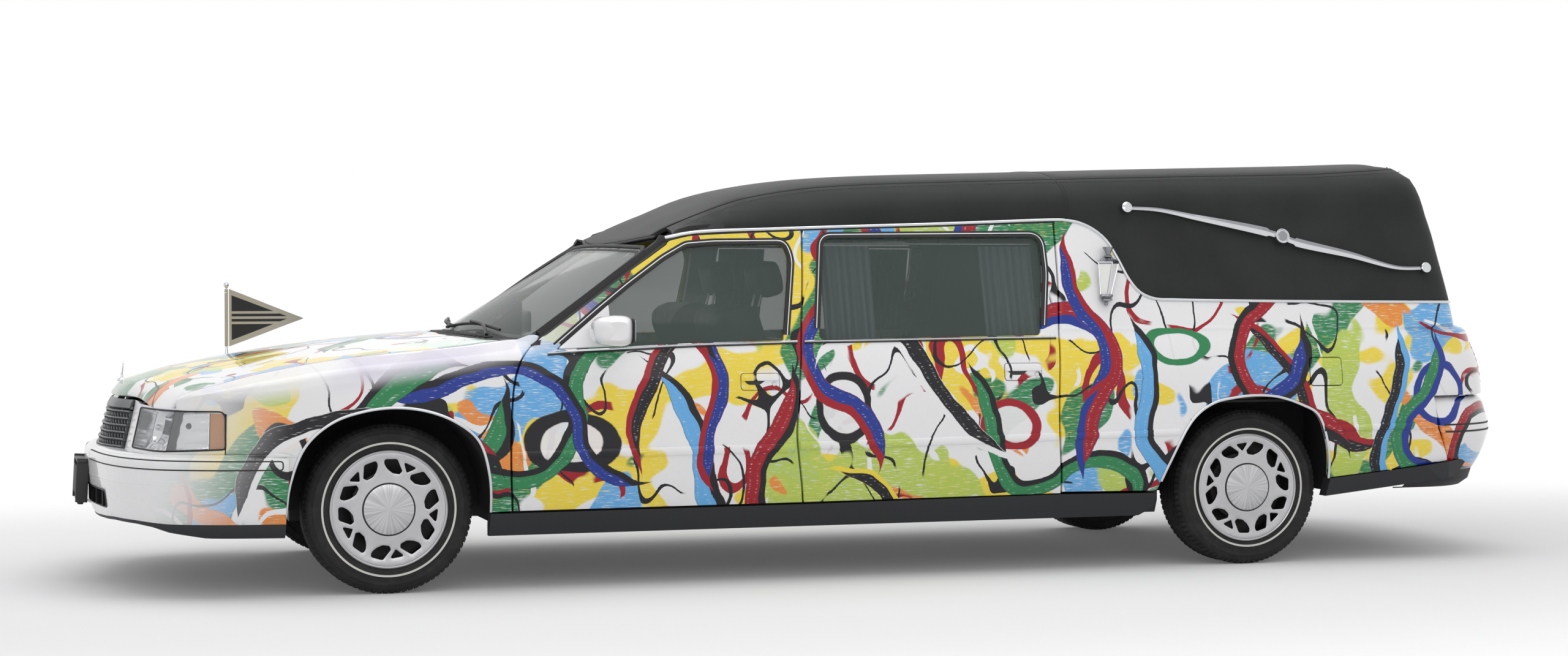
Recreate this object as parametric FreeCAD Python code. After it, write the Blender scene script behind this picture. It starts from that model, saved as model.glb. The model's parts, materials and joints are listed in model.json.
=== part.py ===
"""Landau hearse, built as separate named pieces in one frame.

Frame: +X forward, +Y to the car's left, +Z up, millimetres.  The origin is on
the ground at the middle of the overall length.  Stations (d) are measured from
the front axle, positive forward, and are carried into the frame by sx().
"""
import math
import os

import FreeCAD
import Part

V = FreeCAD.Vector
os.makedirs("parts", exist_ok=True)

# ---- driving sizes -------------------------------------------------------
WHEELBASE = 3660.0
OVERALL_LENGTH = 6140.0
FRONT_OVERHANG = 1145.0      # front axle to the front of the plate holder
HALF_WIDTH = 964.0           # widest body half-width, at the waist
ROOF_HEIGHT = 1745.0
TYRE_RADIUS = 328.0
TYRE_WIDTH = 222.0
RIM_RADIUS = 203.0           # bead seat of a 16 inch wheel
TRACK_HALF = 773.0
KINGPIN_Y = 690.0
WHEEL_GAP = 6.0              # knuckle to disc and disc to caliper
PANEL_GAP = 7.0              # between any panel that moves and its neighbour
PANEL_SKIN = 22.0            # hood and fenders
DOOR_DEPTH = 60.0            # door and body side below the belt
FRAME_DEPTH = 40.0           # door frames, pillars and roof above the belt
GLASS_INSET = 10.0
GLASS_THICK = 6.0
DECK_TOP = 725.0
BIER_PLATE = 14.0            # centre plate that takes the bier pins
FLOOR_TOP = 300.0

AXLE_F = OVERALL_LENGTH / 2 - FRONT_OVERHANG
AXLE_R = AXLE_F - WHEELBASE
WHEEL_Z = TYRE_RADIUS

BELT_Z = 965.0
BELT_Y = 912.0
DRIP_Z = 1420.0
DRIP_Y = 790.0
TALL = 1760.0


def sx(d):
    """Station to X; the cabin stretches with the wheelbase."""
    if d >= 0.0:
        return AXLE_F + d
    if d >= -3660.0:
        return AXLE_F + d * WHEELBASE / 3660.0
    return AXLE_R + d + 3660.0


def sy(y):
    """Half-width to Y; the car widens with HALF_WIDTH."""
    return y * HALF_WIDTH / 964.0


def sz(z):
    """Height to Z; what is above the belt grows with ROOF_HEIGHT."""
    if z <= BELT_Z:
        return z
    return BELT_Z + (z - BELT_Z) * (ROOF_HEIGHT - BELT_Z) / (1745.0 - BELT_Z)


def P(d, y, z):
    return V(sx(d), sy(y), sz(z))


def arc(a, b, c):
    return Part.Arc(a, b, c).toShape()


def seg(a, b):
    return Part.makeLine(a, b)


def save(shape, name):
    """Write one node: its solids, each tidied and closed."""
    solids = [s for s in shape.Solids if s.Volume > 400.0]
    out = solids[0] if len(solids) == 1 else Part.makeCompound(solids)
    if not out.isValid():
        out.fix(0.01, 0.01, 0.01)
    out.exportStep("parts/" + name + ".step")
    print(name, len(solids), out.isValid(), round(out.Volume / 1e6, 2))


def box(d0, d1, y0, y1, z0, z1):
    """Axis-aligned block between stations, half-widths and heights."""
    a = P(min(d0, d1), min(y0, y1), min(z0, z1))
    b = P(max(d0, d1), max(y0, y1), max(z0, z1))
    return Part.makeBox(b.x - a.x, b.y - a.y, b.z - a.z, a)


def both(shape):
    """The shape and its mirror image across the centre plane."""
    return Part.makeCompound([shape, mirror(shape)])


def mirror(shape):
    return shape.mirror(V(0, 0, 0), V(0, 1, 0))


def closed(points):
    return Part.makePolygon(list(points) + [points[0]])


def side_prism(points, y0, y1):
    """Side-view outline of (station, height), run between two half-widths."""
    wire = closed([P(d, y0, z) for d, z in points])
    return Part.Face(wire).extrude(V(0, sy(y1) - sy(y0), 0))


def plan_prism(points, z0, z1):
    """Plan outline of (station, half-width), run between two heights."""
    wire = closed([P(d, y, z0) for d, y in points])
    return Part.Face(wire).extrude(V(0, 0, sz(z1) - sz(z0)))


def end_prism(points, d0, d1):
    """End-view outline of (half-width, height), run between two stations."""
    wire = closed([P(d0, y, z) for y, z in points])
    return Part.Face(wire).extrude(V(sx(d1) - sx(d0), 0, 0))


def mirrored(points):
    """Close a half end-view outline given from the centre line outwards."""
    other = [(-a, b) for a, b in reversed(points) if a != 0.0]
    return list(points) + other


def cyl(radius, height, base, axis):
    return Part.makeCylinder(radius, height, base, axis)


def rod(a, b, radius):
    return Part.makeCylinder(radius, (b - a).Length, a, b - a)


# ---- body below the belt -------------------------------------------------
# station, shoulder y, shoulder z, gutter y, gutter z, crown z
BODY_ROWS = [
    (1180.0, 946.0, 664.0, 800.0, 690.0, 712.0),
    (944.0, 946.0, 712.0, 800.0, 742.0, 803.0),
    (757.0, 946.0, 752.0, 800.0, 786.0, 852.0),
    (534.0, 946.0, 800.0, 800.0, 848.0, 899.0),
    (103.0, 946.0, 868.0, 800.0, 921.0, 960.0),
    (-280.0, 942.0, 902.0, 800.0, 956.0, 992.0),
    (-620.0, 926.0, 937.0, 800.0, 985.0, 1010.0),
    (-1640.0, 912.0, 965.0, 800.0, 1000.0, 1016.0),
    (-2800.0, 908.0, 981.0, 800.0, 1003.0, 1018.0),
    (-4400.0, 905.0, 985.0, 800.0, 1005.0, 1018.0),
    (-5060.0, 905.0, 985.0, 800.0, 1005.0, 1018.0),
]
SILL = (870.0, 205.0)
FLANK = (938.0, 370.0)
WAIST = (964.0, 560.0)

NOSE_PLAN = [(1006.0, 0.0), (992.0, 150.0), (924.0, 352.0), (876.0, 600.0), (814.0, 800.0),
             (730.0, 866.0), (617.0, 906.0), (470.0, 940.0), (325.0, 964.0), (250.0, 1000.0)]
TAIL_PLAN = [(-4300.0, 1000.0), (-4400.0, 962.0), (-4600.0, 925.0), (-4720.0, 862.0),
             (-4800.0, 790.0), (-4880.0, 650.0), (-4915.0, 400.0), (-4925.0, 0.0)]
TAIL_SIDE = [(-4780.0, 1100.0), (-4790.0, 1014.0), (-4815.0, 1004.0), (-4838.0, 950.0),
             (-4876.0, 904.0), (-4896.0, 840.0), (-4926.0, 744.0), (-4926.0, 425.0),
             (-4745.0, 425.0), (-4651.0, 358.0), (-4006.0, 284.0), (-4006.0, 100.0)]


def body_wire(row, inset):
    d, shy, shz, gy, gz, cz = row
    x = sx(d)
    low = V(x, sy(SILL[0]) - inset, SILL[1] - (5.0 if inset else 0.0))
    mid = V(x, sy(FLANK[0]) - inset, FLANK[1])
    wst = V(x, sy(WAIST[0]) - inset, WAIST[1])
    vy = WAIST[0] + 0.30 * (shy - WAIST[0])
    up = V(x, sy(vy) - inset, WAIST[1] + 0.58 * (sz(shz) - WAIST[1]))
    sh = V(x, sy(shy) - inset, sz(shz) - 0.6 * inset)
    gut = V(x, sy(gy) - 0.4 * inset, sz(gz) - inset)
    top = V(x, 0.0, sz(cz) - inset)

    def m(p):
        return V(p.x, -p.y, p.z)

    return Part.Wire([
        seg(m(low), low), arc(low, mid, wst), arc(wst, up, sh), seg(sh, gut),
        arc(gut, top, m(gut)), seg(m(gut), m(sh)), arc(m(sh), m(up), m(wst)),
        arc(m(wst), m(mid), m(low))])


def offset_plan(points, inset):
    """Half plan outline moved in by inset."""
    out = []
    for i, (d, y) in enumerate(points):
        a = points[max(i - 1, 0)]
        b = points[min(i + 1, len(points) - 1)]
        tx, ty = b[0] - a[0], b[1] - a[1]
        n = math.hypot(tx, ty)
        out.append((d - inset * ty / n, y + inset * tx / n if y else 0.0))
    return out


def lower_body(inset):
    loft = Part.makeLoft([body_wire(r, inset) for r in BODY_ROWS], True, True)
    nose = offset_plan(NOSE_PLAN, inset)
    tail = offset_plan(TAIL_PLAN, inset)
    tail[-1] = (TAIL_PLAN[-1][0] + inset, 0.0)
    nose[0] = (NOSE_PLAN[0][0] - inset, 0.0)
    half = nose + [(250.0, 1100.0), (-4300.0, 1100.0)] + tail
    plan = plan_prism(half + [(d, -y) for d, y in reversed(half) if y], 100.0, 1200.0)
    side = [(d + (inset if i < 8 else 0.0), z - (inset if i < 3 else 0.0))
            for i, (d, z) in enumerate(TAIL_SIDE)]
    side = [(1300.0, 100.0), (1300.0, 1100.0)] + side
    return loft.common(plan).common(side_prism(side, -1200.0, 1200.0))


# ---- greenhouse ----------------------------------------------------------
# height, front centre, front side, rear side end, corner (d, y), rear centre
GREEN_ROWS = [
    (925.0, -262.0, -507.0, -4686.0, (-4800.0, 820.0), (-4835.0, 650.0), -4907.0),
    (1380.0, -1040.0, -1146.0, -4530.0, (-4622.0, 716.0), (-4651.0, 590.0), -4728.0),
    (1760.0, -1060.0, -1166.0, -4400.0, (-4478.0, 630.0), (-4502.0, 540.0), -4579.0),
]
# station, drip z, crown z, fullness of the shoulder
ROOF_ROWS = [
    (-150.0, 1280.0, 1322.0, 0.60),
    (-940.0, 1290.0, 1330.0, 0.60),
    (-1156.0, 1385.0, 1467.0, 0.62),
    (-1330.0, 1408.0, 1553.0, 0.72),
    (-1505.0, 1414.0, 1609.0, 0.80),
    (-1896.0, 1430.0, 1648.0, 0.84),
    (-2777.0, 1458.0, 1683.0, 0.86),
    (-3700.0, 1474.0, 1712.0, 0.86),
    (-4620.0, 1484.0, 1743.0, 0.86),
    (-5000.0, 1484.0, 1745.0, 0.86),
]


def half_width(z):
    """Greenhouse half-width at a height."""
    return BELT_Y + (z - BELT_Z) * (DRIP_Y - BELT_Y) / (DRIP_Z - BELT_Z)


def green_wire(row, inset):
    z, fc, fs, rs, corner, rear, rc = row
    fc, fs = fc - 1.75 * inset, fs - 1.0 * inset
    rs, rc = rs + 0.3 * inset, rc + 1.07 * inset
    w = half_width(z)

    def q(d, y):
        return V(sx(d), sy(y), sz(z))

    k = inset
    a, b = q(fs, w - k), q(rs, w - k)
    c1, c2 = q(corner[0] + 0.7 * k, corner[1] - 0.7 * k), q(rear[0] + k, rear[1] - 0.3 * k)
    front, back = q(fc, 0.0), q(rc, 0.0)

    def m(p):
        return V(p.x, -p.y, p.z)

    return Part.Wire([
        arc(m(a), front, a), seg(a, b), arc(b, c1, c2), arc(c2, back, m(c2)),
        arc(m(c2), m(c1), m(b)), seg(m(b), m(a))])


def roof_wire(row, inset):
    """Cross-section of everything under the roof crown."""
    d, zd, zc, full = row
    x = sx(d)
    w = half_width(zd) + 1.5 - inset
    zd = zd - 0.2 * inset
    zc = zc - inset
    h = zc - zd
    out = sy(1100.0)
    k1 = w * (0.90 + 0.08 * (full - 0.5))
    base, edge = V(x, out, 700.0), V(x, out, sz(zd))
    rim = V(x, sy(w), sz(zd))
    sh1 = V(x, sy(w * 0.965), sz(zd + h * full * 0.60))
    sh2 = V(x, sy(k1 - 0.06 * w), sz(zd + h * full * 0.93))
    mid = V(x, sy(w * 0.5), sz(zd + h * (0.93 + 0.05 * full)))
    top = V(x, 0.0, sz(zc))

    def m(p):
        return V(p.x, -p.y, p.z)

    return Part.Wire([
        seg(m(base), base), seg(base, edge), seg(edge, rim), arc(rim, sh1, sh2),
        arc(sh2, top, m(sh2)), arc(m(sh2), m(sh1), m(rim)), seg(m(rim), m(edge)),
        seg(m(edge), m(base))])


def greenhouse(inset):
    low = Part.makeLoft([green_wire(r, inset) for r in GREEN_ROWS], True, True)
    roof = Part.makeLoft([roof_wire(r, inset) for r in ROOF_ROWS], True, True)
    return low.common(roof)


LOWER = {t: lower_body(t) for t in (0.0, PANEL_SKIN, DOOR_DEPTH)}
GREEN = {t: greenhouse(t) for t in (0.0, FRAME_DEPTH)}
OUT = LOWER[0.0].fuse(GREEN[0.0])
WALL = OUT.cut(LOWER[DOOR_DEPTH]).cut(GREEN[FRAME_DEPTH]).cut(
    plan_prism([(-520.0, -850.0), (-520.0, 850.0), (-4680.0, 850.0), (-4680.0, -850.0)],
               760.0, 1010.0))
SKIN = LOWER[0.0].cut(LOWER[PANEL_SKIN])

# ---- seams, as side-view outlines of (station, height) --------------------
A_SEAM = [(-476.0, 311.0), (-464.0, 476.0), (-473.0, 689.0), (-528.0, 870.0), (-590.0, 958.0)]
A_LINE = [(-622.0, 985.0), (-820.0, 1138.0), (-969.0, 1249.0), (-1120.0, 1360.0)]
B_SEAM = [(-1662.0, 317.0), (-1625.0, 576.0), (-1630.0, 696.0), (-1653.0, 955.0),
          (-1680.0, 1196.0), (-1696.0, 1440.0)]
C_SEAM = [(-2784.0, 330.0), (-2763.0, 545.0), (-2760.0, 725.0), (-2778.0, 976.0),
          (-2797.0, 1203.0), (-2804.0, 1462.0)]
DRIP = [(-1030.0, 1345.0), (-1124.0, 1377.0), (-1224.0, 1400.0), (-1620.0, 1419.0),
        (-2301.0, 1442.0), (-2793.0, 1461.0)]
SWEEP = [(-2899.0, 1455.0), (-2968.0, 1430.0), (-3034.0, 1384.0), (-3078.0, 1301.0),
         (-3121.0, 1212.0), (-3184.0, 1146.0), (-3254.0, 1128.0), (-3691.0, 1120.0),
         (-4616.0, 1112.0)]
ARCH_F = [(402.0, 150.0), (399.0, 300.0), (385.0, 440.0), (327.0, 584.0), (226.0, 672.0),
          (100.0, 714.0), (-28.0, 725.0), (-150.0, 706.0), (-252.0, 663.0), (-334.0, 594.0),
          (-378.0, 460.0), (-390.0, 300.0), (-390.0, 150.0)]
ARCH_R = [(-3205.0, 150.0), (-3212.0, 300.0), (-3262.0, 448.0), (-3364.0, 628.0),
          (-3458.0, 694.0), (-3560.0, 716.0), (-3660.0, 724.0), (-3760.0, 716.0),
          (-3868.0, 682.0), (-3945.0, 640.0), (-3992.0, 520.0), (-4012.0, 365.0),
          (-4006.0, 150.0)]
DOOR_LOW_F, DOOR_LOW_B, DOOR_LOW_R = 311.0, 317.0, 330.0
HALF_GAP = PANEL_GAP / 2


def slide(points, by):
    return [(d + by, z) for d, z in points]


def drop(points, by):
    return [(d, z - by) for d, z in points]


LEFT = (500.0, 1200.0)
side_band = end_prism([(835.0, 200.0), (1100.0, 200.0), (1100.0, 1500.0), (700.0, 1500.0),
                       (835.0, 960.0)], -400.0, -2900.0)
arch_front = side_prism(ARCH_F, -1300.0, 1300.0)
arch_rear = side_prism(ARCH_R, -1300.0, 1300.0)
front_door_shape = side_prism(
    slide(A_SEAM + A_LINE, -HALF_GAP) + slide(drop(DRIP[1:2], PANEL_GAP), -PANEL_GAP)
    + drop(DRIP[2:4], PANEL_GAP)
    + [(B_SEAM[-1][0] + HALF_GAP, 1421.0 - PANEL_GAP)]
    + slide(list(reversed(B_SEAM[:-1])), HALF_GAP), *LEFT).common(side_band)
rear_door_shape = side_prism(
    slide(B_SEAM[:-1], -HALF_GAP) + [(B_SEAM[-1][0] - HALF_GAP, 1421.0 - PANEL_GAP)]
    + drop(DRIP[4:5], PANEL_GAP) + [(C_SEAM[-1][0] + HALF_GAP, 1459.0 - PANEL_GAP)]
    + slide(list(reversed(C_SEAM[:-1])), HALF_GAP), *LEFT).common(side_band)
doors_opening = side_prism(
    slide(A_SEAM + A_LINE, HALF_GAP) + DRIP[1:-1] + [(C_SEAM[-1][0] - HALF_GAP, 1460.0)]
    + slide(list(reversed(C_SEAM[:-1])), -HALF_GAP) + [(-2790.0, 290.0), (-470.0, 290.0)],
    *LEFT)
front_light = side_prism(
    [(-892.0, 955.0), (-905.0, 1150.0), (-1095.0, 1296.0), (-1181.0, 1347.0),
     (-1245.0, 1362.0), (-1613.0, 1370.0), (-1647.0, 1338.0), (-1630.0, 1196.0),
     (-1591.0, 970.0)], *LEFT)
rear_light = side_prism(
    [(-1733.0, 973.0), (-1766.0, 1247.0), (-1779.0, 1350.0), (-1804.0, 1381.0),
     (-2713.0, 1393.0), (-2738.0, 1357.0), (-2735.0, 1247.0), (-2697.0, 985.0)], *LEFT)
vinyl_side = side_prism(
    DRIP + SWEEP + [(-5100.0, 1107.0), (-5100.0, 1900.0), (-900.0, 1900.0), (-900.0, 1345.0)],
    -1200.0, 1200.0)
rear_open = [(0.0, 716.0), (596.0, 716.0), (596.0, 1010.0), (566.0, 1300.0), (520.0, 1560.0),
             (440.0, 1618.0), (0.0, 1640.0)]
tail_shape = end_prism(mirrored(rear_open), -5100.0, -4300.0)
g = PANEL_GAP
rear_leaf = [(0.0, 716.0 + g), (596.0 - g, 716.0 + g), (596.0 - g, 1010.0), (566.0 - g, 1300.0),
             (520.0 - g, 1560.0 - 3.0), (437.0, 1618.0 - g), (0.0, 1640.0 - g)]
leaf_shape = end_prism(mirrored(rear_leaf), -5100.0, -4300.0)
tail_light = end_prism(mirrored([(0.0, 1150.0), (470.0, 1150.0), (440.0, 1400.0), (400.0, 1540.0),
                                 (0.0, 1562.0)]), -5100.0, -4300.0)
screen_hole = end_prism(mirrored([(0.0, 975.0), (812.0, 945.0), (735.0, 1200.0), (668.0, 1352.0),
                                  (0.0, 1366.0)]), -1400.0, -150.0)
hood_plan = [(1100.0, 0.0), (1100.0, 793.0), (-444.0, 793.0), (-330.0, 400.0), (-292.0, 0.0)]
hood_plan = hood_plan + [(d, -y) for d, y in reversed(hood_plan) if y]
cowl_plan = [(-299.0, 0.0), (-337.0, 400.0), (-452.0, 800.0), (-640.0, 800.0), (-700.0, 0.0)]
cowl_plan = cowl_plan + [(d, -y) for d, y in reversed(cowl_plan) if y]
lamp_side = [(1150.0, 711.0), (918.0, 711.0), (814.0, 727.0), (720.0, 719.0), (619.0, 709.0),
             (625.0, 572.0), (808.0, 573.0), (918.0, 551.0), (1150.0, 551.0)]

# ---- bumpers: plan outline and profile of (height, inset) ------------------
BUMPER_F = [(1102.0, 0.0), (1085.0, 250.0), (1043.0, 500.0), (970.0, 700.0), (850.0, 850.0),
            (650.0, 932.0), (390.0, 961.0), (300.0, 963.0)]
BUMPER_R = [(-4440.0, 961.0), (-4600.0, 950.0), (-4750.0, 915.0), (-4886.0, 780.0),
            (-4983.0, 500.0), (-5001.0, 0.0)]
PROFILE_F = [(262.0, 46.0), (304.0, 22.0), (360.0, 16.0), (411.0, 8.0), (451.0, 2.0),
             (502.0, -6.0), (537.0, 6.0), (548.0, 30.0)]
PROFILE_R = [(322.0, 130.0), (360.0, 95.0), (447.0, 40.0), (519.0, 14.0), (560.0, 6.0),
             (640.0, 24.0), (694.0, 44.0), (706.0, 62.0)]


def bumper(plan, profile, inset, back):
    """Loft of one plan outline carried up a profile; back closes it."""
    wires = []
    for z, k in profile:
        half = offset_plan(plan, k + inset)
        if plan[0][1] == 0.0:
            half[0] = (plan[0][0] - k - inset, 0.0)
            half = half + [(back, half[-1][1])]
            full = half + [(d, -y) for d, y in reversed(half) if y]
        else:
            half[-1] = (plan[-1][0] + k + inset, 0.0)
            half = [(back, half[0][1])] + half
            full = half + [(d, -y) for d, y in reversed(half) if y]
        wires.append(closed([P(d, y, z) for d, y in full]))
    return Part.makeLoft(wires, True, True)


front_out = bumper(BUMPER_F, PROFILE_F, 0.0, 250.0)
front_in = bumper(BUMPER_F, [(z, k) for z, k in PROFILE_F], 26.0, 240.0)
rear_zone = side_prism([(-4521.0, 706.0), (-4545.0, 565.0), (-4600.0, 446.0),
                        (-4640.0, 300.0), (-5100.0, 300.0), (-5100.0, 706.0)],
                       -1200.0, 1200.0)
rear_out = bumper(BUMPER_R, PROFILE_R, 0.0, -4400.0).common(rear_zone)
rear_in = bumper(BUMPER_R, PROFILE_R, 26.0, -4390.0)

# ---- hood, fenders and nose -------------------------------------------------
nose_cut = side_prism([(-700.0, 1200.0), (-700.0, 600.0), (700.0, 600.0), (808.0, 738.0),
                       (930.0, 738.0), (1200.0, 762.0), (1200.0, 1200.0)], -1200.0, 1200.0)
hood = SKIN.common(plan_prism(hood_plan, 600.0, 1200.0)).common(nose_cut)
save(hood, "hood")
ornament = rod(P(956.0, 0.0, 792.0), P(956.0, 0.0, 806.0), 16.0).fuse(
    rod(P(956.0, 0.0, 802.0), P(956.0, 0.0, 830.0), 4.0)).fuse(
    Part.makeBox(6.0, 34.0, 40.0, P(953.0, -17.0, 829.0)))
ornament = ornament.cut(LOWER[0.0])
save(ornament, "hood_ornament")

fender_side = side_prism(
    slide(A_SEAM + [(-618.0, 985.0)], HALF_GAP) + [(-600.0, 1200.0), (850.0, 1200.0),
                                                   (850.0, 736.0), (815.0, 730.0),
                                                   (720.0, 722.0), (612.0, 711.0),
                                                   (618.0, 552.0), (300.0, 552.0),
                                                   (300.0, 309.0)], 560.0, 1200.0)
fender = SKIN.common(fender_side).cut(plan_prism(
    [(1200.0, 0.0), (1200.0, 800.0), (-452.0, 800.0), (-700.0, 800.0), (-700.0, 0.0)],
    500.0, 1200.0)).cut(arch_front).cut(front_out)
save(fender, "fender_left")
save(mirror(fender), "fender_right")

apron = LOWER[PANEL_SKIN].common(box(-440.0, 640.0, 806.0, 850.0, 720.0, 1000.0))
rail = box(-440.0, 960.0, 400.0, 462.0, 330.0, 430.0)
support = box(700.0, 740.0, -700.0, 700.0, 330.0, 700.0).cut(
    box(690.0, 750.0, -320.0, 320.0, 400.0, 640.0))
link = box(640.0, 740.0, 700.0, 850.0, 640.0, 700.0)
link = link.fuse(box(600.0, 640.0, 806.0, 850.0, 640.0, 730.0)).common(LOWER[PANEL_SKIN])
beam = box(900.0, 1030.0, -560.0, 560.0, 420.0, 548.0).common(front_in)
liner = cyl(sy(1.0) * 428.0, sy(425.0), P(0.0, 470.0, WHEEL_Z), V(0, 1, 0)).cut(
    cyl(sy(1.0) * 418.0, sy(440.0), P(0.0, 465.0, WHEEL_Z), V(0, 1, 0)))
liner = liner.cut(box(-600.0, 600.0, 400.0, 1000.0, 0.0, FLOOR_TOP))
liner = liner.fuse(cyl(sy(1.0) * 428.0, sy(8.0), P(0.0, 462.0, WHEEL_Z), V(0, 1, 0)).cut(
    box(-600.0, 600.0, 400.0, 1000.0, 0.0, FLOOR_TOP)))
liner = liner.common(LOWER[PANEL_SKIN])
structure = support.fuse(beam)
for part in (apron, rail, link, liner):
    structure = structure.fuse(part).fuse(mirror(part))
for y in (-430.0, 430.0):
    structure = structure.fuse(box(700.0, 740.0, y - 20.0, y + 20.0, 300.0, 720.0))
structure = structure.cut(box(-3000.0, -440.0, -1000.0, 1000.0, 0.0, 1200.0))
lamp_outer = LOWER[0.0].common(side_prism(lamp_side, 356.0, 1000.0))
lamp = lamp_outer.cut(LOWER[DOOR_DEPTH]).cut(hood)
save(both(lamp), "headlamps")
structure = structure.cut(both(lamp)).cut(both(fender))
save(structure, "front_structure")

cowl = SKIN.common(plan_prism(cowl_plan, 800.0, 1200.0)).cut(GREEN[0.0])
wall = box(-470.0, -440.0, -850.0, 850.0, FLOOR_TOP, 880.0)
wall = wall.fuse(box(-470.0, -453.0, -850.0, 850.0, 870.0, 930.0))
wall = wall.fuse(box(-470.0, -453.0, -785.0, 785.0, 900.0, 985.0)).common(LOWER[PANEL_SKIN])
COWL = cowl.fuse(wall.cut(GREEN[0.0]))

save(box(-150.0, 420.0, -330.0, 330.0, 330.0, 780.0).cut(
    box(-160.0, 430.0, -340.0, 340.0, 300.0, 352.0)), "engine_block")



def grille_slab(front, depth, z0, z1, y):
    """Slab that follows the nose plan, its foot pushed forward."""
    wires = []
    for z in (z0, z1):
        lean = 30.0 * (745.0 - z) / 210.0 - 14.0
        pts = [(1000.0 + lean - front, 0.0), (986.0 + lean - front, 150.0),
               (918.0 + lean - front, y), (918.0 + lean - front - depth, y),
               (986.0 + lean - front - depth, 150.0), (1000.0 + lean - front - depth, 0.0)]
        pts = pts + [(d, -b) for d, b in reversed(pts) if b]
        wires.append(closed([P(d, b, z) for d, b in pts]))
    return Part.makeLoft(wires, True, True)


grille = grille_slab(0.0, 40.0, 548.0, 736.0, 346.0)
for i in range(5):
    z = 566.0 + i * 27.0
    grille = grille.cut(grille_slab(-30.0, 80.0, z, z + 21.0, 330.0).cut(
        box(800.0, 1200.0, -8.0, 8.0, 500.0, 800.0)))
bars = None
for i in range(-11, 12):
    if i == 0:
        continue
    bar = box(850.0, 1100.0, i * 28.0 - 2.0, i * 28.0 + 2.0, 564.0, 700.0)
    bars = bar if bars is None else bars.fuse(bar)
grille = grille.fuse(bars.common(grille_slab(2.0, 36.0, 560.0, 702.0, 338.0)))
grille = grille.cut(hood).cut(both(lamp_outer))
save(grille, "grille")

intake = end_prism(mirrored([(0.0, 318.0), (690.0, 318.0), (660.0, 404.0), (0.0, 404.0)]),
                   860.0, 1200.0)
bumper_f = front_out.cut(front_in).cut(intake).cut(arch_front)
grid = front_out.cut(bumper(BUMPER_F, PROFILE_F, 18.0, 245.0)).common(intake)
slots = None
for i in range(-16, 17):
    y = i * 40.0
    slot = end_prism([(y - 15.0, 326.0), (y + 15.0, 326.0), (y + 15.0, 396.0),
                      (y - 15.0, 396.0)], 860.0, 1200.0)
    slots = slot if slots is None else slots.fuse(slot)
bumper_f = bumper_f.fuse(grid.cut(slots))
save(bumper_f.cut(arch_front), "front_bumper")
plate = box(1112.0, 1145.0, -158.0, 158.0, 330.0, 500.0).fuse(
    box(1060.0, 1112.0, -120.0, 120.0, 420.0, 490.0)).cut(front_out)
save(plate, "plate_holder")

# ---- floor ------------------------------------------------------------------
floor = box(-470.0, -3260.0, -850.0, 850.0, 230.0, FLOOR_TOP)
floor = floor.fuse(box(-3200.0, -3240.0, -850.0, 850.0, FLOOR_TOP, 400.0))
floor = floor.fuse(box(-3200.0, -4840.0, -850.0, 850.0, 400.0, 440.0))
well_r = box(-3250.0, -4070.0, 600.0, 1000.0, 200.0, 700.0)
floor = floor.cut(both(well_r))
tub = box(-3250.0, -4070.0, 590.0, 600.0, FLOOR_TOP, 700.0)
tub = tub.fuse(box(-3240.0, -3250.0, 590.0, 850.0, FLOOR_TOP, 700.0))
tub = tub.fuse(box(-4070.0, -4080.0, 590.0, 850.0, FLOOR_TOP, 700.0))
tub = tub.fuse(box(-3250.0, -4070.0, 590.0, 850.0, 690.0, 700.0))
floor = floor.fuse(both(tub).common(LOWER[DOOR_DEPTH]))
floor = floor.common(LOWER[DOOR_DEPTH])
axle_tube = rod(V(AXLE_R, -sy(700.0), WHEEL_Z), V(AXLE_R, sy(700.0), WHEEL_Z), 30.0)
floor = floor.cut(axle_tube)
end_wall = box(-4790.0, -4830.0, -850.0, 850.0, 440.0, 700.0).common(LOWER[DOOR_DEPTH])
save(floor.fuse(end_wall), "underbody")

# ---- body sides ---------------------------------------------------------------
side_zone = side_prism(
    slide(A_SEAM, HALF_GAP) + [(-560.0, 962.0), (-560.0, 1100.0), (-200.0, 1100.0),
                               (-200.0, 1900.0), (-5100.0, 1900.0), (-5100.0, 706.0),
                               (-4521.0, 706.0), (-4545.0, 565.0), (-4600.0, 446.0),
                               (-4606.0, 422.0), (-4020.0, 363.0),
                               (-3150.0, 325.0), (-2784.0, 325.0), (-476.0, 303.0)],
    300.0, 1200.0)
upper = WALL.common(side_zone).cut(vinyl_side).cut(doors_opening).cut(tail_shape)
upper = upper.cut(screen_hole).cut(arch_rear).cut(SKIN.common(fender_side))
upper = upper.cut(plan_prism(cowl_plan, 700.0, 1050.0).common(LOWER[0.0]))
upper = upper.cut(rear_out)
lamp_pocket = end_prism([(622.0, 735.0), (900.0, 735.0), (900.0, 955.0), (622.0, 955.0)],
                        -5100.0, -4640.0)
lamp_rear = LOWER[0.0].common(lamp_pocket).cut(LOWER[DOOR_DEPTH])
upper = upper.cut(lamp_pocket)
filler_hole = side_prism([(-3913.0, 882.0), (-3913.0, 760.0), (-4067.0, 760.0),
                          (-4067.0, 882.0)], 930.0, 1200.0)
side_left = upper.cut(filler_hole)
pillar_b = side_prism([(-1560.0, FLOOR_TOP), (-1590.0, 1380.0), (-1775.0, 1380.0),
                       (-1750.0, FLOOR_TOP)], 400.0, 1200.0)
thin = greenhouse(FRAME_DEPTH + 9.0).cut(greenhouse(FRAME_DEPTH + 40.0))
post = thin.common(pillar_b).common(box(-1000.0, -2000.0, 600.0, 1000.0, 960.0, 1500.0))
foot = box(-1590.0, -1745.0, 790.0, 844.0, FLOOR_TOP, 1000.0)
post = post.fuse(foot)
SIDE_L = side_left.fuse(post).cut(floor.fuse(end_wall))
SIDE_R = mirror(upper.fuse(post)).cut(floor.fuse(end_wall))
save(SIDE_L, "body_side_left")
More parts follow.
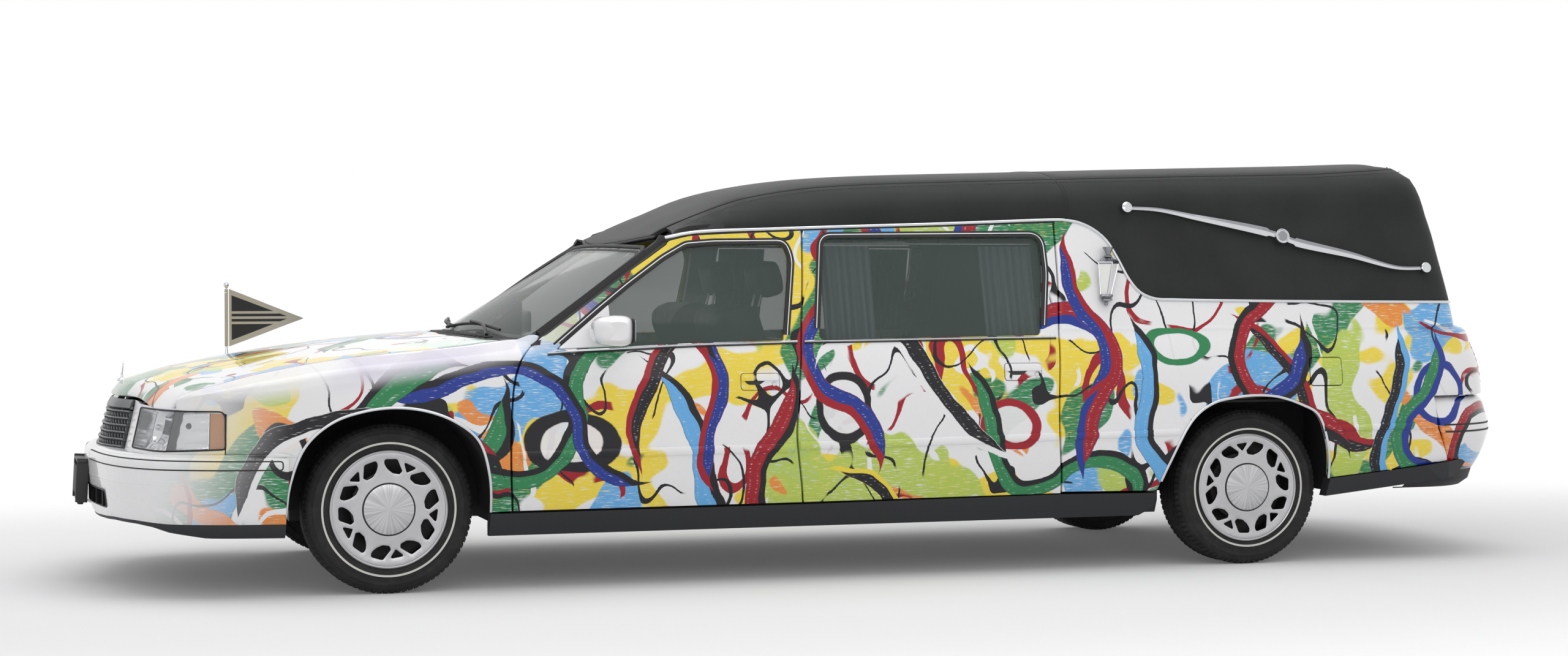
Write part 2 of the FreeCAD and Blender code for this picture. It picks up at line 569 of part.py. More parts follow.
save(SIDE_R, "body_side_right")

# ---- roof -----------------------------------------------------------------------
roof = GREEN[0.0].cut(GREEN[FRAME_DEPTH]).common(vinyl_side).cut(tail_shape).cut(screen_hole)
save(roof, "roof_shell")

# ---- rear end -----------------------------------------------------------------
save(rear_out.cut(rear_in), "rear_bumper")
save(both(lamp_rear), "tail_lamps")

leaf = WALL.common(leaf_shape)
leaf_glass = greenhouse(GLASS_INSET).cut(greenhouse(GLASS_INSET + GLASS_THICK)).common(tail_light)
leaf = leaf.cut(tail_light)
leaf = leaf.cut(rear_out)
save(leaf, "rear_door")
save(leaf_glass, "rear_glass")

screen = greenhouse(4.0).cut(greenhouse(4.0 + GLASS_THICK)).common(screen_hole)
screen = screen.cut(both(fender)).cut(both(SIDE_L)).cut(rear_out)
save(COWL.cut(screen).cut(greenhouse(3.0)), "firewall_cowl")
save(screen, "windshield")

# ---- side doors ---------------------------------------------------------------
pane = greenhouse(GLASS_INSET).cut(greenhouse(GLASS_INSET + GLASS_THICK))
front_door = WALL.common(front_door_shape).cut(front_light)
rear_door_s = WALL.common(rear_door_shape).cut(rear_light)
save(front_door, "door_front_left")
save(mirror(front_door), "door_front_right")
save(rear_door_s, "door_rear_left")
save(mirror(rear_door_s), "door_rear_right")
front_pane = pane.common(front_light)
rear_pane = pane.common(rear_light)
save(front_pane, "glass_front_left")
save(mirror(front_pane), "glass_front_right")
save(rear_pane, "glass_rear_left")
save(mirror(rear_pane), "glass_rear_right")
arm = box(-800.0, -845.0, 880.0, 985.0, 975.0, 1000.0).cut(OUT)
cup = box(-790.0, -900.0, 968.0, 1090.0, 955.0, 1079.0)
cup = cup.makeFillet(22.0, cup.Edges)
mirror_l = arm.fuse(cup)
save(mirror_l, "mirror_left")
save(mirror(mirror_l), "mirror_right")
flap = filler_hole.common(side_prism([(-3918.0, 877.0), (-3918.0, 765.0),
                                      (-4062.0, 765.0), (-4062.0, 877.0)], 900.0, 1200.0))
flap = flap.common(SKIN)
save(flap, "fuel_flap")

# ---- cabin ------------------------------------------------------------------------
dash = side_prism([(-470.0, 640.0), (-700.0, 640.0), (-800.0, 760.0), (-800.0, 900.0),
                   (-730.0, 960.0), (-470.0, 960.0)], -790.0, 790.0)
dash = dash.common(LOWER[DOOR_DEPTH].common(box(0.0, -1000.0, -900.0, 900.0, 0.0, 925.0)).fuse(
    GREEN[FRAME_DEPTH])).cut(COWL)
hub_at = P(-930.0, 370.0, 858.0)
aim = V(-math.cos(math.radians(24.0)), 0.0, math.sin(math.radians(24.0)))
ring = Part.makeTorus(188.0, 14.0, hub_at, aim)
hub = Part.makeCylinder(55.0, 30.0, hub_at - aim * 24.0, aim)
column = rod(hub_at - aim * 170.0, hub_at - aim * 31.0, 30.0)
save(dash.fuse(column), "dashboard")
side_dir = V(0, 1, 0)
up_dir = aim.cross(side_dir)
wheel = ring.fuse(hub)
for a in (90.0, 210.0, 330.0):
    r = math.radians(a)
    tip = side_dir * math.cos(r) + up_dir * math.sin(r)
    wheel = wheel.fuse(rod(hub_at - aim * 8.0 + tip * 40.0, hub_at + tip * 186.0, 9.0))
save(wheel, "steering_wheel")

SEATS = [(-370.0, "right"), (370.0, "left")]
seat = side_prism([(-1010.0, 560.0), (-1030.0, 620.0), (-1400.0, 610.0), (-1460.0, 640.0),
                   (-1545.0, 1080.0), (-1590.0, 1110.0), (-1620.0, 1090.0),
                   (-1560.0, 460.0), (-1010.0, 440.0)], -255.0, 255.0)
rest = box(-1540.0, -1625.0, -130.0, 130.0, 1140.0, 1280.0)
rest = rest.makeFillet(25.0, rest.Edges)
stem = rod(P(-1583.0, 0.0, 1050.0), P(-1583.0, 0.0, 1180.0), 12.0)
base = box(-1080.0, -1480.0, -220.0, 220.0, FLOOR_TOP, 480.0)
seat = seat.fuse(rest).fuse(stem).fuse(base)
pair = [seat.translated(V(0.0, sy(y), 0.0)) for y, _ in SEATS]
save(Part.makeCompound(pair), "front_seats")

deck = box(-1760.0, -4785.0, -800.0, 800.0, DECK_TOP - 25.0, DECK_TOP)
for y in (-560.0, 520.0):
    deck = deck.fuse(box(-1760.0, -3190.0, y, y + 40.0, FLOOR_TOP, DECK_TOP - 25.0))
    deck = deck.fuse(box(-3300.0, -4785.0, y, y + 40.0, 440.0, DECK_TOP - 25.0))
deck = deck.fuse(box(-1745.0, -1775.0, -780.0, 780.0, FLOOR_TOP, 960.0))
deck = deck.common(LOWER[DOOR_DEPTH].fuse(GREEN[FRAME_DEPTH]))
for i in range(7):
    d = -1950.0 - i * 430.0
    for y in (-295.0, 65.0):
        deck = deck.fuse(rod(P(d, y, DECK_TOP + 8.0), P(d, y + 230.0, DECK_TOP + 8.0), 18.0))
deck = deck.fuse(box(-1960.0, -4600.0, -45.0, 45.0, DECK_TOP - 5.0, DECK_TOP + BIER_PLATE))
for y in (-330.0, 310.0):
    deck = deck.fuse(box(-1880.0, -4700.0, y, y + 20.0, DECK_TOP, DECK_TOP + 30.0))
save(deck, "casket_deck")

drape = GREEN[FRAME_DEPTH].cut(greenhouse(FRAME_DEPTH + 22.0))
band = None
for d0, d1 in ((-1790.0, -1990.0), (-2480.0, -2700.0)):
    piece = drape.common(box(d0, d1, 600.0, 1000.0, 960.0, 1450.0))
    band = piece if band is None else band.fuse(piece)
band = band.fuse(drape.common(box(-1790.0, -2700.0, 600.0, 1000.0, 1300.0, 1450.0)))
save(both(band), "side_curtains")

# ---- trim on the sides -----------------------------------------------------------
clad = side_prism([(-388.0, 214.0), (-3150.0, 222.0), (-3215.0, 258.0), (-3218.0, 318.0),
                   (-2784.0, DOOR_LOW_R - PANEL_GAP), (-1662.0, DOOR_LOW_B - PANEL_GAP),
                   (-476.0, DOOR_LOW_F - PANEL_GAP), (-385.0, DOOR_LOW_F - PANEL_GAP)],
                  840.0, 1200.0)
clad_rear = side_prism([(-4013.0, 284.0), (-4651.0, 358.0), (-4729.0, 425.0),
                        (-4745.0, 437.0), (-4729.0, 434.0), (-4020.0, 362.0)], 600.0, 1200.0)
sill = LOWER[0.0].cut(LOWER[DOOR_DEPTH]).common(clad).cut(arch_front).cut(arch_rear)
sill = sill.fuse(LOWER[0.0].cut(LOWER[DOOR_DEPTH]).common(clad_rear).cut(arch_rear).cut(rear_out))
sill = sill.cut(SIDE_L).cut(fender).cut(floor).cut(structure).cut(rear_out)
save(both(sill), "sill_cladding")

BAR = [(-3130.0, 1512.0), (-3451.0, 1472.0), (-3843.0, 1391.0), (-4166.0, 1313.0),
       (-4522.0, 1258.0)]


def on_roof(d, z, lift):
    """Point outside the greenhouse wall, lifted clear of it."""
    return P(d, half_width(z) + lift, z)


bars = None
for (d0, z0), (d1, z1) in zip(BAR[:-1], BAR[1:]):
    for piece in (rod(on_roof(d0, z0, 16.0), on_roof(d1, z1, 16.0), 7.0),
                  Part.makeSphere(7.0, on_roof(d1, z1, 16.0))):
        bars = piece if bars is None else bars.fuse(piece)
for d, z in (BAR[0], BAR[2], BAR[4]):
    bars = bars.fuse(rod(on_roof(d, z, -14.0), on_roof(d, z, 22.0), 25.0 if d != -3843.0 else 34.0))
bars = bars.cut(GREEN[0.0])
save(both(bars), "landau_bars")

lamp_c = [(-2975.0, 1125.0), (-2999.0, 1117.0), (-3020.0, 1125.0), (-3048.0, 1300.0),
          (-3036.0, 1322.0), (-2976.0, 1322.0), (-2966.0, 1300.0)]
coach = side_prism(lamp_c, 770.0, 905.0)
coach = coach.cut(OUT)
save(both(coach), "coach_lamps")

staff = rod(P(484.0, -600.0, 860.0), P(484.0, -600.0, 1201.0), 5.0).fuse(
    Part.makeSphere(9.0, P(484.0, -600.0, 1206.0))).fuse(
    rod(P(484.0, -600.0, 860.0), P(484.0, -600.0, 906.0), 20.0))
staff = staff.cut(LOWER[0.0])
save(staff, "flag_staff")
flag = side_prism([(478.5, 1170.0), (478.5, 921.0), (150.0, 1046.0)], -601.5, -598.5)
save(flag, "flag")

# ---- running gear ----------------------------------------------------------------
def tyre(x, y):
    """Solid of revolution about the axle: tread, shoulders, sidewalls."""
    w = TYRE_WIDTH / 2
    pts = [(RIM_RADIUS, -w + 14), (RIM_RADIUS + 30, -w + 3), (TYRE_RADIUS - 58, -w),
           (TYRE_RADIUS - 20, -w + 10), (TYRE_RADIUS - 4, -w + 26), (TYRE_RADIUS, 0),
           (TYRE_RADIUS - 4, w - 26), (TYRE_RADIUS - 20, w - 10), (TYRE_RADIUS - 58, w),
           (RIM_RADIUS + 30, w - 3), (RIM_RADIUS, w - 14)]
    wire = closed([V(x, y + b, WHEEL_Z + r) for r, b in pts])
    return Part.Face(wire).revolve(V(x, y, WHEEL_Z), V(0, 1, 0), 360)


def turn(x, y, pts):
    wire = closed([V(x, y + b, WHEEL_Z + r) for r, b in pts])
    return Part.Face(wire).revolve(V(x, y, WHEEL_Z), V(0, 1, 0), 360)


def rim(x, y, face):
    """Rim barrel, dished face with five groups of openings, and brake disc."""
    w = TYRE_WIDTH / 2
    s = face
    barrel = turn(x, y, [(RIM_RADIUS, -w + 14), (RIM_RADIUS, w - 14),
                         (RIM_RADIUS - 12, w - 8), (RIM_RADIUS - 14, -w + 8)])
    o = w - 12.0
    disc = turn(x, y, [(30.0, s * (o - 10)), (RIM_RADIUS - 10, s * (o - 8)),
                       (RIM_RADIUS - 10, s * (o - 30)), (118.0, s * (o - 34)),
                       (60.0, s * (o - 60)), (30.0, s * (o - 60))])
    holes = None
    for k in range(5):
        for da in (-20.0, 20.0):
            a = math.radians(72.0 * k + da)
            c = V(x + 160.0 * math.sin(a), y, WHEEL_Z + 160.0 * math.cos(a))
            h = cyl(21.0, 300.0, c - V(0, 150.0, 0), V(0, 1, 0))
            holes = h if holes is None else holes.fuse(h)
    disc = disc.cut(holes)
    hub_part = turn(x, y, [(30.0, s * (o - 60)), (30.0, s * (o - 10)), (0.0, s * (o - 10)),
                           (0.0, s * (o - 60))])
    rotor = turn(x, y, [(0.0, s * (o - 60)), (75.0, s * (o - 60)), (75.0, s * (o - 84)),
                        (142.0, s * (o - 84)), (142.0, s * (o - 106)), (0.0, s * (o - 106))])
    return barrel.fuse(disc).fuse(hub_part).fuse(rotor)


WHEELS = [("front_left", AXLE_F, 1.0), ("front_right", AXLE_F, -1.0),
          ("rear_left", AXLE_R, 1.0), ("rear_right", AXLE_R, -1.0)]
for name, x, s in WHEELS:
    y = s * sy(TRACK_HALF)
    save(tyre(x, y), "tyre_" + name)
    save(rim(x, y, s), "rim_" + name)

DISC_INNER = TRACK_HALF + TYRE_WIDTH / 2 - 12.0 - 106.0
for name, s in (("left", 1.0), ("right", -1.0)):
    stub = cyl(34.0, 60.0, V(AXLE_F, s * (sy(DISC_INNER) - WHEEL_GAP), WHEEL_Z), V(0, -s, 0))
    knuckle = stub.fuse(
        cyl(26.0, 225.0, V(AXLE_F, s * sy(KINGPIN_Y), WHEEL_Z - 119.0), V(0, 0, 1)))
    save(knuckle, "knuckle_" + name)

frame_f = box(-330.0, 330.0, -400.0, 400.0, 250.0, 352.0).cut(
    box(-240.0, 240.0, -300.0, 300.0, 240.0, 320.0))
arms = box(-60.0, 60.0, 380.0, 700.0, 178.0, 202.0)
riser = box(-60.0, 60.0, 380.0, 400.0, 178.0, 260.0)
frame_f = frame_f.fuse(arms).fuse(mirror(arms)).fuse(riser).fuse(mirror(riser))
save(frame_f, "front_subframe")

beam_r = rod(V(AXLE_R, -sy(DISC_INNER) + WHEEL_GAP, WHEEL_Z),
             V(AXLE_R, sy(DISC_INNER) - WHEEL_GAP, WHEEL_Z), 30.0)
save(beam_r, "rear_axle")
tank = box(-4110.0, -4500.0, -450.0, 450.0, 345.0, 400.0)
save(tank, "fuel_tank")
pipe = rod(P(-430.0, -350.0, 205.0), P(-3000.0, -350.0, 205.0), 25.0)
pipe = pipe.fuse(box(-3000.0, -3400.0, -430.0, -270.0, 185.0, 229.0))
save(pipe, "exhaust")
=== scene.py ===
"""Landau hearse: painted panels, vinyl roof, trim, glass, wheels and cabin
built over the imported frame, with procedural finishes."""
import json
import math

import bmesh
import bpy
import numpy as np
from mathutils import Euler, Matrix, Vector, geometry


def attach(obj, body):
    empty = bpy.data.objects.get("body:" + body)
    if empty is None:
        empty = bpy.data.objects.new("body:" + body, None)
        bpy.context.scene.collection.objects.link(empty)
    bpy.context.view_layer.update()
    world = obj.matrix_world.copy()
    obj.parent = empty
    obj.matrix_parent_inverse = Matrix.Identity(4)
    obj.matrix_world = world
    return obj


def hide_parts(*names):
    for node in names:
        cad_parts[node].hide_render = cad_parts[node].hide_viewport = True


bl_info = {
    "name": "Landau Hearse",
    "version": (1, 0, 0),
    "blender": (4, 5, 0),
    "location": "View3D > Sidebar > Hearse",
    "description": "Builds a landau hearse over its packed frame",
    "category": "Object",
}

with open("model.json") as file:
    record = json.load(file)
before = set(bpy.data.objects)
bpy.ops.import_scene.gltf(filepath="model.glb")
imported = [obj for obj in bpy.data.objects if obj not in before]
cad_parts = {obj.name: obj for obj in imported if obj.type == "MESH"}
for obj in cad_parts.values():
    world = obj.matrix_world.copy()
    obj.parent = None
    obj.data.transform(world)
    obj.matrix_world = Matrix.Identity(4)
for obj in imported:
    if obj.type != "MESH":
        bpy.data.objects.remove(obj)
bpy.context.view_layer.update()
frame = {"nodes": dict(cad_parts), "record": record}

JOINTS = {j["name"]: j for j in frame["record"]["behaviour"]["joints"]}
AXLE_F, HALF_TRACK, WHEEL_Z = JOINTS["wheel_front_left_spin"]["pos_m"]
AXLE_R = JOINTS["wheel_rear_left_spin"]["pos_m"][0]
HALF_GAP = 0.0035  # half of the seam between two panels
SIDES = (("_left", 1), ("_right", -1))
CENTRE = (("", 1),)
FINISH = {}


# ---- curves ------------------------------------------------------------------
def curve(table):
    """Smooth one-value curve through (x, value) rows, flat beyond its ends."""
    rows = sorted(table)
    x = np.array([r[0] for r in rows], float)
    y = np.array([r[1] for r in rows], float)
    h, s = np.diff(x), np.diff(y) / np.diff(x)
    m = np.zeros(len(x))
    m[0], m[-1] = s[0], s[-1]
    for i in range(1, len(x) - 1):
        if s[i - 1] * s[i] > 0:
            a, b = 2 * h[i] + h[i - 1], h[i] + 2 * h[i - 1]
            m[i] = (a + b) / (a / s[i - 1] + b / s[i])
    fine = np.linspace(x[0], x[-1], 60 * len(x))
    k = np.clip(np.searchsorted(x, fine) - 1, 0, len(h) - 1)
    t = (fine - x[k]) / h[k]
    out = ((2 * t**3 - 3 * t**2 + 1) * y[k] + (t**3 - 2 * t**2 + t) * h[k] * m[k]
           + (3 * t**2 - 2 * t**3) * y[k + 1] + (t**3 - t**2) * h[k] * m[k + 1])
    return lambda v: np.interp(v, fine, out)


def spline(points, step=0.012, close=False):
    """Points along a smooth curve through the given ones."""
    p = np.array(points, float)
    n = len(p)
    out = []
    for i in range(n if close else n - 1):
        a = p[(i - 1) % n] if close or i else 2 * p[0] - p[1]
        b, c = p[i], p[(i + 1) % n]
        e = p[(i + 2) % n] if close or i < n - 2 else 2 * p[-1] - p[-2]
        la, lb, lc = (max(np.linalg.norm(v), 1e-6) ** 0.5 for v in (b - a, c - b, e - c))
        m1 = (c - b) + lb * ((b - a) / la - (c - a) / (la + lb))
        m2 = (c - b) + lb * ((e - c) / lc - (e - b) / (lb + lc))
        k = max(2, int(np.linalg.norm(c - b) / step))
        for j in range(k):
            t = j / k
            out.append((2 * t**3 - 3 * t**2 + 1) * b + (t**3 - 2 * t**2 + t) * m1
                       + (3 * t**2 - 2 * t**3) * c + (t**3 - t**2) * m2)
    if not close:
        out.append(p[-1])
    return [tuple(v) for v in out]


def rounded(points, radius, step=0.008):
    """Closed outline with its corners rounded; a radius per corner if a list."""
    p = [np.array(v, float) for v in points]
    out = []
    for i, b in enumerate(p):
        r = radius[i] if isinstance(radius, (list, tuple)) else radius
        a, c = p[i - 1], p[(i + 1) % len(p)]
        u, v = a - b, c - b
        lu, lv = np.linalg.norm(u), np.linalg.norm(v)
        u, v = u / lu, v / lv
        ang = math.acos(max(-1.0, min(1.0, float(u @ v))))
        cut = min(r / max(math.tan(ang / 2), 1e-3), lu * 0.49, lv * 0.49)
        if r <= 0 or ang > 3.1:
            out.append(b)
            continue
        k = max(3, int(cut * 1.6 / step))
        for j in range(k + 1):
            t = j / k
            out.append((1 - t) ** 2 * (b + u * cut) + 2 * t * (1 - t) * b + t * t * (b + v * cut))
    return [tuple(v) for v in out]


def smooth01(t):
    t = np.clip(t, 0.0, 1.0)
    return t * t * (3 - 2 * t)


# ---- body surfaces: stations d from the front axle, half-widths y, heights z --
CREASE_Z = curve([(1.2, 0.66), (0.83, 0.722), (0.757, 0.748), (0.534, 0.797), (0.183, 0.861),
                  (-0.173, 0.893), (-0.58, 0.925), (-1.071, 0.954), (-1.643, 0.966),
                  (-2.711, 0.979), (-2.917, 0.981), (-4.37, 0.985), (-5.1, 0.985)])
CREASE_Y = curve([(1.2, 0.946), (0.183, 0.946), (-0.173, 0.941), (-0.58, 0.936),
                  (-1.071, 0.9215), (-1.643, 0.9130), (-2.711, 0.9082), (-5.1, 0.9066)])
GUTTER_Z = curve([(1.2, 0.66), (0.87, 0.704), (0.824, 0.732), (0.796, 0.764), (0.757, 0.786),
                  (0.631, 0.820), (0.491, 0.856), (0.164, 0.912), (-0.296, 0.957),
                  (-0.467, 0.979), (-0.7, 0.995)])
CROWN_Z = curve([(1.2, 0.755), (1.0, 0.797), (0.944, 0.812), (0.757, 0.856), (0.534, 0.899),
                 (0.103, 0.960), (-0.28, 0.992), (-0.7, 1.012)])
NOSE_X = curve([(0.0, 1.006), (0.15, 0.992), (0.352, 0.926), (0.6, 0.878), (0.8, 0.816),
                (0.866, 0.730), (0.906, 0.617), (0.940, 0.470), (0.964, 0.325), (0.98, 0.2)])
NOSE_EDGE_Y = np.linspace(0, 0.98, 200)
NOSE_EDGE_D = NOSE_X(NOSE_EDGE_Y)


def nose_y(d):
    """Half-width that the nose plan leaves at a station."""
    return np.interp(-np.asarray(d), -NOSE_EDGE_D, NOSE_EDGE_Y)


BELT_Y, BELT_Z, TUMBLE = 0.912, 0.965, 0.26813  # belt line, and how steeply the glass leans in


def green_y(z):
    """Greenhouse half-width at a height."""
    return BELT_Y - (z - BELT_Z) * TUMBLE


WIDEST_Y, WIDEST_Z = 0.964, 0.56
UNDERSIDE, TUCK = 0.36, 0.094  # how far below the widest line, and how far in


def section(d, t):
    """Side of the body at station d; t is the height up to the crease, then
    the distance over the fender top, or the height again past the cabin."""
    d, t = np.broadcast_arrays(np.asarray(d, float), np.asarray(t, float))
    zc, yc = CREASE_Z(d), CREASE_Y(d)
    cabin = smooth01((-0.50 - d) / 0.10)

    def low(z):
        up = np.clip((z - WIDEST_Z) / (zc - WIDEST_Z), 0, None)
        down = np.clip((WIDEST_Z - z) / UNDERSIDE, 0, None)
        return WIDEST_Y - (WIDEST_Y - yc) * up**3.3 - TUCK * down**1.9, z

    def high(s):
        gz = GUTTER_Z(d)
        length = np.hypot(yc - 0.8, gz - zc)
        f = s / length
        y1 = yc - (yc - 0.8) * f
        z1 = zc + (gz - zc) * f + 0.020 * f * (1 - f)
        y2 = green_y(zc + s) + (yc - green_y(zc)) * np.exp(-np.clip(s, 0, 9) / 0.014)
        return y1 + (y2 - y1) * cabin, z1 + (zc + s - z1) * cabin

    rho = 0.022
    y, z = low(np.minimum(t, zc))
    y2, z2 = high(np.maximum(t - zc, 0))
    y, z = np.where(t > zc, y2, y), np.where(t > zc, z2, z)
    ya, za = low(zc - rho)
    yb, zb = high(rho + 0 * zc)
    u = np.clip((t - zc + rho) / (2 * rho), 0, 1)
    near = np.abs(t - zc) < rho
    yq = (1 - u) ** 2 * ya + 2 * u * (1 - u) * yc + u * u * yb
    zq = (1 - u) ** 2 * za + 2 * u * (1 - u) * zc + u * u * zb
    return np.where(near, yq, y), np.where(near, zq, z)


def soft_min(a, b, r):
    h = np.clip(0.5 + 0.5 * (b - a) / r, 0, 1)
    return b + (a - b) * h - r * h * (1 - h)


def flank(d, t):
    """Side surface as points."""
    y, z = section(d, t)
    lim = np.where(np.asarray(d) > 0.15, nose_y(d), 2.0)
    y = soft_min(y, lim, 0.03)
    return np.stack([AXLE_F + d + 0 * t, y, z], -1)


def hood_top(d, y):
    """Hood surface."""
    a = np.abs(y)
    zg, zc = GUTTER_Z(d), CROWN_Z(d)
    z = zg + (zc - zg) * (1 - np.clip(a / 0.8, 0, 1.1) ** 2.2)
    e = np.clip(NOSE_X(a) - d, 0, 0.07)
    z = z - (0.07 - np.sqrt(np.clip(0.07**2 - (0.07 - e) ** 2, 0, None)))
    return np.stack([AXLE_F + d + 0 * y, y + 0 * d, z], -1)


# ---- greenhouse and roof -------------------------------------------------------
DRIP_Z = curve([(-0.94, 1.318), (-1.03, 1.345), (-1.124, 1.377), (-1.224, 1.400),
                (-1.62, 1.420), (-2.301, 1.443), (-2.793, 1.462), (-3.7, 1.476),
                (-4.62, 1.486), (-5.0, 1.486)])
ROOF_Z = curve([(-0.94, 1.324), (-1.00, 1.352), (-1.168, 1.432), (-1.330, 1.512),
                (-1.485, 1.578), (-1.635, 1.614), (-1.815, 1.641), (-2.057, 1.658),
                (-2.777, 1.683), (-3.348, 1.702), (-4.134, 1.725), (-4.62, 1.742),
                (-5.0, 1.745)])
FULL = curve([(-1.0, 2.2), (-1.3, 2.5), (-1.6, 2.9), (-2.3, 3.2), (-4.6, 3.4)])
FRONT_C = curve([(0.90, -0.219), (0.925, -0.262), (1.38, -1.040), (1.45, -1.160)])
FRONT_S = curve([(0.90, -0.472), (0.925, -0.507), (1.38, -1.146), (1.45, -1.244)])
LEAN = curve([(1.00, -0.003), (1.10, 0.006), (1.20, 0.021), (1.31, 0.041), (1.42, 0.060),
              (1.53, 0.090), (1.64, 0.122), (1.75, 0.150)])
ROOF_TOP, ROLL = 1.742, 0.10  # highest point, and how far down the tail's edge rolls


def over_y(d, z):
    """Half-width at any height, over the shoulder too."""
    zd, zc, n = DRIP_Z(d), ROOF_Z(d), FULL(d)
    f = np.clip((z - zd) / np.maximum(zc - zd, 1e-4), 0, 1)
    return np.where(z <= zd, green_y(z), green_y(zd) * (1 - f**n) ** (1 / n))


def roof_z(d, y):
    zd, zc, n = DRIP_Z(d), ROOF_Z(d), FULL(d)
    f = np.clip(np.abs(y) / green_y(zd), 0, 0.9999)
    return zd + (zc - zd) * (1 - f**n) ** (1 / n)


def tail_roll(z):
    """How far the tail leans in near the roof."""
    k = np.clip(z - (ROOF_TOP - ROLL), 0, ROLL * 0.999)
    return ROLL - np.sqrt(ROLL**2 - k**2)


def rear_line(z):
    """Station of the greenhouse's tail on the centre line."""
    return -4.769 + LEAN(z) + tail_roll(z)


SIDE_END, CORNER_END, WRAP_END = 4.4, 4.95, 5.60


def green_wrap(a, z):
    """Greenhouse round the tail: a is minus the station along the side, then
    runs round the corner and across the tail."""
    a, z = np.broadcast_arrays(np.asarray(a, float), np.asarray(z, float))
    rear_c = rear_line(z)
    rear_x = rear_c + 0.073
    rear_y = 0.65 - (z - 0.925) * 0.13 - 0.3 * tail_roll(z)
    rs = rear_c + 0.216 - tail_roll(z) * 0.2
    side = np.where(a < 2.8, -a, -2.8 - (a - 2.8) * (-rs - 2.8) / (SIDE_END - 2.8))
    side_y = over_y(side, z)
    end_y = over_y(rs, z)
    rear_y = np.minimum(rear_y, end_y * 0.86)
    t = np.clip((a - SIDE_END) / (CORNER_END - SIDE_END), 0, 1)
    slope = 2 * (rear_x - rear_c) / np.maximum(rear_y, 0.05)
    ax, ay = rs - 0.80 * (rs - rear_x), end_y
    bx, by = rear_x - slope * 0.10, rear_y + 0.62 * (end_y - rear_y)
    cx = (1 - t) ** 3 * rs + 3 * t * (1 - t) ** 2 * ax + 3 * t * t * (1 - t) * bx + t**3 * rear_x
    cy = (1 - t) ** 3 * end_y + 3 * t * (1 - t) ** 2 * ay + 3 * t * t * (1 - t) * by + t**3 * rear_y
    f = np.clip((a - CORNER_END) / (WRAP_END - CORNER_END), 0, 1)
    ry = rear_y * (1 - f)
    rx = rear_c + (rear_x - rear_c) * (1 - f) ** 2
    x = np.where(a < SIDE_END, side, np.where(a < CORNER_END, cx, rx))
    y = np.where(a < SIDE_END, side_y, np.where(a < CORNER_END, cy, ry))
    return np.stack([AXLE_F + x, y, z + 0 * a], -1)


TAIL = np.array(spline([(-4.30, 0.9645), (-4.42, 0.957), (-4.60, 0.930), (-4.74, 0.882),
                        (-4.835, 0.795), (-4.888, 0.68), (-4.912, 0.52), (-4.922, 0.30),
                        (-4.925, 0.0)], 0.004))
TAIL_RUN = np.concatenate([[0], np.cumsum(np.hypot(*np.diff(TAIL, axis=0).T))])
TAIL_IN = curve([(0.30, 0.05), (0.50, 0.012), (0.70, 0.0), (0.744, 0.001), (0.822, 0.012),
                 (0.876, 0.027), (0.931, 0.049), (0.975, 0.064), (0.990, 0.072),
                 (1.000, 0.086)])


def ledge_z(t):
    """Height along the tail, whose coordinate t runs on over the ledge."""
    return np.where(t < 1.0, t, np.where(t < 1.04, 1.0 + 0.5 * (t - 1.0), t - 0.02))


def tail_wrap(a, t):
    """Lower body, ledge and the band under the vinyl, round the tail."""
    a, t = np.broadcast_arrays(np.asarray(a, float), np.asarray(t, float))
    z = ledge_z(t)
    zl = np.minimum(z, 1.0)
    s = np.clip((a - 4.3) / (WRAP_END - 4.3), 0, 1) * TAIL_RUN[-1]
    px, py = np.interp(s, TAIL_RUN, TAIL[:, 0]), np.interp(s, TAIL_RUN, TAIL[:, 1])
    qx, qy = np.interp(s + 0.01, TAIL_RUN, TAIL[:, 0]), np.interp(s + 0.01, TAIL_RUN, TAIL[:, 1])
    rx, ry = np.interp(s - 0.01, TAIL_RUN, TAIL[:, 0]), np.interp(s - 0.01, TAIL_RUN, TAIL[:, 1])
    n = np.hypot(qx - rx, qy - ry)
    nx, ny = (qy - ry) / n, -(qx - rx) / n
    ys = section(np.minimum(-a, -2.0), zl)[0]
    side_in = 0.9645 - ys
    rear_in = TAIL_IN(zl)
    k = smooth01((s - 0.18) / 0.35)
    q = side_in + (rear_in - side_in) * k
    x = np.where(a < 4.3, -a, px - nx * q)
    y = np.where(a < 4.3, ys, py - ny * q)
    up = green_wrap(a, np.maximum(z, 1.0))
    f = smooth01((t - 0.998) / 0.042)
    x = x + (up[..., 0] - AXLE_F - x) * f
    y = y + (up[..., 1] - y) * f
    return np.stack([AXLE_F + x, np.maximum(y, 0), z], -1)


def screen(y, z):
    """Windshield surface."""
    c, s = FRONT_C(z), FRONT_S(z)
    x = c + (s - c) * (y / green_y(z)) ** 2
    return np.stack([AXLE_F + x, y + 0 * z, z + 0 * y], -1)


def tail_face(y, z):
    """Back of the greenhouse, from side to side."""
    a = WRAP_END - (WRAP_END - CORNER_END) * np.abs(y) / (0.65 - (z - 0.925) * 0.13)
    p = green_wrap(np.maximum(a, CORNER_END), z)
    p[..., 1] = y
    return p


# ---- mesh helpers ---------------------------------------------------------------
def piece(name, verts, faces, body, finish, smooth=True, flat_angle=40, replaces=(), slot=None):
    """Mesh object that rides on a body."""
    me = bpy.data.meshes.new(name)
    me.from_pydata([tuple(map(float, v)) for v in verts], [], [tuple(map(int, f)) for f in faces])
    me.validate()
    me.update()
    ob = bpy.data.objects.new(name, me)
    bpy.context.collection.objects.link(ob)
    return dress(ob, body, finish, smooth, flat_angle, replaces, slot)


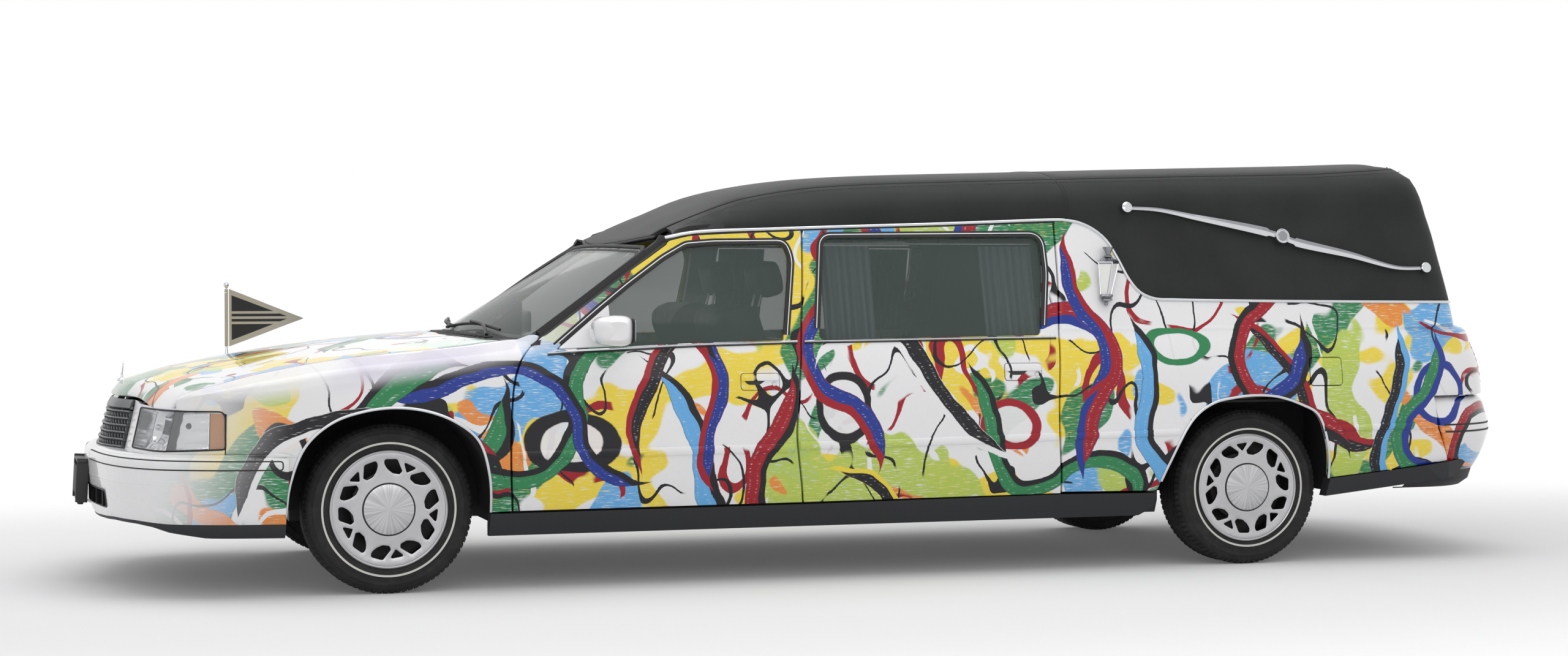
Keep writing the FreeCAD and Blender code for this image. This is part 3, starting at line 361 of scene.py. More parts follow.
def dress(ob, body, finish, smooth=True, flat_angle=40, replaces=(), slot=None):
    """Give a finished object its finish, shading and body."""
    if finish == "paint":
        middle = sum(v.co.x for v in ob.data.vertices) / len(ob.data.vertices)
        finish = next(zone for zone, lo, hi in PAINT_ZONES if lo <= middle < hi)
    if finish:
        ob.data.materials.clear()
        ob.data.materials.append(FINISH[finish])
    if smooth:
        ob.data.shade_smooth()
        ob.data.set_sharp_from_angle(angle=math.radians(flat_angle))
    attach(ob, body)
    if replaces:
        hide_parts(*([replaces] if isinstance(replaces, str) else replaces))
    return ob


def inset_loop(loop, by):
    """Closed outline moved inwards (counter-clockwise outlines shrink)."""
    p = np.array(loop)
    e = np.roll(p, -1, 0) - p
    e /= np.maximum(np.linalg.norm(e, axis=1, keepdims=True), 1e-9)
    n = np.stack([-e[:, 1], e[:, 0]], 1)
    m = n + np.roll(n, 1, 0)
    m /= np.maximum(np.linalg.norm(m, axis=1, keepdims=True), 1e-6)
    k = np.clip((m * n).sum(1), 0.45, 1)
    return p + m * (by / k)[:, None]


def area2(loop):
    p = np.array(loop)
    q = np.roll(p, -1, 0)
    return float((p[:, 0] * q[:, 1] - q[:, 0] * p[:, 1]).sum())


def even(loop, step):
    """Outline resampled so that no edge is longer than step."""
    out = []
    n = len(loop)
    for i in range(n):
        a, b = np.array(loop[i], float), np.array(loop[(i + 1) % n], float)
        d = np.linalg.norm(b - a)
        if d < 1e-5:
            continue
        k = max(1, int(math.ceil(d / step)))
        out += [tuple(a + (b - a) * j / k) for j in range(k)]
    return out


def offset(loop, step, by):
    """Outline in even steps, turned counter-clockwise and moved inwards."""
    loop = loop if area2(loop) > 0 else loop[::-1]
    return [tuple(v) for v in inset_loop(even(loop, step), by)]


def point(surface, u, v):
    """One point of a surface."""
    return surface(np.array([u]), np.array([v]))[0]


def inside(points, loop):
    """Which points lie within a closed outline."""
    p, out = np.array(loop), np.zeros(len(points), bool)
    x, y = points[:, 0], points[:, 1]
    j = len(p) - 1
    for i in range(len(p)):
        c = (p[i, 1] > y) != (p[j, 1] > y)
        with np.errstate(divide="ignore", invalid="ignore"):
            xx = (p[j, 0] - p[i, 0]) * (y - p[i, 1]) / (p[j, 1] - p[i, 1]) + p[i, 0]
        out ^= c & (x < xx)
        j = i
    return out


def panel_mesh(outline, holes, surface, edge, step, rows):
    """Triangles of an outline with holes, cut in a surface's own coordinates,
    with their points, normals and how far the rounded edge drops."""
    fine = min(step, 0.02)
    loops = []
    for i, loop in enumerate([outline] + list(holes)):
        loop = even(loop, fine)
        if (area2(loop) > 0) != (i == 0):
            loop = loop[::-1]
        loops.append(loop)
    steps = [(0.0, 1.0), (0.3, 0.286), (1.0, 0.0)] if edge > 0 else [(0.0, 0.0)]
    pts, depth, edges, rims = [], [], [], []
    for loop in loops:
        for k, (o, dep) in enumerate(steps):
            ring = inset_loop(loop, o * edge)
            base = len(pts)
            pts += [tuple(v) for v in ring]
            depth += [dep * edge] * len(ring)
            edges += [(base + i, base + (i + 1) % len(ring)) for i in range(len(ring))]
            if k == 0:
                rims.append((base, len(ring)))
    lo, hi = np.min(outline, 0), np.max(outline, 0)
    us = np.arange(lo[0] + step / 2, hi[0], step)
    vs = np.arange(lo[1] + step / 2, hi[1], step)
    vs = np.sort(np.concatenate([vs, np.array(rows, float)])) if len(rows) else vs
    grid = np.stack(np.meshgrid(us, vs, indexing="ij"), -1).reshape(-1, 2)
    keep = inside(grid, loops[0])
    for h in loops[1:]:
        keep &= ~inside(grid, h)
    rim_pts = np.concatenate([np.array(x) for x in loops])
    grid = grid[keep]
    if len(grid):
        near = np.zeros(len(grid), bool)
        for i in range(0, len(rim_pts), 400):
            dd = np.abs(grid[:, None, :] - rim_pts[None, i:i + 400, :])
            near |= (np.hypot(dd[..., 0], dd[..., 1]).min(1) < edge + step * 0.35)
        grid = grid[~near]
    base = len(pts)
    pts += [tuple(v) for v in grid]
    depth += [0.0] * len(grid)
    res = geometry.delaunay_2d_cdt([Vector(p) for p in pts], edges, [], 0, 1e-6, True)
    uv = np.array([tuple(v) for v in res[0]])
    src = res[3]
    dep = np.array([depth[s[0]] if s else 0.0 for s in src])
    tri = np.array([tuple(f) for f in res[2]])
    mid = uv[tri].mean(1)
    keep = inside(mid, loops[0])
    for h in loops[1:]:
        keep &= ~inside(mid, h)
    tri = tri[keep]
    e1, e2 = uv[tri[:, 1]] - uv[tri[:, 0]], uv[tri[:, 2]] - uv[tri[:, 0]]
    flip = e1[:, 0] * e2[:, 1] - e1[:, 1] * e2[:, 0] < 0
    tri[flip] = tri[flip][:, ::-1]
    h = 1e-4
    p = surface(uv[:, 0], uv[:, 1])
    du = surface(uv[:, 0] + h, uv[:, 1]) - surface(uv[:, 0] - h, uv[:, 1])
    dv = surface(uv[:, 0], uv[:, 1] + h) - surface(uv[:, 0], uv[:, 1] - h)
    n = np.cross(du, dv)
    n /= np.maximum(np.linalg.norm(n, axis=1, keepdims=True), 1e-12)
    return uv, tri, p, n, dep


def plate(name, outline, surface, body, finish, holes=(), thick=0.02, edge=0.003, step=0.03,
          rows=(), lift=0.0, shape=None, out=(0, 1, 0.3), side="", replaces=(), slot=None):
    """Closed plate; side is left, right or empty for one on the centre line, and
    shape(u, v) lifts its outer face along the normal."""
    uv, tri, p, n, dep = panel_mesh(outline, holes, surface, edge, step, rows)
    if (n @ np.array(out, float)).mean() < 0:
        n = -n
        tri = tri[:, ::-1]
    add = lift + (shape(uv[:, 0], uv[:, 1]) if shape else 0.0)
    top = p + n * (add - dep)[:, None]
    low = p + n * (lift - thick)
    cnt = {}
    for f in tri:
        for i in range(3):
            a, b = f[i], f[(i + 1) % 3]
            cnt[(a, b)] = cnt.get((a, b), 0) + 1
    rim = [(a, b) for (a, b) in cnt if (b, a) not in cnt]
    m = len(top)
    faces = [tuple(f) for f in tri] + [tuple(f[::-1] + m) for f in tri]
    faces += [(b, a, a + m, b + m) for a, b in rim]
    verts = np.concatenate([top, low])
    if side == "right":
        verts = verts * np.array([1, -1, 1])
        faces = [f[::-1] for f in faces]
    label = name + ("_" + side if side else "")
    return piece(label, verts, faces, body, finish, replaces=replaces, slot=slot)


def turned(v, side):
    """Body or node name for that side, from the left one's."""
    if side == "right":
        v = v.replace("_left", "_right")
        v = v[:-2] + "_r" if v.endswith("_l") else v
    return v


def sides(name, outline, surface, body, finish, replaces=(), **kw):
    """The same plate on the left and on the right; body and node names end in
    _l and _left, and turn to _r and _right."""
    reps = [replaces] if isinstance(replaces, str) else list(replaces)
    return [plate(name, outline, surface, turned(body, s), finish, side=s,
                  replaces=[turned(r, s) for r in reps], **kw) for s in ("left", "right")]


def outward(surface, u, v, out):
    h = 1e-4
    n = np.cross(surface(u + h, v) - surface(u - h, v), surface(u, v + h) - surface(u, v - h))
    n /= np.maximum(np.linalg.norm(n, axis=-1, keepdims=True), 1e-12)
    return np.where((n @ np.array(out, float))[..., None] < 0, -n, n)


def sweep(path, normals, profile, close=False, scale=None):
    """Run a profile of (across, up) along 3-D points with the given normals."""
    p, n = np.array(path, float), np.array(normals, float)
    if close:
        t = np.roll(p, -1, 0) - np.roll(p, 1, 0)
    else:
        t = np.gradient(p, axis=0)
    t /= np.maximum(np.linalg.norm(t, axis=1, keepdims=True), 1e-9)
    s = np.cross(n, t)
    s /= np.maximum(np.linalg.norm(s, axis=1, keepdims=True), 1e-9)
    n = np.cross(t, s)
    k = len(profile)
    sc = np.ones(len(p)) if scale is None else np.array(scale)
    verts = np.concatenate([p[i] + sc[i] * (s[i] * a + n[i] * b) for i in range(len(p))
                            for a, b in profile]).reshape(-1, 3)
    faces = []
    m = len(p)
    for i in range(m if close else m - 1):
        j = (i + 1) % m
        for q in range(k):
            r = (q + 1) % k
            faces.append((i * k + q, i * k + r, j * k + r, j * k + q))
    if not close:
        faces.append(tuple(range(k))[::-1])
        faces.append(tuple((m - 1) * k + q for q in range(k)))
    return verts, faces


def pair(name, verts, faces, body, finish, both=True, replaces=(), slot=None):
    """The same closed form on the left and on the right, or once in the middle."""
    return [piece(name + tag, verts * (1, s, 1), faces if s > 0 else [f[::-1] for f in faces],
                  turned(body, "right") if s < 0 else body, finish,
                  replaces=replaces if s > 0 else (), slot=slot)
            for tag, s in (SIDES if both else CENTRE)]


def half_round(width, height, n=7, sink=0.001):
    """Moulding profile: a low dome on a flat foot."""
    pts = [(width / 2 * math.cos(math.pi * i / n), height * math.sin(math.pi * i / n) ** 0.8)
           for i in range(n + 1)]
    return [(a, b - sink if 0 < i < n else -sink) for i, (a, b) in enumerate(pts)]


def ring(radius, n=12):
    return [(radius * math.cos(2 * math.pi * i / n), radius * math.sin(2 * math.pi * i / n))
            for i in range(n)]


def moulding(name, line, surface, body, finish, width=0.012, height=0.004, out=(0, 1, 0),
             close=False, lift=0.0, both=True, profile=None, slot=None, replaces=()):
    """Trim strip laid on a surface along a line in its own coordinates."""
    uv = np.array(line, float)
    p = surface(uv[:, 0], uv[:, 1])
    n = outward(surface, uv[:, 0], uv[:, 1], out)
    p = p + n * lift
    verts, faces = sweep(p, n, profile or half_round(width, height), close)
    return pair(name, verts, faces, body, finish, both, replaces, slot)


def lathe(profile, n=64, axis="y", at=(0, 0, 0)):
    """Turn (radius, along) points about an axis; returns verts and faces."""
    verts, faces = [], []
    m = len(profile)
    for i in range(n):
        a = 2 * math.pi * i / n
        c, s = math.cos(a), math.sin(a)
        for r, b in profile:
            v = {"y": (r * c, b, r * s), "x": (b, r * c, r * s), "z": (r * c, r * s, b)}[axis]
            verts.append((v[0] + at[0], v[1] + at[1], v[2] + at[2]))
    for i in range(n):
        j = (i + 1) % n
        for k in range(m - 1):
            faces.append((i * m + k, i * m + k + 1, j * m + k + 1, j * m + k))
    return verts, faces


def round_form(name, profile, body, finish, n=32, axis="z", at=(0, 0, 0), **kw):
    """Closed form turned about an axis."""
    verts, faces = lathe(profile, n, axis, at)
    return fix_normals(piece(name, verts, faces, body, finish, **kw))


def shell(name, grid, body, finish, thick=0.003, close=False, flip=False, replaces=(),
          mirror=None, slot=None):
    """Plate from a grid of points: rows along it, columns across it."""
    g = np.array(grid, float)
    if flip:
        g = g[:, ::-1]
    if close:
        du = np.roll(g, -1, 0) - np.roll(g, 1, 0)
    else:
        du = np.gradient(g, axis=0)
    dv = np.gradient(g, axis=1)
    n = np.cross(du, dv)
    n /= np.maximum(np.linalg.norm(n, axis=2, keepdims=True), 1e-12)
    r, c = g.shape[:2]
    top, low = g.reshape(-1, 3), (g - n * thick).reshape(-1, 3)
    m = r * c
    faces = []
    rr = r if close else r - 1
    for i in range(rr):
        j = (i + 1) % r
        for k in range(c - 1):
            q = (i * c + k, j * c + k, j * c + k + 1, i * c + k + 1)
            faces += [q, tuple(v + m for v in q[::-1])]
        for k, s in ((0, 1), (c - 1, -1)):
            q = (i * c + k, i * c + k + m, j * c + k + m, j * c + k)
            faces.append(q[::s])
    if not close:
        for i, s in ((0, -1), (r - 1, 1)):
            for k in range(c - 1):
                q = (i * c + k, i * c + k + m, i * c + k + 1 + m, i * c + k + 1)
                faces.append(q[::s])
    verts = np.concatenate([top, low])
    made = [piece(name, verts, faces, body, finish, replaces=replaces, slot=slot)]
    if mirror:
        made.append(piece(mirror[0], verts * np.array([1, -1, 1]), [f[::-1] for f in faces],
                          mirror[1], finish, replaces=mirror[2], slot=slot))
    return made


def lump(name, size, at, body, finish, bevel=0.01, segments=3, turn=(0, 0, 0), taper=1.0,
         replaces=(), both_sides=False):
    """Softly rounded block; taper scales its top."""
    made = []
    for tag, s in (SIDES if both_sides else CENTRE):
        bm = bmesh.new()
        bmesh.ops.create_cube(bm, size=1.0)
        for v in bm.verts:
            k = taper if v.co.z > 0 else 1.0
            v.co = Vector((v.co.x * size[0] * k, v.co.y * size[1] * k, v.co.z * size[2]))
        bmesh.ops.bevel(bm, geom=bm.edges[:], offset=bevel, segments=segments, profile=0.6,
                        affect="EDGES", clamp_overlap=True)
        rot = Euler([math.radians(a) for a in turn]).to_matrix().to_4x4()
        bmesh.ops.transform(bm, matrix=Matrix.Translation(at) @ rot, verts=bm.verts)
        if s < 0:
            bmesh.ops.transform(bm, matrix=Matrix.Scale(-1, 4, (0, 1, 0)), verts=bm.verts)
            bmesh.ops.reverse_faces(bm, faces=bm.faces)
        me = bpy.data.meshes.new(name + tag)
        bm.to_mesh(me)
        bm.free()
        ob = bpy.data.objects.new(name + tag, me)
        bpy.context.collection.objects.link(ob)
        made.append(dress(ob, turned(body, "right") if s < 0 else body, finish,
                          replaces=replaces if s > 0 else ()))
    return made


def tube(name, points, radius, body, finish, n=12, close=False, both_sides=False, replaces=(),
         taper=None):
    """Round rod along points."""
    p = np.array(points, float)
    t = np.gradient(p, axis=0)
    up = np.tile([0.0, 0.0, 1.0], (len(p), 1))
    if abs(np.array(t).mean(0)[2]) > 0.7 * np.linalg.norm(np.array(t).mean(0)):
        up = np.tile([0.0, 1.0, 0.0], (len(p), 1))
    verts, faces = sweep(p, up, ring(radius, n)[::-1], close, taper)
    return pair(name, verts, faces, body, finish, both_sides, replaces)


def fix_normals(ob):
    """Recalculate a closed mesh's normals outwards."""
    bm = bmesh.new()
    bm.from_mesh(ob.data)
    bmesh.ops.remove_doubles(bm, verts=bm.verts, dist=1e-6)
    bmesh.ops.recalc_face_normals(bm, faces=bm.faces)
    bm.to_mesh(ob.data)
    bm.free()
    return ob


# ---- shader maths -------------------------------------------------------------
class Val:
    """A shader socket that takes part in Python expressions."""

    def __init__(self, mat, socket):
        self.mat, self.socket = mat, socket

    def _do(self, op, *args):
        return self.mat.node("ShaderNodeMath", {"operation": op}, *args)

    def __add__(self, o):
        return self._do("ADD", self, o)

    def __radd__(self, o):
        return self._do("ADD", o, self)

    def __sub__(self, o):
        return self._do("SUBTRACT", self, o)

    def __rsub__(self, o):
        return self._do("SUBTRACT", o, self)

    def __mul__(self, o):
        return self._do("MULTIPLY", self, o)

    def __rmul__(self, o):
        return self._do("MULTIPLY", o, self)

    def __truediv__(self, o):
        return self._do("DIVIDE", self, o)

    def __abs__(self):
        return self._do("ABSOLUTE", self)

    def __lt__(self, o):
        return self._do("LESS_THAN", self, o)

    def __gt__(self, o):
        return self._do("GREATER_THAN", self, o)

    def lower(self, o):
        return self._do("MINIMUM", self, o)

    def higher(self, o):
        return self._do("MAXIMUM", self, o)

    def sine(self):
        return self._do("SINE", self)

    def root(self):
        return self._do("SQRT", self)

    def ramp(self, a, b, lo=0.0, hi=1.0):
        """Smooth step from lo to hi as the value goes from a to b."""
        return self.mat.node("ShaderNodeMapRange", {"interpolation_type": "SMOOTHSTEP"},
                             self, a, b, lo, hi)


class Finish:
    """A material under construction."""

    def __init__(self, name):
        self.data = bpy.data.materials.new(name)
        self.data.use_nodes = True
        self.tree = self.data.node_tree
        self.tree.nodes.clear()
        self.out = self.tree.nodes.new("ShaderNodeOutputMaterial")
        FINISH[name] = self.data

    def node(self, kind, settings=None, *values, out=0, **named):
        """Add a node: settings first, then values or links of its sockets."""
        n = self.tree.nodes.new(kind)
        for k, v in (settings or {}).items():
            if k == "stops":
                while len(n.color_ramp.elements) < len(v):
                    n.color_ramp.elements.new(0.5)
                for e, (pos, col) in zip(n.color_ramp.elements, v):
                    e.position, e.color = pos, (*col, 1.0)
            else:
                setattr(n, k, v)
        named = {k.replace("_", " "): v for k, v in named.items()}
        for k, v in list(enumerate(values)) + list(named.items()):
            self.feed(n.inputs[k], v)
        return Val(self, n.outputs[out])

    def feed(self, sock, v):
        """Link a value to a socket, or set the socket to it."""
        if isinstance(v, Val):
            self.tree.links.new(v.socket, sock)
        elif v is not None:
            sock.default_value = (*v, 1.0) if sock.type == "RGBA" else v

    def coords(self):
        return self.node("ShaderNodeTexCoord", out=3)

    def split(self, vec=None):
        n = self.tree.nodes.new("ShaderNodeSeparateXYZ")
        self.tree.links.new((vec or self.coords()).socket, n.inputs[0])
        return [Val(self, o) for o in n.outputs]

    def join(self, x, y, z):
        return self.node("ShaderNodeCombineXYZ", None, x, y, z)

    def noise(self, vec, scale, detail=3.0, rough=0.5, distortion=0.0):
        return self.node("ShaderNodeTexNoise", None, Vector=vec, Scale=scale, Detail=detail,
                         Roughness=rough, Distortion=distortion)

    def cells(self, vec, scale, feature="F1", randomness=1.0):
        return self.node("ShaderNodeTexVoronoi", {"feature": feature}, Vector=vec, Scale=scale,
                         Randomness=randomness)

    def blend(self, mask, a, b):
        """Colour a where mask is 0, colour b where it is 1."""
        n = self.tree.nodes.new("ShaderNodeMix")
        n.data_type = "RGBA"
        for k, v in ((0, mask), (6, a), (7, b)):
            self.feed(n.inputs[k], v)
        return Val(self, n.outputs[2])

    def bump(self, height, strength=0.3, distance=0.001, normal=None):
        return self.node("ShaderNodeBump", None, Height=height, Strength=strength,
                         Distance=distance, Normal=normal)

    def shade(self, color, rough, metal=0.0, normal=None, **const):
        """Finish with the principled shader."""
        n = self.tree.nodes.new("ShaderNodeBsdfPrincipled")
        for k, v in dict(Base_Color=color, Roughness=rough, Metallic=metal, Normal=normal,
                         **const).items():
            self.feed(n.inputs[k.replace("_", " ")], v)
        self.tree.links.new(n.outputs[0], self.out.inputs[0])


WHITE = (0.80, 0.80, 0.81)
YELLOW = (0.82, 0.64, 0.06)
LIME = (0.46, 0.58, 0.10)
GREEN = (0.025, 0.22, 0.08)
SKY = (0.13, 0.40, 0.74)
COBALT = (0.012, 0.035, 0.27)
RED = (0.34, 0.006, 0.016)
ORANGE = (0.78, 0.26, 0.05)
BLACK = (0.007, 0.007, 0.010)


def arcs(x, z, heading, runs):
    """Chain of tangent arcs from a start point; each run is (radius, sweep) with
    the sweep in degrees, positive to the left.  Gives centre, radius, middle
    direction, half-angle and hand of every arc."""
    out = []
    h = math.radians(heading)
    for r, sweep in runs:
        s = 1 if sweep > 0 else -1
        cx, cz = x - s * r * math.sin(h), z + s * r * math.cos(h)
        a0 = math.atan2(z - cz, x - cx)
        a1 = a0 + math.radians(sweep)
        out.append((cx, cz, r, (a0 + a1) / 2, abs(math.radians(sweep)) / 2, s))
        x, z = cx + r * math.cos(a1), cz + r * math.sin(a1)
        h += math.radians(sweep)
    return out


# start x, start z, heading, runs of (radius, sweep), half-width, colour, second
# colour that shows along one side, its extra half-width
SIDE_STROKES = [
    (2.16, 0.40, 140, [(0.50, 70), (0.26, -130), (0.24, 120)], 0.026, GREEN, BLACK, 0.014),
    (2.05, 0.80, 200, [(0.50, -50), (0.28, 110), (0.30, -90)], 0.020, COBALT, BLACK, 0.012),
    (1.52, 0.88, 250, [(0.36, 100), (0.20, 140), (0.42, 60)], 0.040, GREEN, BLACK, 0.018),
    (1.46, 0.36, 90, [(0.24, -150), (0.26, -140), (0.40, 60)], 0.026, RED, BLACK, 0.016),
    (1.74, 0.62, 30, [(0.60, -60), (0.34, -80)], 0.030, BLACK, WHITE, 0.012),
    (0.98, 0.92, 215, [(0.70, 50), (0.30, -100), (0.30, 110)], 0.030, SKY, BLACK, 0.014),
    (0.92, 0.40, 70, [(0.55, 60), (0.70, -50)], 0.026, BLACK, RED, 0.012),
    (0.62, 0.36, 60, [(0.34, 60), (0.22, -130), (0.30, 100), (0.5, -40)], 0.022, COBALT, RED,
     0.014),
    (0.34, 0.90, 260, [(0.44, 50), (0.24, -150), (0.26, 130)], 0.030, RED, BLACK, 0.014),
    (0.20, 0.44, 170, [(0.30, 80), (0.22, -150)], 0.022, BLACK, YELLOW, 0.010),
    (-0.05, 0.40, 110, [(0.26, -90), (0.20, 150), (0.22, -140), (0.40, 90)], 0.026, COBALT, RED,
     0.016),
    (-0.40, 0.90, 230, [(0.60, 40), (0.18, -140), (0.20, 150), (0.30, -90)], 0.024, GREEN, BLACK,
     0.012),
    (-0.70, 0.46, 20, [(0.80, 45), (0.26, -150)], 0.030, BLACK, WHITE, 0.014),
    (-0.98, 0.36, 75, [(0.50, 50), (0.20, -150), (0.24, 140), (0.5, -60)], 0.026, RED, COBALT,
     0.018),
    (-1.16, 1.08, 240, [(0.55, 45), (0.26, -120), (0.30, 80)], 0.030, SKY, BLACK, 0.014),
    (-1.60, 1.06, 200, [(0.60, 50), (0.30, -110)], 0.022, BLACK, RED, 0.012),
    (-1.95, 1.08, 250, [(0.30, 90), (0.20, -150), (0.24, 120)], 0.028, COBALT, BLACK, 0.014),
    (-2.20, 0.44, 70, [(0.36, -70), (0.20, 150), (0.30, -100)], 0.026, RED, BLACK, 0.014),
    (-2.42, 1.06, 265, [(0.9, 30), (0.30, -90)], 0.024, BLACK, SKY, 0.014),
    (-2.60, 1.02, 260, [(0.40, 60), (0.16, -150), (0.20, 130)], 0.024, GREEN, COBALT, 0.016),
    (1.10, 1.20, 222, [(0.6, -25), (0.5, 40)], 0.026, RED, BLACK, 0.012),
    (-0.95, 1.44, 300, [(0.34, -70), (0.22, 110)], 0.022, COBALT, RED, 0.012),
    (-2.86, 0.96, 250, [(0.30, 70), (0.24, -120)], 0.020, RED, BLACK, 0.012),
]
HOOD_STROKES = [
    (2.70, 0.30, 150, [(0.50, 60), (0.24, -130), (0.30, 120)], 0.026, COBALT, BLACK, 0.014),
    (2.30, -0.10, 80, [(0.40, 80), (0.24, -120), (0.40, 60)], 0.028, GREEN, BLACK, 0.016),
    (2.00, 0.60, 200, [(0.60, 50), (0.22, -150), (0.30, 100)], 0.026, RED, BLACK, 0.014),
    (1.75, 0.10, 90, [(0.30, 140), (0.24, -120)], 0.030, BLACK, SKY, 0.014),
    (2.55, 0.75, 230, [(0.50, 70), (0.26, -140)], 0.024, SKY, BLACK, 0.012),
    (1.95, -0.50, 130, [(0.40, -80), (0.30, 110)], 0.028, BLACK, YELLOW, 0.012),
]
# centre x, centre z, radius x, radius z, ring half-width, colour
SIDE_RINGS = [
    (1.22, 0.58, 0.17, 0.10, 0.022, BLACK), (0.10, 0.70, 0.10, 0.13, 0.016, BLACK),
    (-0.62, 0.62, 0.11, 0.08, 0.018, RED), (-2.62, 0.72, 0.12, 0.12, 0.018, COBALT),
    (2.32, 0.56, 0.07, 0.10, 0.012, BLACK), (-1.38, 0.94, 0.13, 0.07, 0.015, GREEN),
]


def artwork(m, u, v, strokes, rings, fade):
    """Loose tapering strokes, rings and colour fields over white."""
    flat = m.join(u, v, 0.0)
    drift = m.noise(flat, 3.1, 2.0)
    grain = m.noise(m.join(u * 5.0, v * 55.0, 0.0), 4.0, 3.0, 0.6)
    grain2 = m.noise(m.join(u * 60.0, v * 6.0, 3.0), 3.0, 3.0, 0.6)
    wob = m.noise(flat, 4.0, 2.0)
    uu = u + (wob - 0.5) * 0.09 + (grain2 - 0.5) * 0.006
    vv = v + (drift - 0.5) * 0.09 + (grain - 0.5) * 0.006
    color = m.blend(m.noise(m.join(u, v * 1.3, 7.0), 1.9, 2.0).ramp(0.535, 0.55)
                    * grain.ramp(0.25, 0.45), WHITE, YELLOW)
    for k, (lo, scale, tone) in enumerate(((0.585, 2.3, GREEN), (0.585, 2.6, SKY),
                                           (0.60, 2.4, LIME), (0.63, 3.0, ORANGE))):
        swept = m.join(u + v * (0.5 - 0.35 * k) + drift * 0.15, v * 0.75, 11.0 + 5.0 * k)
        field = m.noise(swept, scale, 2.0)
        color = m.blend(field.ramp(lo, lo + 0.012) * grain.ramp(0.30, 0.48), color, tone)
    for k, (scale, wide, keep, tone) in enumerate(((2.6, 0.011, 0.50, WHITE), (2.1, 0.010, 0.48, RED),
                                                   (3.4, 0.0085, 0.46, BLACK))):
        bend = m.noise(m.join(uu, vv * 0.8, 41.0 + 7.0 * k), scale, 1.0)
        line = abs(bend - 0.5).ramp(wide * 0.9, wide, 1.0, 0.0)
        color = m.blend(line * (wob + 0.02 * k).ramp(keep, keep + 0.03) * grain.ramp(0.2, 0.3),
                        color, tone)
    for cx, cz, rx, rz, w, tone in rings:
        du, dv = (uu - cx) * (1 / rx), (vv - cz) * (1 / rz)
        d = abs((du * du + dv * dv).root() - 1.0) * min(rx, rz)
        body = (du * du + dv * dv).ramp(0.80, 1.0, 1.0, 0.0)
        color = m.blend(body * 0.9, color, WHITE)
        color = m.blend(d.ramp(w * 0.8, w, 1.0, 0.0), color, tone)
    for x, z, heading, runs, w, tone, second, extra in strokes:
        chain = arcs(x, z, heading, runs)
        wide = w + extra
        near, offset = None, None
        for i, (cx, cz, r, mid, half, hand) in enumerate(chain):
            du, dv = uu - cx, vv - cz
            length = (du * du + dv * dv).root()
            along = (du * math.cos(mid) + dv * math.sin(mid)) / length
            cost = (along < math.cos(half)) * 9.0
            if i in (0, len(chain) - 1):
                end = hand if i else -hand
                across = (dv * math.cos(mid) - du * math.sin(mid)) / length
                cost = cost + (across * end).ramp(0.0, math.sin(half), 0.0, wide)
            a = abs(length - r) + cost
            b = abs(length - (r + hand * extra * 0.9)) + cost
            near = a if near is None else near.lower(a)
            offset = b if offset is None else offset.lower(b)
        brush = grain2.ramp(0.20, 0.34) * 0.2 + 0.8
        color = m.blend(offset.ramp(wide * 0.95, wide, 1.0, 0.0) * brush, color, second)
        color = m.blend(near.ramp(w * 0.92, w, 1.0, 0.0) * brush, color, tone)
        light = abs(near - w * 0.5).ramp(w * 0.06, w * 0.16, 1.0, 0.0) * grain.ramp(0.55, 0.64)
        color = m.blend(light * 0.6, color, WHITE)
    return m.blend(fade, color, WHITE)


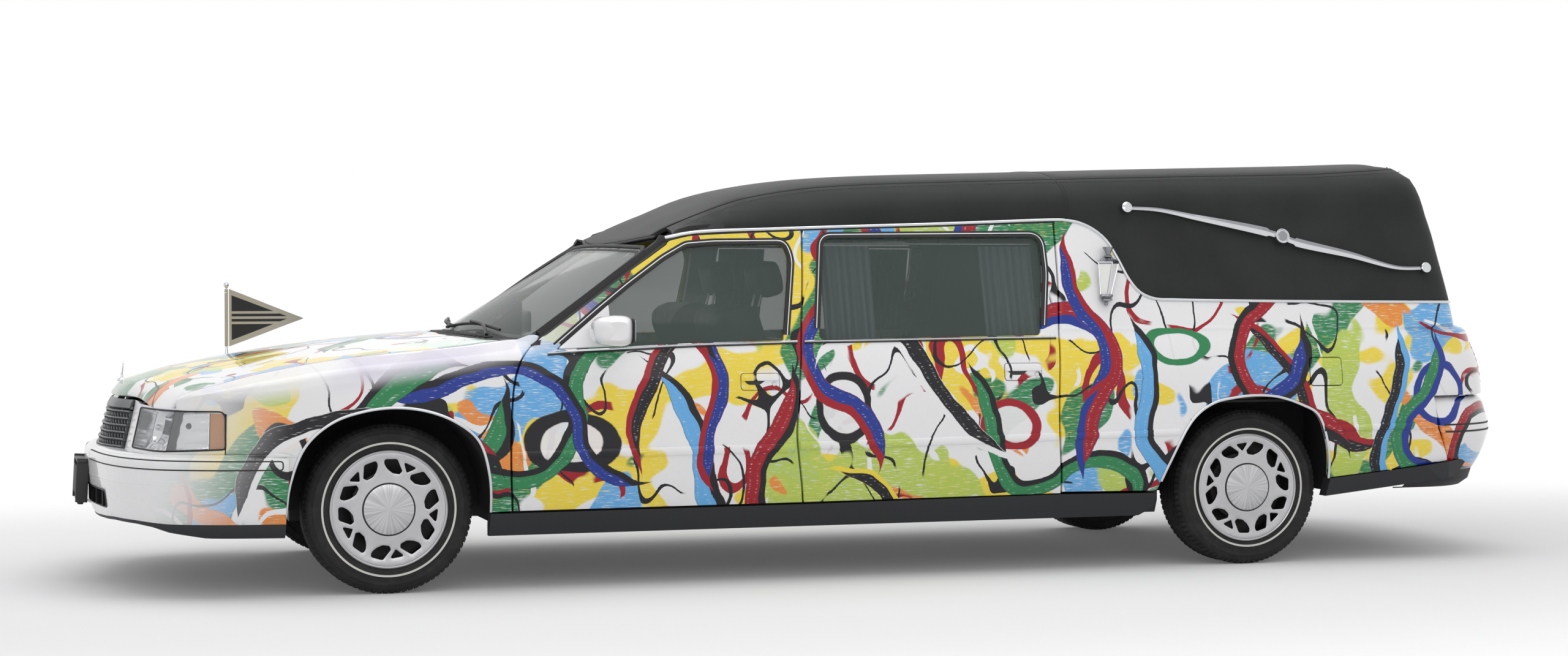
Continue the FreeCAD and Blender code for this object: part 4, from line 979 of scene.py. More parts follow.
# ---- finishes -------------------------------------------------------------------
# name: colour, roughness, metallic, grain per metre, grain depth, tone change, coat
PLAIN = {
    "white_paint": ((0.78, 0.78, 0.79), 0.30, 0.0, 900.0, 0.0001, 0.02, 1.0),
    # darker copy of the white paint, for the centre post: painted shade behind the door seams
    "inner_paint": ((0.60, 0.60, 0.61), 0.45, 0.0, 500.0, 0.0002, 0.06, 0.4),
    "chrome": ((0.62, 0.63, 0.65), 0.07, 1.0, 260.0, 0.0, 0.03, 0.0),
    "brushed": ((0.62, 0.63, 0.65), 0.26, 1.0, 700.0, 0.0001, 0.08, 0.0),
    "grille_grey": ((0.085, 0.088, 0.095), 0.36, 0.2, 600.0, 0.0001, 0.10, 0.2),
    "dark_trim": ((0.013, 0.014, 0.016), 0.62, 0.0, 1400.0, 0.0004, 0.14, 0.0),
    "black_plastic": ((0.014, 0.014, 0.016), 0.42, 0.0, 1600.0, 0.0003, 0.12, 0.0),
    "rubber": ((0.010, 0.010, 0.011), 0.62, 0.0, 1100.0, 0.0003, 0.10, 0.0),
    "white_line": ((0.62, 0.61, 0.57), 0.55, 0.0, 700.0, 0.0002, 0.06, 0.0),
    "iron": ((0.16, 0.15, 0.145), 0.55, 0.8, 420.0, 0.0006, 0.20, 0.0),
    "cast": ((0.13, 0.13, 0.135), 0.62, 0.5, 300.0, 0.0010, 0.22, 0.0),
    "satin_steel": ((0.035, 0.035, 0.038), 0.50, 0.4, 350.0, 0.0005, 0.18, 0.0),
    "underseal": ((0.022, 0.022, 0.023), 0.82, 0.0, 240.0, 0.0016, 0.20, 0.0),
    "headliner": ((0.34, 0.34, 0.35), 0.92, 0.0, 1500.0, 0.0004, 0.05, 0.0),
    "carpet": ((0.045, 0.047, 0.055), 0.95, 0.0, 1300.0, 0.0016, 0.22, 0.0),
    "amber": ((0.66, 0.24, 0.008), 0.16, 0.0, 240.0, 0.0001, 0.05, 0.2),
    "red_lens": ((0.36, 0.010, 0.012), 0.14, 0.0, 240.0, 0.0001, 0.05, 1.0),
    # darker copy of chrome: painted shade and dark reflections on one face of the landau bars, their
    # boss faces and the lantern's rails, roof, crown and base
    "steel_shade": ((0.30, 0.31, 0.33), 0.22, 1.0, 300.0, 0.0001, 0.06, 0.0),
    "frosted": ((0.80, 0.80, 0.78), 0.42, 0.0, 500.0, 0.0002, 0.03, 0.5),
    "leather": ((0.045, 0.046, 0.052), 0.46, 0.0, 850.0, 0.0007, 0.12, 0.0),
    "reflector": ((0.88, 0.88, 0.90), 0.10, 1.0, 220.0, 0.0001, 0.02, 0.0),
    "maroon": ((0.12, 0.008, 0.012), 0.35, 0.0, 700.0, 0.0001, 0.04, 0.8),
}


def plain_finishes():
    for name, (tone, rough, metal, grain, depth, change, coat) in PLAIN.items():
        m = Finish(name)
        at = m.coords()
        big = m.noise(at, 9.0, 4.0, 0.6)
        fine = m.noise(at, grain, 2.0, 0.55)
        dark = tuple(c * (1 - change) for c in tone)
        pale = tuple(min(1.0, c * (1 + change)) for c in tone)
        color = m.blend((big * 0.6 + fine * 0.4).ramp(0.3, 0.7), dark, pale)
        r = rough * 0.9 + big * (rough * 0.25)
        n = m.bump(fine, 0.35, depth) if depth else None
        m.shade(color, r, metal, n, Coat_Weight=coat, Coat_Roughness=0.04)


# paint, lowest and highest middle of the panels that wear it
PAINT_ZONES = [("paint_front", 1.40, 9.0), ("paint_door", 0.10, 1.40),
               ("paint_side", -1.00, 0.10), ("paint_rear", -9.0, -1.00)]
# paint, stretch of the body it covers
PAINT_REACH = {"paint_front": (1.30, 3.20), "paint_door": (0.10, 1.60),
               "paint_side": (-1.00, 0.35), "paint_rear": (-3.20, -0.60)}


def reach(stroke):
    """Least and greatest x that a stroke gets to."""
    x, z, heading, runs = stroke[:4]
    xs = [x]
    for cx, _, r, mid, half, _ in arcs(x, z, heading, runs):
        xs += [cx + r * math.cos(mid + half * k) for k in (-1, -0.5, 0, 0.5, 1)]
    return min(xs) - 0.10, max(xs) + 0.10


def painted_finishes():
    """Gloss white carrying the loose brush-stroke design, on the sides by (x, z)
    and on the hood by (x, y); each stretch of the body holds its own strokes."""
    for name, (low_x, high_x) in PAINT_REACH.items():
        m = Finish(name)
        x, y, z = m.split()
        front = (x + z * 0.35).ramp(2.50, 2.98)
        crest = (z - (2.95 - x) * 0.17 - 0.62).ramp(0.0, 0.09) * x.ramp(0.95, 1.5)
        fade = front.higher(crest * 0.92)
        strokes = [s for s in SIDE_STROKES if reach(s)[1] > low_x and reach(s)[0] < high_x]
        rings = [r for r in SIDE_RINGS if r[0] + 0.25 > low_x and r[0] - 0.25 < high_x]
        around = (0.90 - abs(y)).higher(0.0) * x.ramp(-2.75, -2.60, 1.0, 0.0)
        art = artwork(m, x + around, z, strokes, rings, fade)
        haze = crest * m.noise(m.join(x, y, z), 3.0, 2.0).ramp(0.40, 0.65)
        paint_shader(m, m.blend(haze * 0.40, art, (0.44, 0.36, 0.60)))
    m = Finish("hood_paint")
    x, y, z = m.split()
    fade = x.ramp(2.75, 2.98) * 0.6
    near = abs(y).ramp(0.73, 0.84) * 0.85
    art = artwork(m, x, y * 1.25 + 0.4, HOOD_STROKES, [], fade.higher(near))
    haze = near * m.noise(m.join(x, y, z), 2.4, 2.0).ramp(0.42, 0.62)
    paint_shader(m, m.blend(haze * 0.45, art, (0.42, 0.34, 0.60)))


def paint_shader(m, color):
    at = m.coords()
    peel = m.noise(at, 420.0, 2.0)
    dust = m.noise(at, 60.0, 3.0)
    m.shade(color, 0.24 + dust * 0.08, 0.0, m.bump(peel, 0.12, 0.00025),
            Coat_Weight=0.7, Coat_Roughness=0.03, Coat_IOR=1.4, Specular_IOR_Level=0.15)


# top of the pennant's hem, as (x, z), and the flat pennant
FLAG_POLE = (AXLE_F + 0.4785, 1.170)
FLAG_LENGTH, FLAG_HIGH = 0.320, 0.246


def cloth_finishes(cfg):
    m = Finish("vinyl")
    at = m.coords()
    grain = m.cells(at, 620.0, "SMOOTH_F1")
    cross = m.noise(at, 260.0, 4.0, 0.65)
    cloud = m.noise(at, 2.6, 4.0, 0.6)
    tone = tuple(cfg.vinyl)
    color = m.blend((cloud * 0.7 + cross * 0.3).ramp(0.30, 0.72),
                    tuple(c * 0.82 for c in tone), tuple(c * 1.20 for c in tone))
    m.shade(color, 0.46 + cloud * 0.14, 0.0,
            m.bump(grain * 0.7 + cross * 0.6, 0.5, 0.0007), Specular_IOR_Level=0.12)

    m = Finish("curtain")
    x, y, z = m.split()
    # dark and light stripes along the cloth: painted shade and highlight of the pleats, mixed with
    # the weave
    fold = (x * 190.0).sine() * 0.5 + 0.5
    weave = m.noise(m.join(x * 3.0, y, z), 900.0, 2.0)
    color = m.blend(fold * 0.7 + weave * 0.3, (0.13, 0.15, 0.18), (0.34, 0.37, 0.41))
    m.shade(color, 0.85, 0.0, m.bump(weave, 0.3, 0.0005), Sheen_Weight=0.3)

    m = Finish("pennant")
    x, y, z = m.split()
    weave = m.noise(m.join(x, y * 0.2, z), 1500.0, 2.0)
    px, pz = FLAG_POLE
    run = (px - x) * (1 / FLAG_LENGTH)
    mid = z - (pz - 0.5 * FLAG_HIGH)
    edge = (1.0 - run) * (FLAG_HIGH / 2) - abs(mid)
    border = edge.ramp(0.019, 0.020, 1.0, 0.0).higher(run.ramp(0.050, 0.053, 1.0, 0.0))
    bars = abs(mid).ramp(0.0050, 0.0058, 1.0, 0.0)
    bars = bars.higher(abs(abs(mid) - 0.0225).ramp(0.0050, 0.0058, 1.0, 0.0))
    color = m.blend(border.higher(bars), (0.014, 0.014, 0.017), (0.42, 0.39, 0.33))
    m.shade(color, 0.80, 0.0, m.bump(weave, 0.4, 0.0004), Sheen_Weight=0.2)

    m = Finish("varnished_wood")
    x, y, z = m.split()
    band = m.noise(m.join(x * 0.5, y * 9.0, z * 9.0), 6.0, 5.0, 0.6, 0.6)
    pore = m.noise(m.join(x * 6.0, y * 90.0, z * 90.0), 8.0, 3.0)
    color = m.blend(band.ramp(0.3, 0.7), (0.11, 0.045, 0.018), (0.26, 0.12, 0.05))
    m.shade(color, 0.28 + pore * 0.12, 0.0, m.bump(pore, 0.2, 0.0003), Coat_Weight=0.6,
            Coat_Roughness=0.08)


def glass_finishes(cfg):
    for name, tone, alpha, rough in (("side_glass", tuple(cfg.glass), 0.42, 0.03),
                                     ("screen_glass", (0.075, 0.100, 0.092), 0.40, 0.03),
                                     ("clear_lens", (0.55, 0.57, 0.58), 0.20, 0.06)):
        m = Finish(name)
        at = m.coords()
        film = m.noise(at, 3.0, 3.0)
        grit = m.noise(at, 800.0, 2.0)
        color = m.blend(film, tuple(c * 0.85 for c in tone), tuple(min(1, c * 1.15) for c in tone))
        m.shade(color, rough + grit * 0.02, 0.0, Alpha=alpha, Specular_IOR_Level=0.35)
        m.data.surface_render_method = "BLENDED"


def hub_distance(m):
    """Distance from the nearer axle's centre line."""
    x, _, z = m.split()
    r = ((x - AXLE_F) * (x - AXLE_F)).lower((x - AXLE_R) * (x - AXLE_R))
    return (r + (z - WHEEL_Z) * (z - WHEEL_Z)).root()


def wheel_finishes():
    m = Finish("tyre_rubber")
    at = m.coords()
    rings = (hub_distance(m) * 900.0).sine()
    fine = m.noise(at, 700.0, 3.0)
    scuff = m.noise(at, 16.0, 4.0, 0.6)
    color = m.blend(scuff.ramp(0.42, 0.75), (0.013, 0.013, 0.014), (0.030, 0.029, 0.028))
    m.shade(color, 0.66 + scuff * 0.16, 0.0,
            m.bump(fine * 0.8 + rings * 0.12, 0.5, 0.0007), Specular_IOR_Level=0.35)
    m = Finish("machined_alloy")
    at = m.coords()
    rings = m.noise(m.join(hub_distance(m) * 9.0, 0.0, 0.0), 160.0, 2.0)
    cloud = m.noise(at, 26.0, 3.0)
    color = m.blend(cloud * 0.5 + rings * 0.5, (0.40, 0.40, 0.41), (0.54, 0.54, 0.55))
    m.shade(color, 0.24 + rings * 0.10, 1.0, m.bump(rings, 0.12, 0.0002), Coat_Weight=0.3,
            Coat_Roughness=0.10)
    m = Finish("cap_alloy")
    x, _, z = m.split()
    front = x.ramp(AXLE_F - 0.501, AXLE_F - 0.500)
    u, v = x - AXLE_R - front * (AXLE_F - AXLE_R), z - WHEEL_Z
    far = (u * u + v * v).root().higher(0.004)
    rays = m.noise(m.join(u / far, v / far, 0.0), 9.0, 3.0)
    color = m.blend(rays.ramp(0.35, 0.65), (0.42, 0.42, 0.43), (0.56, 0.56, 0.57))
    m.shade(color, 0.30, 1.0, m.bump(rays, 0.2, 0.0004))


def make_finishes(cfg):
    plain_finishes()
    painted_finishes()
    cloth_finishes(cfg)
    glass_finishes(cfg)
    wheel_finishes()


# parts of the frame that show as they are
NODE_FINISH = {
    "front_structure": "underseal", "firewall_cowl": "underseal", "engine_block": "cast",
    "underbody": "underseal", "casket_deck": "varnished_wood", "front_subframe": "satin_steel",
    "rear_axle": "satin_steel", "fuel_tank": "satin_steel", "sill_cladding": "dark_trim",
    "exhaust": "iron", "knuckle_left": "cast", "knuckle_right": "cast",
}


# ---- seams and openings, as (station, height) ------------------------------------
A_SEAM = spline([(-0.476, 0.311), (-0.464, 0.476), (-0.466, 0.689), (-0.480, 0.823),
                 (-0.503, 0.895), (-0.544, 0.960), (-0.580, 0.985)], 0.02)
A_LINE = [(-0.604, 0.998), (-0.757, 1.105), (-0.840, 1.165), (-0.940, 1.236), (-1.045, 1.305),
          (-1.118, 1.355)]
B_SEAM = spline([(-1.662, 0.317), (-1.625, 0.576), (-1.630, 0.696), (-1.653, 0.955),
                 (-1.680, 1.196), (-1.696, 1.417)], 0.02)
C_SEAM = spline([(-2.784, 0.330), (-2.763, 0.545), (-2.760, 0.725), (-2.778, 0.976),
                 (-2.797, 1.203), (-2.804, 1.458)], 0.02)
DRIP = [(-1.030, 1.345), (-1.124, 1.377), (-1.224, 1.400), (-1.620, 1.419), (-2.301, 1.442),
        (-2.793, 1.461)]
SWEEP = spline([(-2.850, 1.461), (-2.915, 1.452), (-2.978, 1.425), (-3.034, 1.378),
                (-3.078, 1.301), (-3.121, 1.212), (-3.165, 1.158), (-3.230, 1.131),
                (-3.330, 1.126), (-3.691, 1.120), (-4.10, 1.116), (-4.616, 1.112)], 0.02)
ARCH_F = spline([(0.402, 0.15), (0.399, 0.30), (0.385, 0.44), (0.327, 0.584), (0.226, 0.672),
                 (0.10, 0.714), (-0.028, 0.725), (-0.150, 0.706), (-0.252, 0.663),
                 (-0.334, 0.594), (-0.378, 0.46), (-0.390, 0.30), (-0.390, 0.15)], 0.012)
ARCH_R = spline([(-3.205, 0.15), (-3.212, 0.30), (-3.262, 0.448), (-3.364, 0.628),
                 (-3.458, 0.694), (-3.560, 0.716), (-3.660, 0.724), (-3.760, 0.716),
                 (-3.868, 0.682), (-3.945, 0.640), (-3.992, 0.520), (-4.012, 0.365),
                 (-4.006, 0.15)], 0.012)
FRONT_LIGHT = rounded([(-0.650, 0.944), (-0.834, 1.092), (-0.958, 1.187), (-1.110, 1.294),
                       (-1.206, 1.347), (-1.320, 1.356), (-1.610, 1.3595), (-1.631, 1.300),
                       (-1.612, 1.172), (-1.582, 0.972), (-1.180, 0.964), (-0.900, 0.952)],
                      [0.002, 0.3, 0.3, 0.3, 0.06, 0.3, 0.034, 0.3, 0.3, 0.003, 0.3, 0.3])
SAIL = rounded([(-0.656, 0.945), (-0.870, 1.117), (-0.876, 0.952)], [0.003, 0.004, 0.004], 0.004)
REAR_LIGHT = rounded([(-1.733, 0.973), (-1.766, 1.247), (-1.782, 1.384), (-2.732, 1.394),
                      (-2.735, 1.247), (-2.697, 0.985)],
                     [0.022, 0.3, 0.042, 0.050, 0.4, 0.026])
TAIL_EDGE = curve([(0.70, 0.596), (1.010, 0.596), (1.300, 0.566), (1.560, 0.520),
                   (1.600, 0.480), (1.630, 0.420)])
FLAP = rounded([(-3.913, 0.760), (-4.067, 0.760), (-4.067, 0.882), (-3.913, 0.882)], 0.018)


def shift(line, by, up=0.0):
    return [(d + by, z + up) for d, z in line]


def upto(line, lo, hi):
    return [p for p in line if lo <= p[1] <= hi]


def fender_top(d):
    """Side coordinate of the gutter line."""
    zc, gz = CREASE_Z(d), GUTTER_Z(d)
    return float(zc + math.hypot(float(CREASE_Y(d)) - 0.8, gz - zc))


def wrap_at(surface, t, x=None, y=None):
    """Wrap coordinate where a surface reaches a station or a half-width."""
    a = np.linspace(2.0, WRAP_END, 900)
    p = surface(a, np.full(900, t))
    if y is not None:
        keep = a > 4.3
        return float(np.interp(-y, -p[keep, 1], a[keep]))
    return float(np.interp(-x, AXLE_F - p[:, 0], a))


def up_wrap(line):
    """(station, height) points to wrap coordinates on the greenhouse."""
    return [(wrap_at(green_wrap, z, x=d), z) for d, z in line]


def seam_z(a):
    """Height of the shoulder seam of the roof covering."""
    a = np.asarray(a, float)
    d = np.where(a < 2.8, -a, -2.8 - (a - 2.8) * 1.03)
    zd, zc = DRIP_Z(d), ROOF_Z(d)
    side = zd + (zc - zd) * 0.79
    k = smooth01((a - 4.0) / 0.8)
    return side + (1.704 - side) * k


def tail_low(y, t):
    """Lower tail across the car, by half-width and height."""
    a = np.abs(y)
    z = ledge_z(t)
    x = np.interp(-a, -TAIL[:, 1], TAIL[:, 0]) + TAIL_IN(np.minimum(z, 1.0))
    up = tail_face(y, np.maximum(z, 1.0))[..., 0] - AXLE_F
    f = smooth01((t - 0.998) / 0.042)
    return np.stack([AXLE_F + x + (up - x) * f, y + 0 * t, z + 0 * y], -1)


# ---- body ------------------------------------------------------------------------
def hood_shape():
    rear = [(-0.292 - 0.152 * (y / 0.793) ** 2, y) for y in np.linspace(-0.7955, 0.7955, 41)]
    front = []
    for y in np.linspace(0.7955, -0.7955, 61):
        d = float(NOSE_X(abs(y))) - 0.005
        k = max(0.0, (abs(y) - 0.74) / 0.0555)
        front.append((d - 0.030 * k**2.5, y))
    return [(d, y) for d, y in rear] + front


def build_hood():
    ribs = lambda d, y: (0.004 * smooth01((0.33 - np.abs(y) + 0.16 * (d - 0.3)) / 0.05)
                         * smooth01((0.93 - d) / 0.2) * smooth01((d + 0.5) / 0.2))
    plate("hood_panel", hood_shape(), hood_top, "hood_leaf", "hood_paint", thick=0.020,
          edge=0.005, step=0.028, shape=ribs, out=(0, 0, 1), replaces="hood", slot="paint")
    inner = [(d * 0.93 + 0.01, y * 0.93) for d, y in hood_shape()]
    plate("hood_liner", inner, lambda d, y: hood_top(d, y) - np.array([0, 0, 0.03]),
          "hood_leaf", "headliner", thick=0.012, edge=0.004, step=0.05, out=(0, 0, 1))
    base = point(hood_top, 0.956, 0.0)
    round_form("ornament_foot", [(0.0001, -0.004), (0.019, -0.004), (0.019, 0.002),
                                 (0.014, 0.007), (0.006, 0.011), (0.0045, 0.016),
                                 (0.0035, 0.030), (0.0001, 0.031)],
               "hood_leaf", "chrome", 28, at=(base[0], 0, base[2]))
    blade = rounded([(-0.004, 0.024), (0.004, 0.024), (0.019, 0.058), (0.013, 0.072),
                     (0.0, 0.076), (-0.013, 0.072), (-0.019, 0.058)], 0.006, 0.003)
    plate("ornament_blade", blade,
          lambda y, z: np.stack([base[0] + 0.002 - 0.10 * (z - 0.02) + 0 * y, y,
                                 base[2] + z], -1),
          "hood_leaf", "chrome", thick=0.004, edge=0.0012, step=0.006, out=(1, 0, 0),
          replaces="hood_ornament")


def build_fenders():
    top = [(d, fender_top(d) - 0.004) for d in np.linspace(-0.500, 0.800, 60)]
    low = [(0.800, 0.7225), (0.760, 0.7165), (0.619, 0.7065), (0.622, 0.553), (0.404, 0.553)]
    arch = [p for p in ARCH_F if p[1] > 0.31 and (p[1] < 0.552 or p[0] < 0.35)]
    rear = shift(A_SEAM, HALF_GAP)
    line = low + arch + [(-0.392, 0.309)] + rear + [(-0.582, 1.000), (-0.548, 1.030)] + top
    sides("fender", line, flank, "car", "paint", replaces="fender_left", thick=0.020,
          edge=0.0045, step=0.026, slot="paint")
    lip = [p for p in ARCH_F if p[1] > 0.30]
    moulding("front_arch_lip", lip, flank, "car", "chrome", 0.012, 0.005,
             lift=0.0015)
    lip = [p for p in ARCH_R if p[1] > 0.36]
    moulding("rear_arch_lip", lip, flank, "car", "chrome", 0.012, 0.005, lift=0.0015)


def strip_profile(w, h):
    return [(w / 2, -0.002), (w / 2 - 0.001, h * 0.6), (w / 2 - 0.005, h),
            (-w / 2 + 0.005, h), (-w / 2 + 0.001, h * 0.6), (-w / 2, -0.002)]


def side_strip(name, line, width, body, lift=0.0, finish="paint", h=0.006, surface=None):
    moulding(name, line, surface or flank, body, finish, profile=strip_profile(width, h),
             lift=lift)


def open_below(loop, low):
    """A window outline without its bottom run, which the belt line covers."""
    top = [p[1] > low + 0.018 + 0.022 * smooth01((-p[0] - 0.7) / 0.9) for p in loop]
    start = next(i for i in range(len(loop)) if top[i] and not top[i - 1])
    again = loop[start:] + loop[:start]
    return [p for p, keep in zip(again, top[start:] + top[:start]) if keep]


def window_trim(name, light, body, surface=flank):
    """Black seal, bright line and black outer edge around a side window."""
    low = min(p[1] for p in light)
    for tag, off, width, height in (("_seal", -0.004, 0.014, 0.004),
                                    ("_outer_seal", -0.0205, 0.010, 0.0035)):
        line = open_below(offset(light, 0.02, off), low)
        moulding(name + tag, line, surface, body, "rubber", lift=-0.001,
                 profile=strip_profile(width, height))
    line = open_below(offset(light, 0.02, -0.0135), low)
    moulding(name + "_bright", line, surface, body, "chrome", 0.0065, 0.0055)


def build_doors():
    front = ([(-0.4795, 0.3115)] + shift(A_SEAM, -HALF_GAP)[1:] + shift(A_LINE, -HALF_GAP)
             + [(-1.131, 1.3705), (-1.224, 1.393), (-1.42, 1.403), (-1.62, 1.412)]
             + shift(B_SEAM, HALF_GAP)[::-1])
    rear = (shift(B_SEAM, -HALF_GAP) + [(-2.0, 1.4265), (-2.301, 1.435), (-2.55, 1.444)]
            + shift(C_SEAM, HALF_GAP, -0.004)[::-1])
    rows = (0.545, 0.575, 0.90, 0.915, 0.93, 0.945, 0.955, 0.962, 0.97, 0.978, 0.987, 1.0)
    for name, line, light, body, node, glass, mid in (
            ("front_door", front, FRONT_LIGHT, "front_door_l", "door_front_left",
             "glass_front_left", (-0.53, -1.60)),
            ("rear_door", rear, REAR_LIGHT, "rear_door_l", "door_rear_left", "glass_rear_left",
             (-1.69, -2.73))):
        sides(name + "_panel", line, flank, body, "paint", replaces=node, thick=0.020,
              edge=0.0045, step=0.03, rows=rows, holes=[light], slot="paint")
        sides(name + "_glass", offset(light, 0.02, -0.008), flank, body, "side_glass",
              replaces=glass, thick=0.005, edge=0.0, step=0.05, lift=-0.010)
        window_trim(name, light, body)
        card = [(d + (0.035 if d < np.mean(mid) else -0.035), max(0.36, min(z, 0.93)))
                for d, z in line if z < 1.02]
        sides(name + "_card", card, flank, body, "leather", thick=0.020, edge=0.006, step=0.06,
              lift=-0.026)
    for name, body, x0, x1, z0, z1 in (("front", "front_door_l", -1.392, -1.550, 0.775, 0.840),
                                       ("rear", "rear_door_l", -2.520, -2.681, 0.800, 0.869)):
        zm, h = (z0 + z1) / 2, (z1 - z0) / 2
        rim = rounded([(x0 + 0.0022, zm + h + 0.0022), (x0 + 0.0022, zm - h - 0.0022),
                       (x1 - 0.0022, zm - h - 0.0022), (x1 - 0.0022, zm + h + 0.0022)], 0.016, 0.004)
        dish = rounded([(x0, zm + h), (x0, zm - h), (x1, zm - h), (x1, zm + h)], 0.014, 0.004)
        pull = rounded([(x0 - 0.002, zm + h - 0.002), (x0 - 0.002, zm + 0.003),
                        (x1 + 0.002, zm + 0.003), (x1 + 0.002, zm + h - 0.002)],
                       [0.012, 0.002, 0.002, 0.012], 0.004)
        well = rounded([(x0 - 0.010, zm + 0.006), (x0 - 0.026, zm - 0.013), (x0 - 0.076, zm - 0.013),
                        (x0 - 0.104, zm + 0.006)], [0.002, 0.03, 0.03, 0.002], 0.004)
        for tag, outline, fin, thick, lift in (
                ("_handle_gasket", rim, "rubber", 0.006, 0.0012),
                ("_handle_plate", dish, "paint", 0.008, 0.0030),
                ("_handle_well", well, "black_plastic", 0.008, 0.0036),
                ("_handle", pull, "paint", 0.009, 0.0095)):
            sides(name + tag, outline, flank, body, fin, thick=thick, edge=0.002, step=0.02,
                  lift=lift)
        at = point(flank, x1 + 0.022, zm - 0.010)
        v, f = lathe([(0.0001, 0.0075), (0.0075, 0.0070), (0.0095, 0.0045), (0.0095, 0.0),
                      (0.0001, 0.0)], 24, "y", tuple(at))
        for lock in pair(name + "_lock", np.array(v), f, body, "chrome"):
            fix_normals(lock)
    # painted rub strips
    for name, body, pts, w in (
            ("front_door_rub", "front_door_l", [(-0.500, 0.5345), (-1.05, 0.538), (-1.612, 0.542)],
             0.036),
            ("rear_door_rub", "rear_door_l", [(-1.634, 0.549), (-2.2, 0.556), (-2.752, 0.566)],
             0.034)):
        side_strip(name, spline(pts, 0.05), w, body, h=0.008)
    # bright belt line with a black seal under it
    for name, body, pts in (
            ("front_door_belt", "front_door_l", [(-0.612, 0.9285), (-0.735, 0.936),
                                                 (-0.90, 0.943), (-1.18, 0.955),
                                                 (-1.455, 0.962), (-1.638, 0.966)]),
            ("rear_door_belt", "rear_door_l", [(-1.668, 0.9665), (-2.2, 0.9720),
                                               (-2.762, 0.9770)])):
        line = spline(pts, 0.05)
        side_strip(name + "_bright", line, 0.0095, body, finish="chrome", h=0.007)
        side_strip(name, shift(line, 0.0, -0.0076), 0.006, body, finish="rubber", h=0.004)


def build_jambs():
    """Pillars and jambs behind the door seams."""
    # black rubber on the jambs and a darker grey copy of the paint on the centre post: real seals,
    # and also painted shade that makes the shut seams read as dark lines
    for name, line, w in (("a_jamb", shift(A_SEAM, 0.01), 0.07),
                          ("b_post", upto(B_SEAM, 0.30, 1.40), 0.10),
                          ("c_jamb", shift(C_SEAM, -0.012), 0.07)):
        moulding(name, line, flank, "car", "inner_paint" if name == "b_post" else "rubber",
                 profile=[(w / 2, -0.062), (w / 2, -0.028), (-w / 2, -0.028), (-w / 2, -0.062)])
    line = shift(A_LINE, 0.006) + shift(DRIP[1:], 0.0, 0.001) + [(-2.83, 1.462)]
    moulding("cant_rail", spline(line, 0.03), lambda d, z: np.stack(
        [AXLE_F + d + 0 * z, over_y(d, z), z + 0 * d], -1), "car", "rubber",
        profile=[(0.030, -0.050), (0.030, -0.024), (-0.022, -0.024), (-0.022, -0.050)])
    sill = [(-0.47, 0.318), (-1.60, 0.322), (-2.79, 0.338)]
    moulding("sill_step", spline(sill, 0.05), flank, "car", "rubber",
             profile=[(0.03, -0.085), (0.03, -0.026), (-0.03, -0.026), (-0.03, -0.085)])


def build_screen():
    ys = np.linspace(-1, 1, 41)
    edge = curve([(0.94, 0.852), (1.05, 0.820), (1.20, 0.772), (1.30, 0.728), (1.36, 0.690)])
    low = [(y * 0.830, 0.985 - 0.020 * y * y) for y in ys]
    top = [(y * 0.672, 1.352 - 0.012 * y * y) for y in ys[::-1]]
    right = [(float(edge(z)), z) for z in np.linspace(0.985, 1.325, 20)]
    line = rounded(low + right + top + [(-y, z) for y, z in right[::-1]], 0.006)
    plate("windshield_glass", line, screen, "car", "screen_glass", thick=0.006, edge=0.0,
          step=0.05, out=(1, 0, 0.5), replaces="windshield", slot="glass")
    for name, off, width, height in (("windshield_seal", -0.004, 0.022, 0.006),
                                     ("windshield_band", 0.012, 0.016, 0.0012)):
        moulding(name, offset(line, 0.02, off), screen, "car", "rubber", close=True, both=False,
                 out=(1, 0, 0.5), profile=strip_profile(width, height))
    # black pillar finisher from the glass edge round to the door edge
    dline = curve([(z, d) for d, z in A_LINE + [(-0.590, 0.968), (-1.16, 1.386)]])
    rows = []
    for z in np.linspace(0.960, 1.385, 26):
        w = point(screen, float(edge(z)) + 0.004, z)
        k = np.array([AXLE_F + float(FRONT_S(z)), green_y(z), z])
        d = np.array([AXLE_F + min(float(dline(z)) + 0.0035, float(FRONT_S(z)) - 0.004),
                      green_y(z), z])
        m = screen(np.array([(w[1] + k[1]) / 2]), np.array([z]))[0]
        k1 = k + (m - k) * 0.22
        k2 = k + (d - k) * 0.8
        rows.append([w, (w + m) / 2, m, k1, k1 * 0.3 + k * 0.5 + k2 * 0.2,
                     k1 * 0.2 + k * 0.3 + k2 * 0.5, d])
    shell("a_pillar_left", rows, "car", "rubber", 0.020,
          mirror=("a_pillar_right", "car", ()), flip=True)


def build_cowl():
    rear = [(-0.52 - 0.20 * (y / 0.8) ** 2 * 0.62, y) for y in np.linspace(-0.77, 0.77, 31)]
    front = [(-0.299 - 0.152 * (y / 0.793) ** 2, y) for y in np.linspace(0.792, -0.792, 41)]
    plate("cowl_panel", rear + front, hood_top, "car", "black_plastic", thick=0.012,
          edge=0.003, step=0.035, lift=-0.006, out=(0, 0, 1))
    for i in range(26):
        y = -0.60 + i * 0.048
        d = -0.330 - 0.152 * (y / 0.793) ** 2
        p = point(hood_top, d - 0.022, y)
        lump("cowl_slat_%02d" % i, (0.034, 0.030, 0.006), (p[0], p[1], p[2] - 0.002), "car",
             "rubber", 0.0015, 2, (0, 2, 0))
    for k, (y0, y1) in enumerate(((0.62, -0.02), (0.02, -0.62))):
        pts = []
        for t in np.linspace(0, 1, 14):
            y = y0 + (y1 - y0) * t
            p = point(screen, y, 1.000 + 0.020 * math.sin(math.pi * t))
            pts.append(p + np.array([0.012, 0, 0.014]))
        tube("wiper_blade_%d" % k, pts, 0.006, "car", "rubber", 8)
        q = [point(hood_top, -0.44, y0 * 0.9) + (0, 0, 0.004),
             (pts[0] + pts[7]) / 2 + (0.01, 0, 0.006), pts[7] + (0.004, 0, 0.010)]
        tube("wiper_arm_%d" % k, spline(q, 0.03), 0.007, "car", "black_plastic", 8)


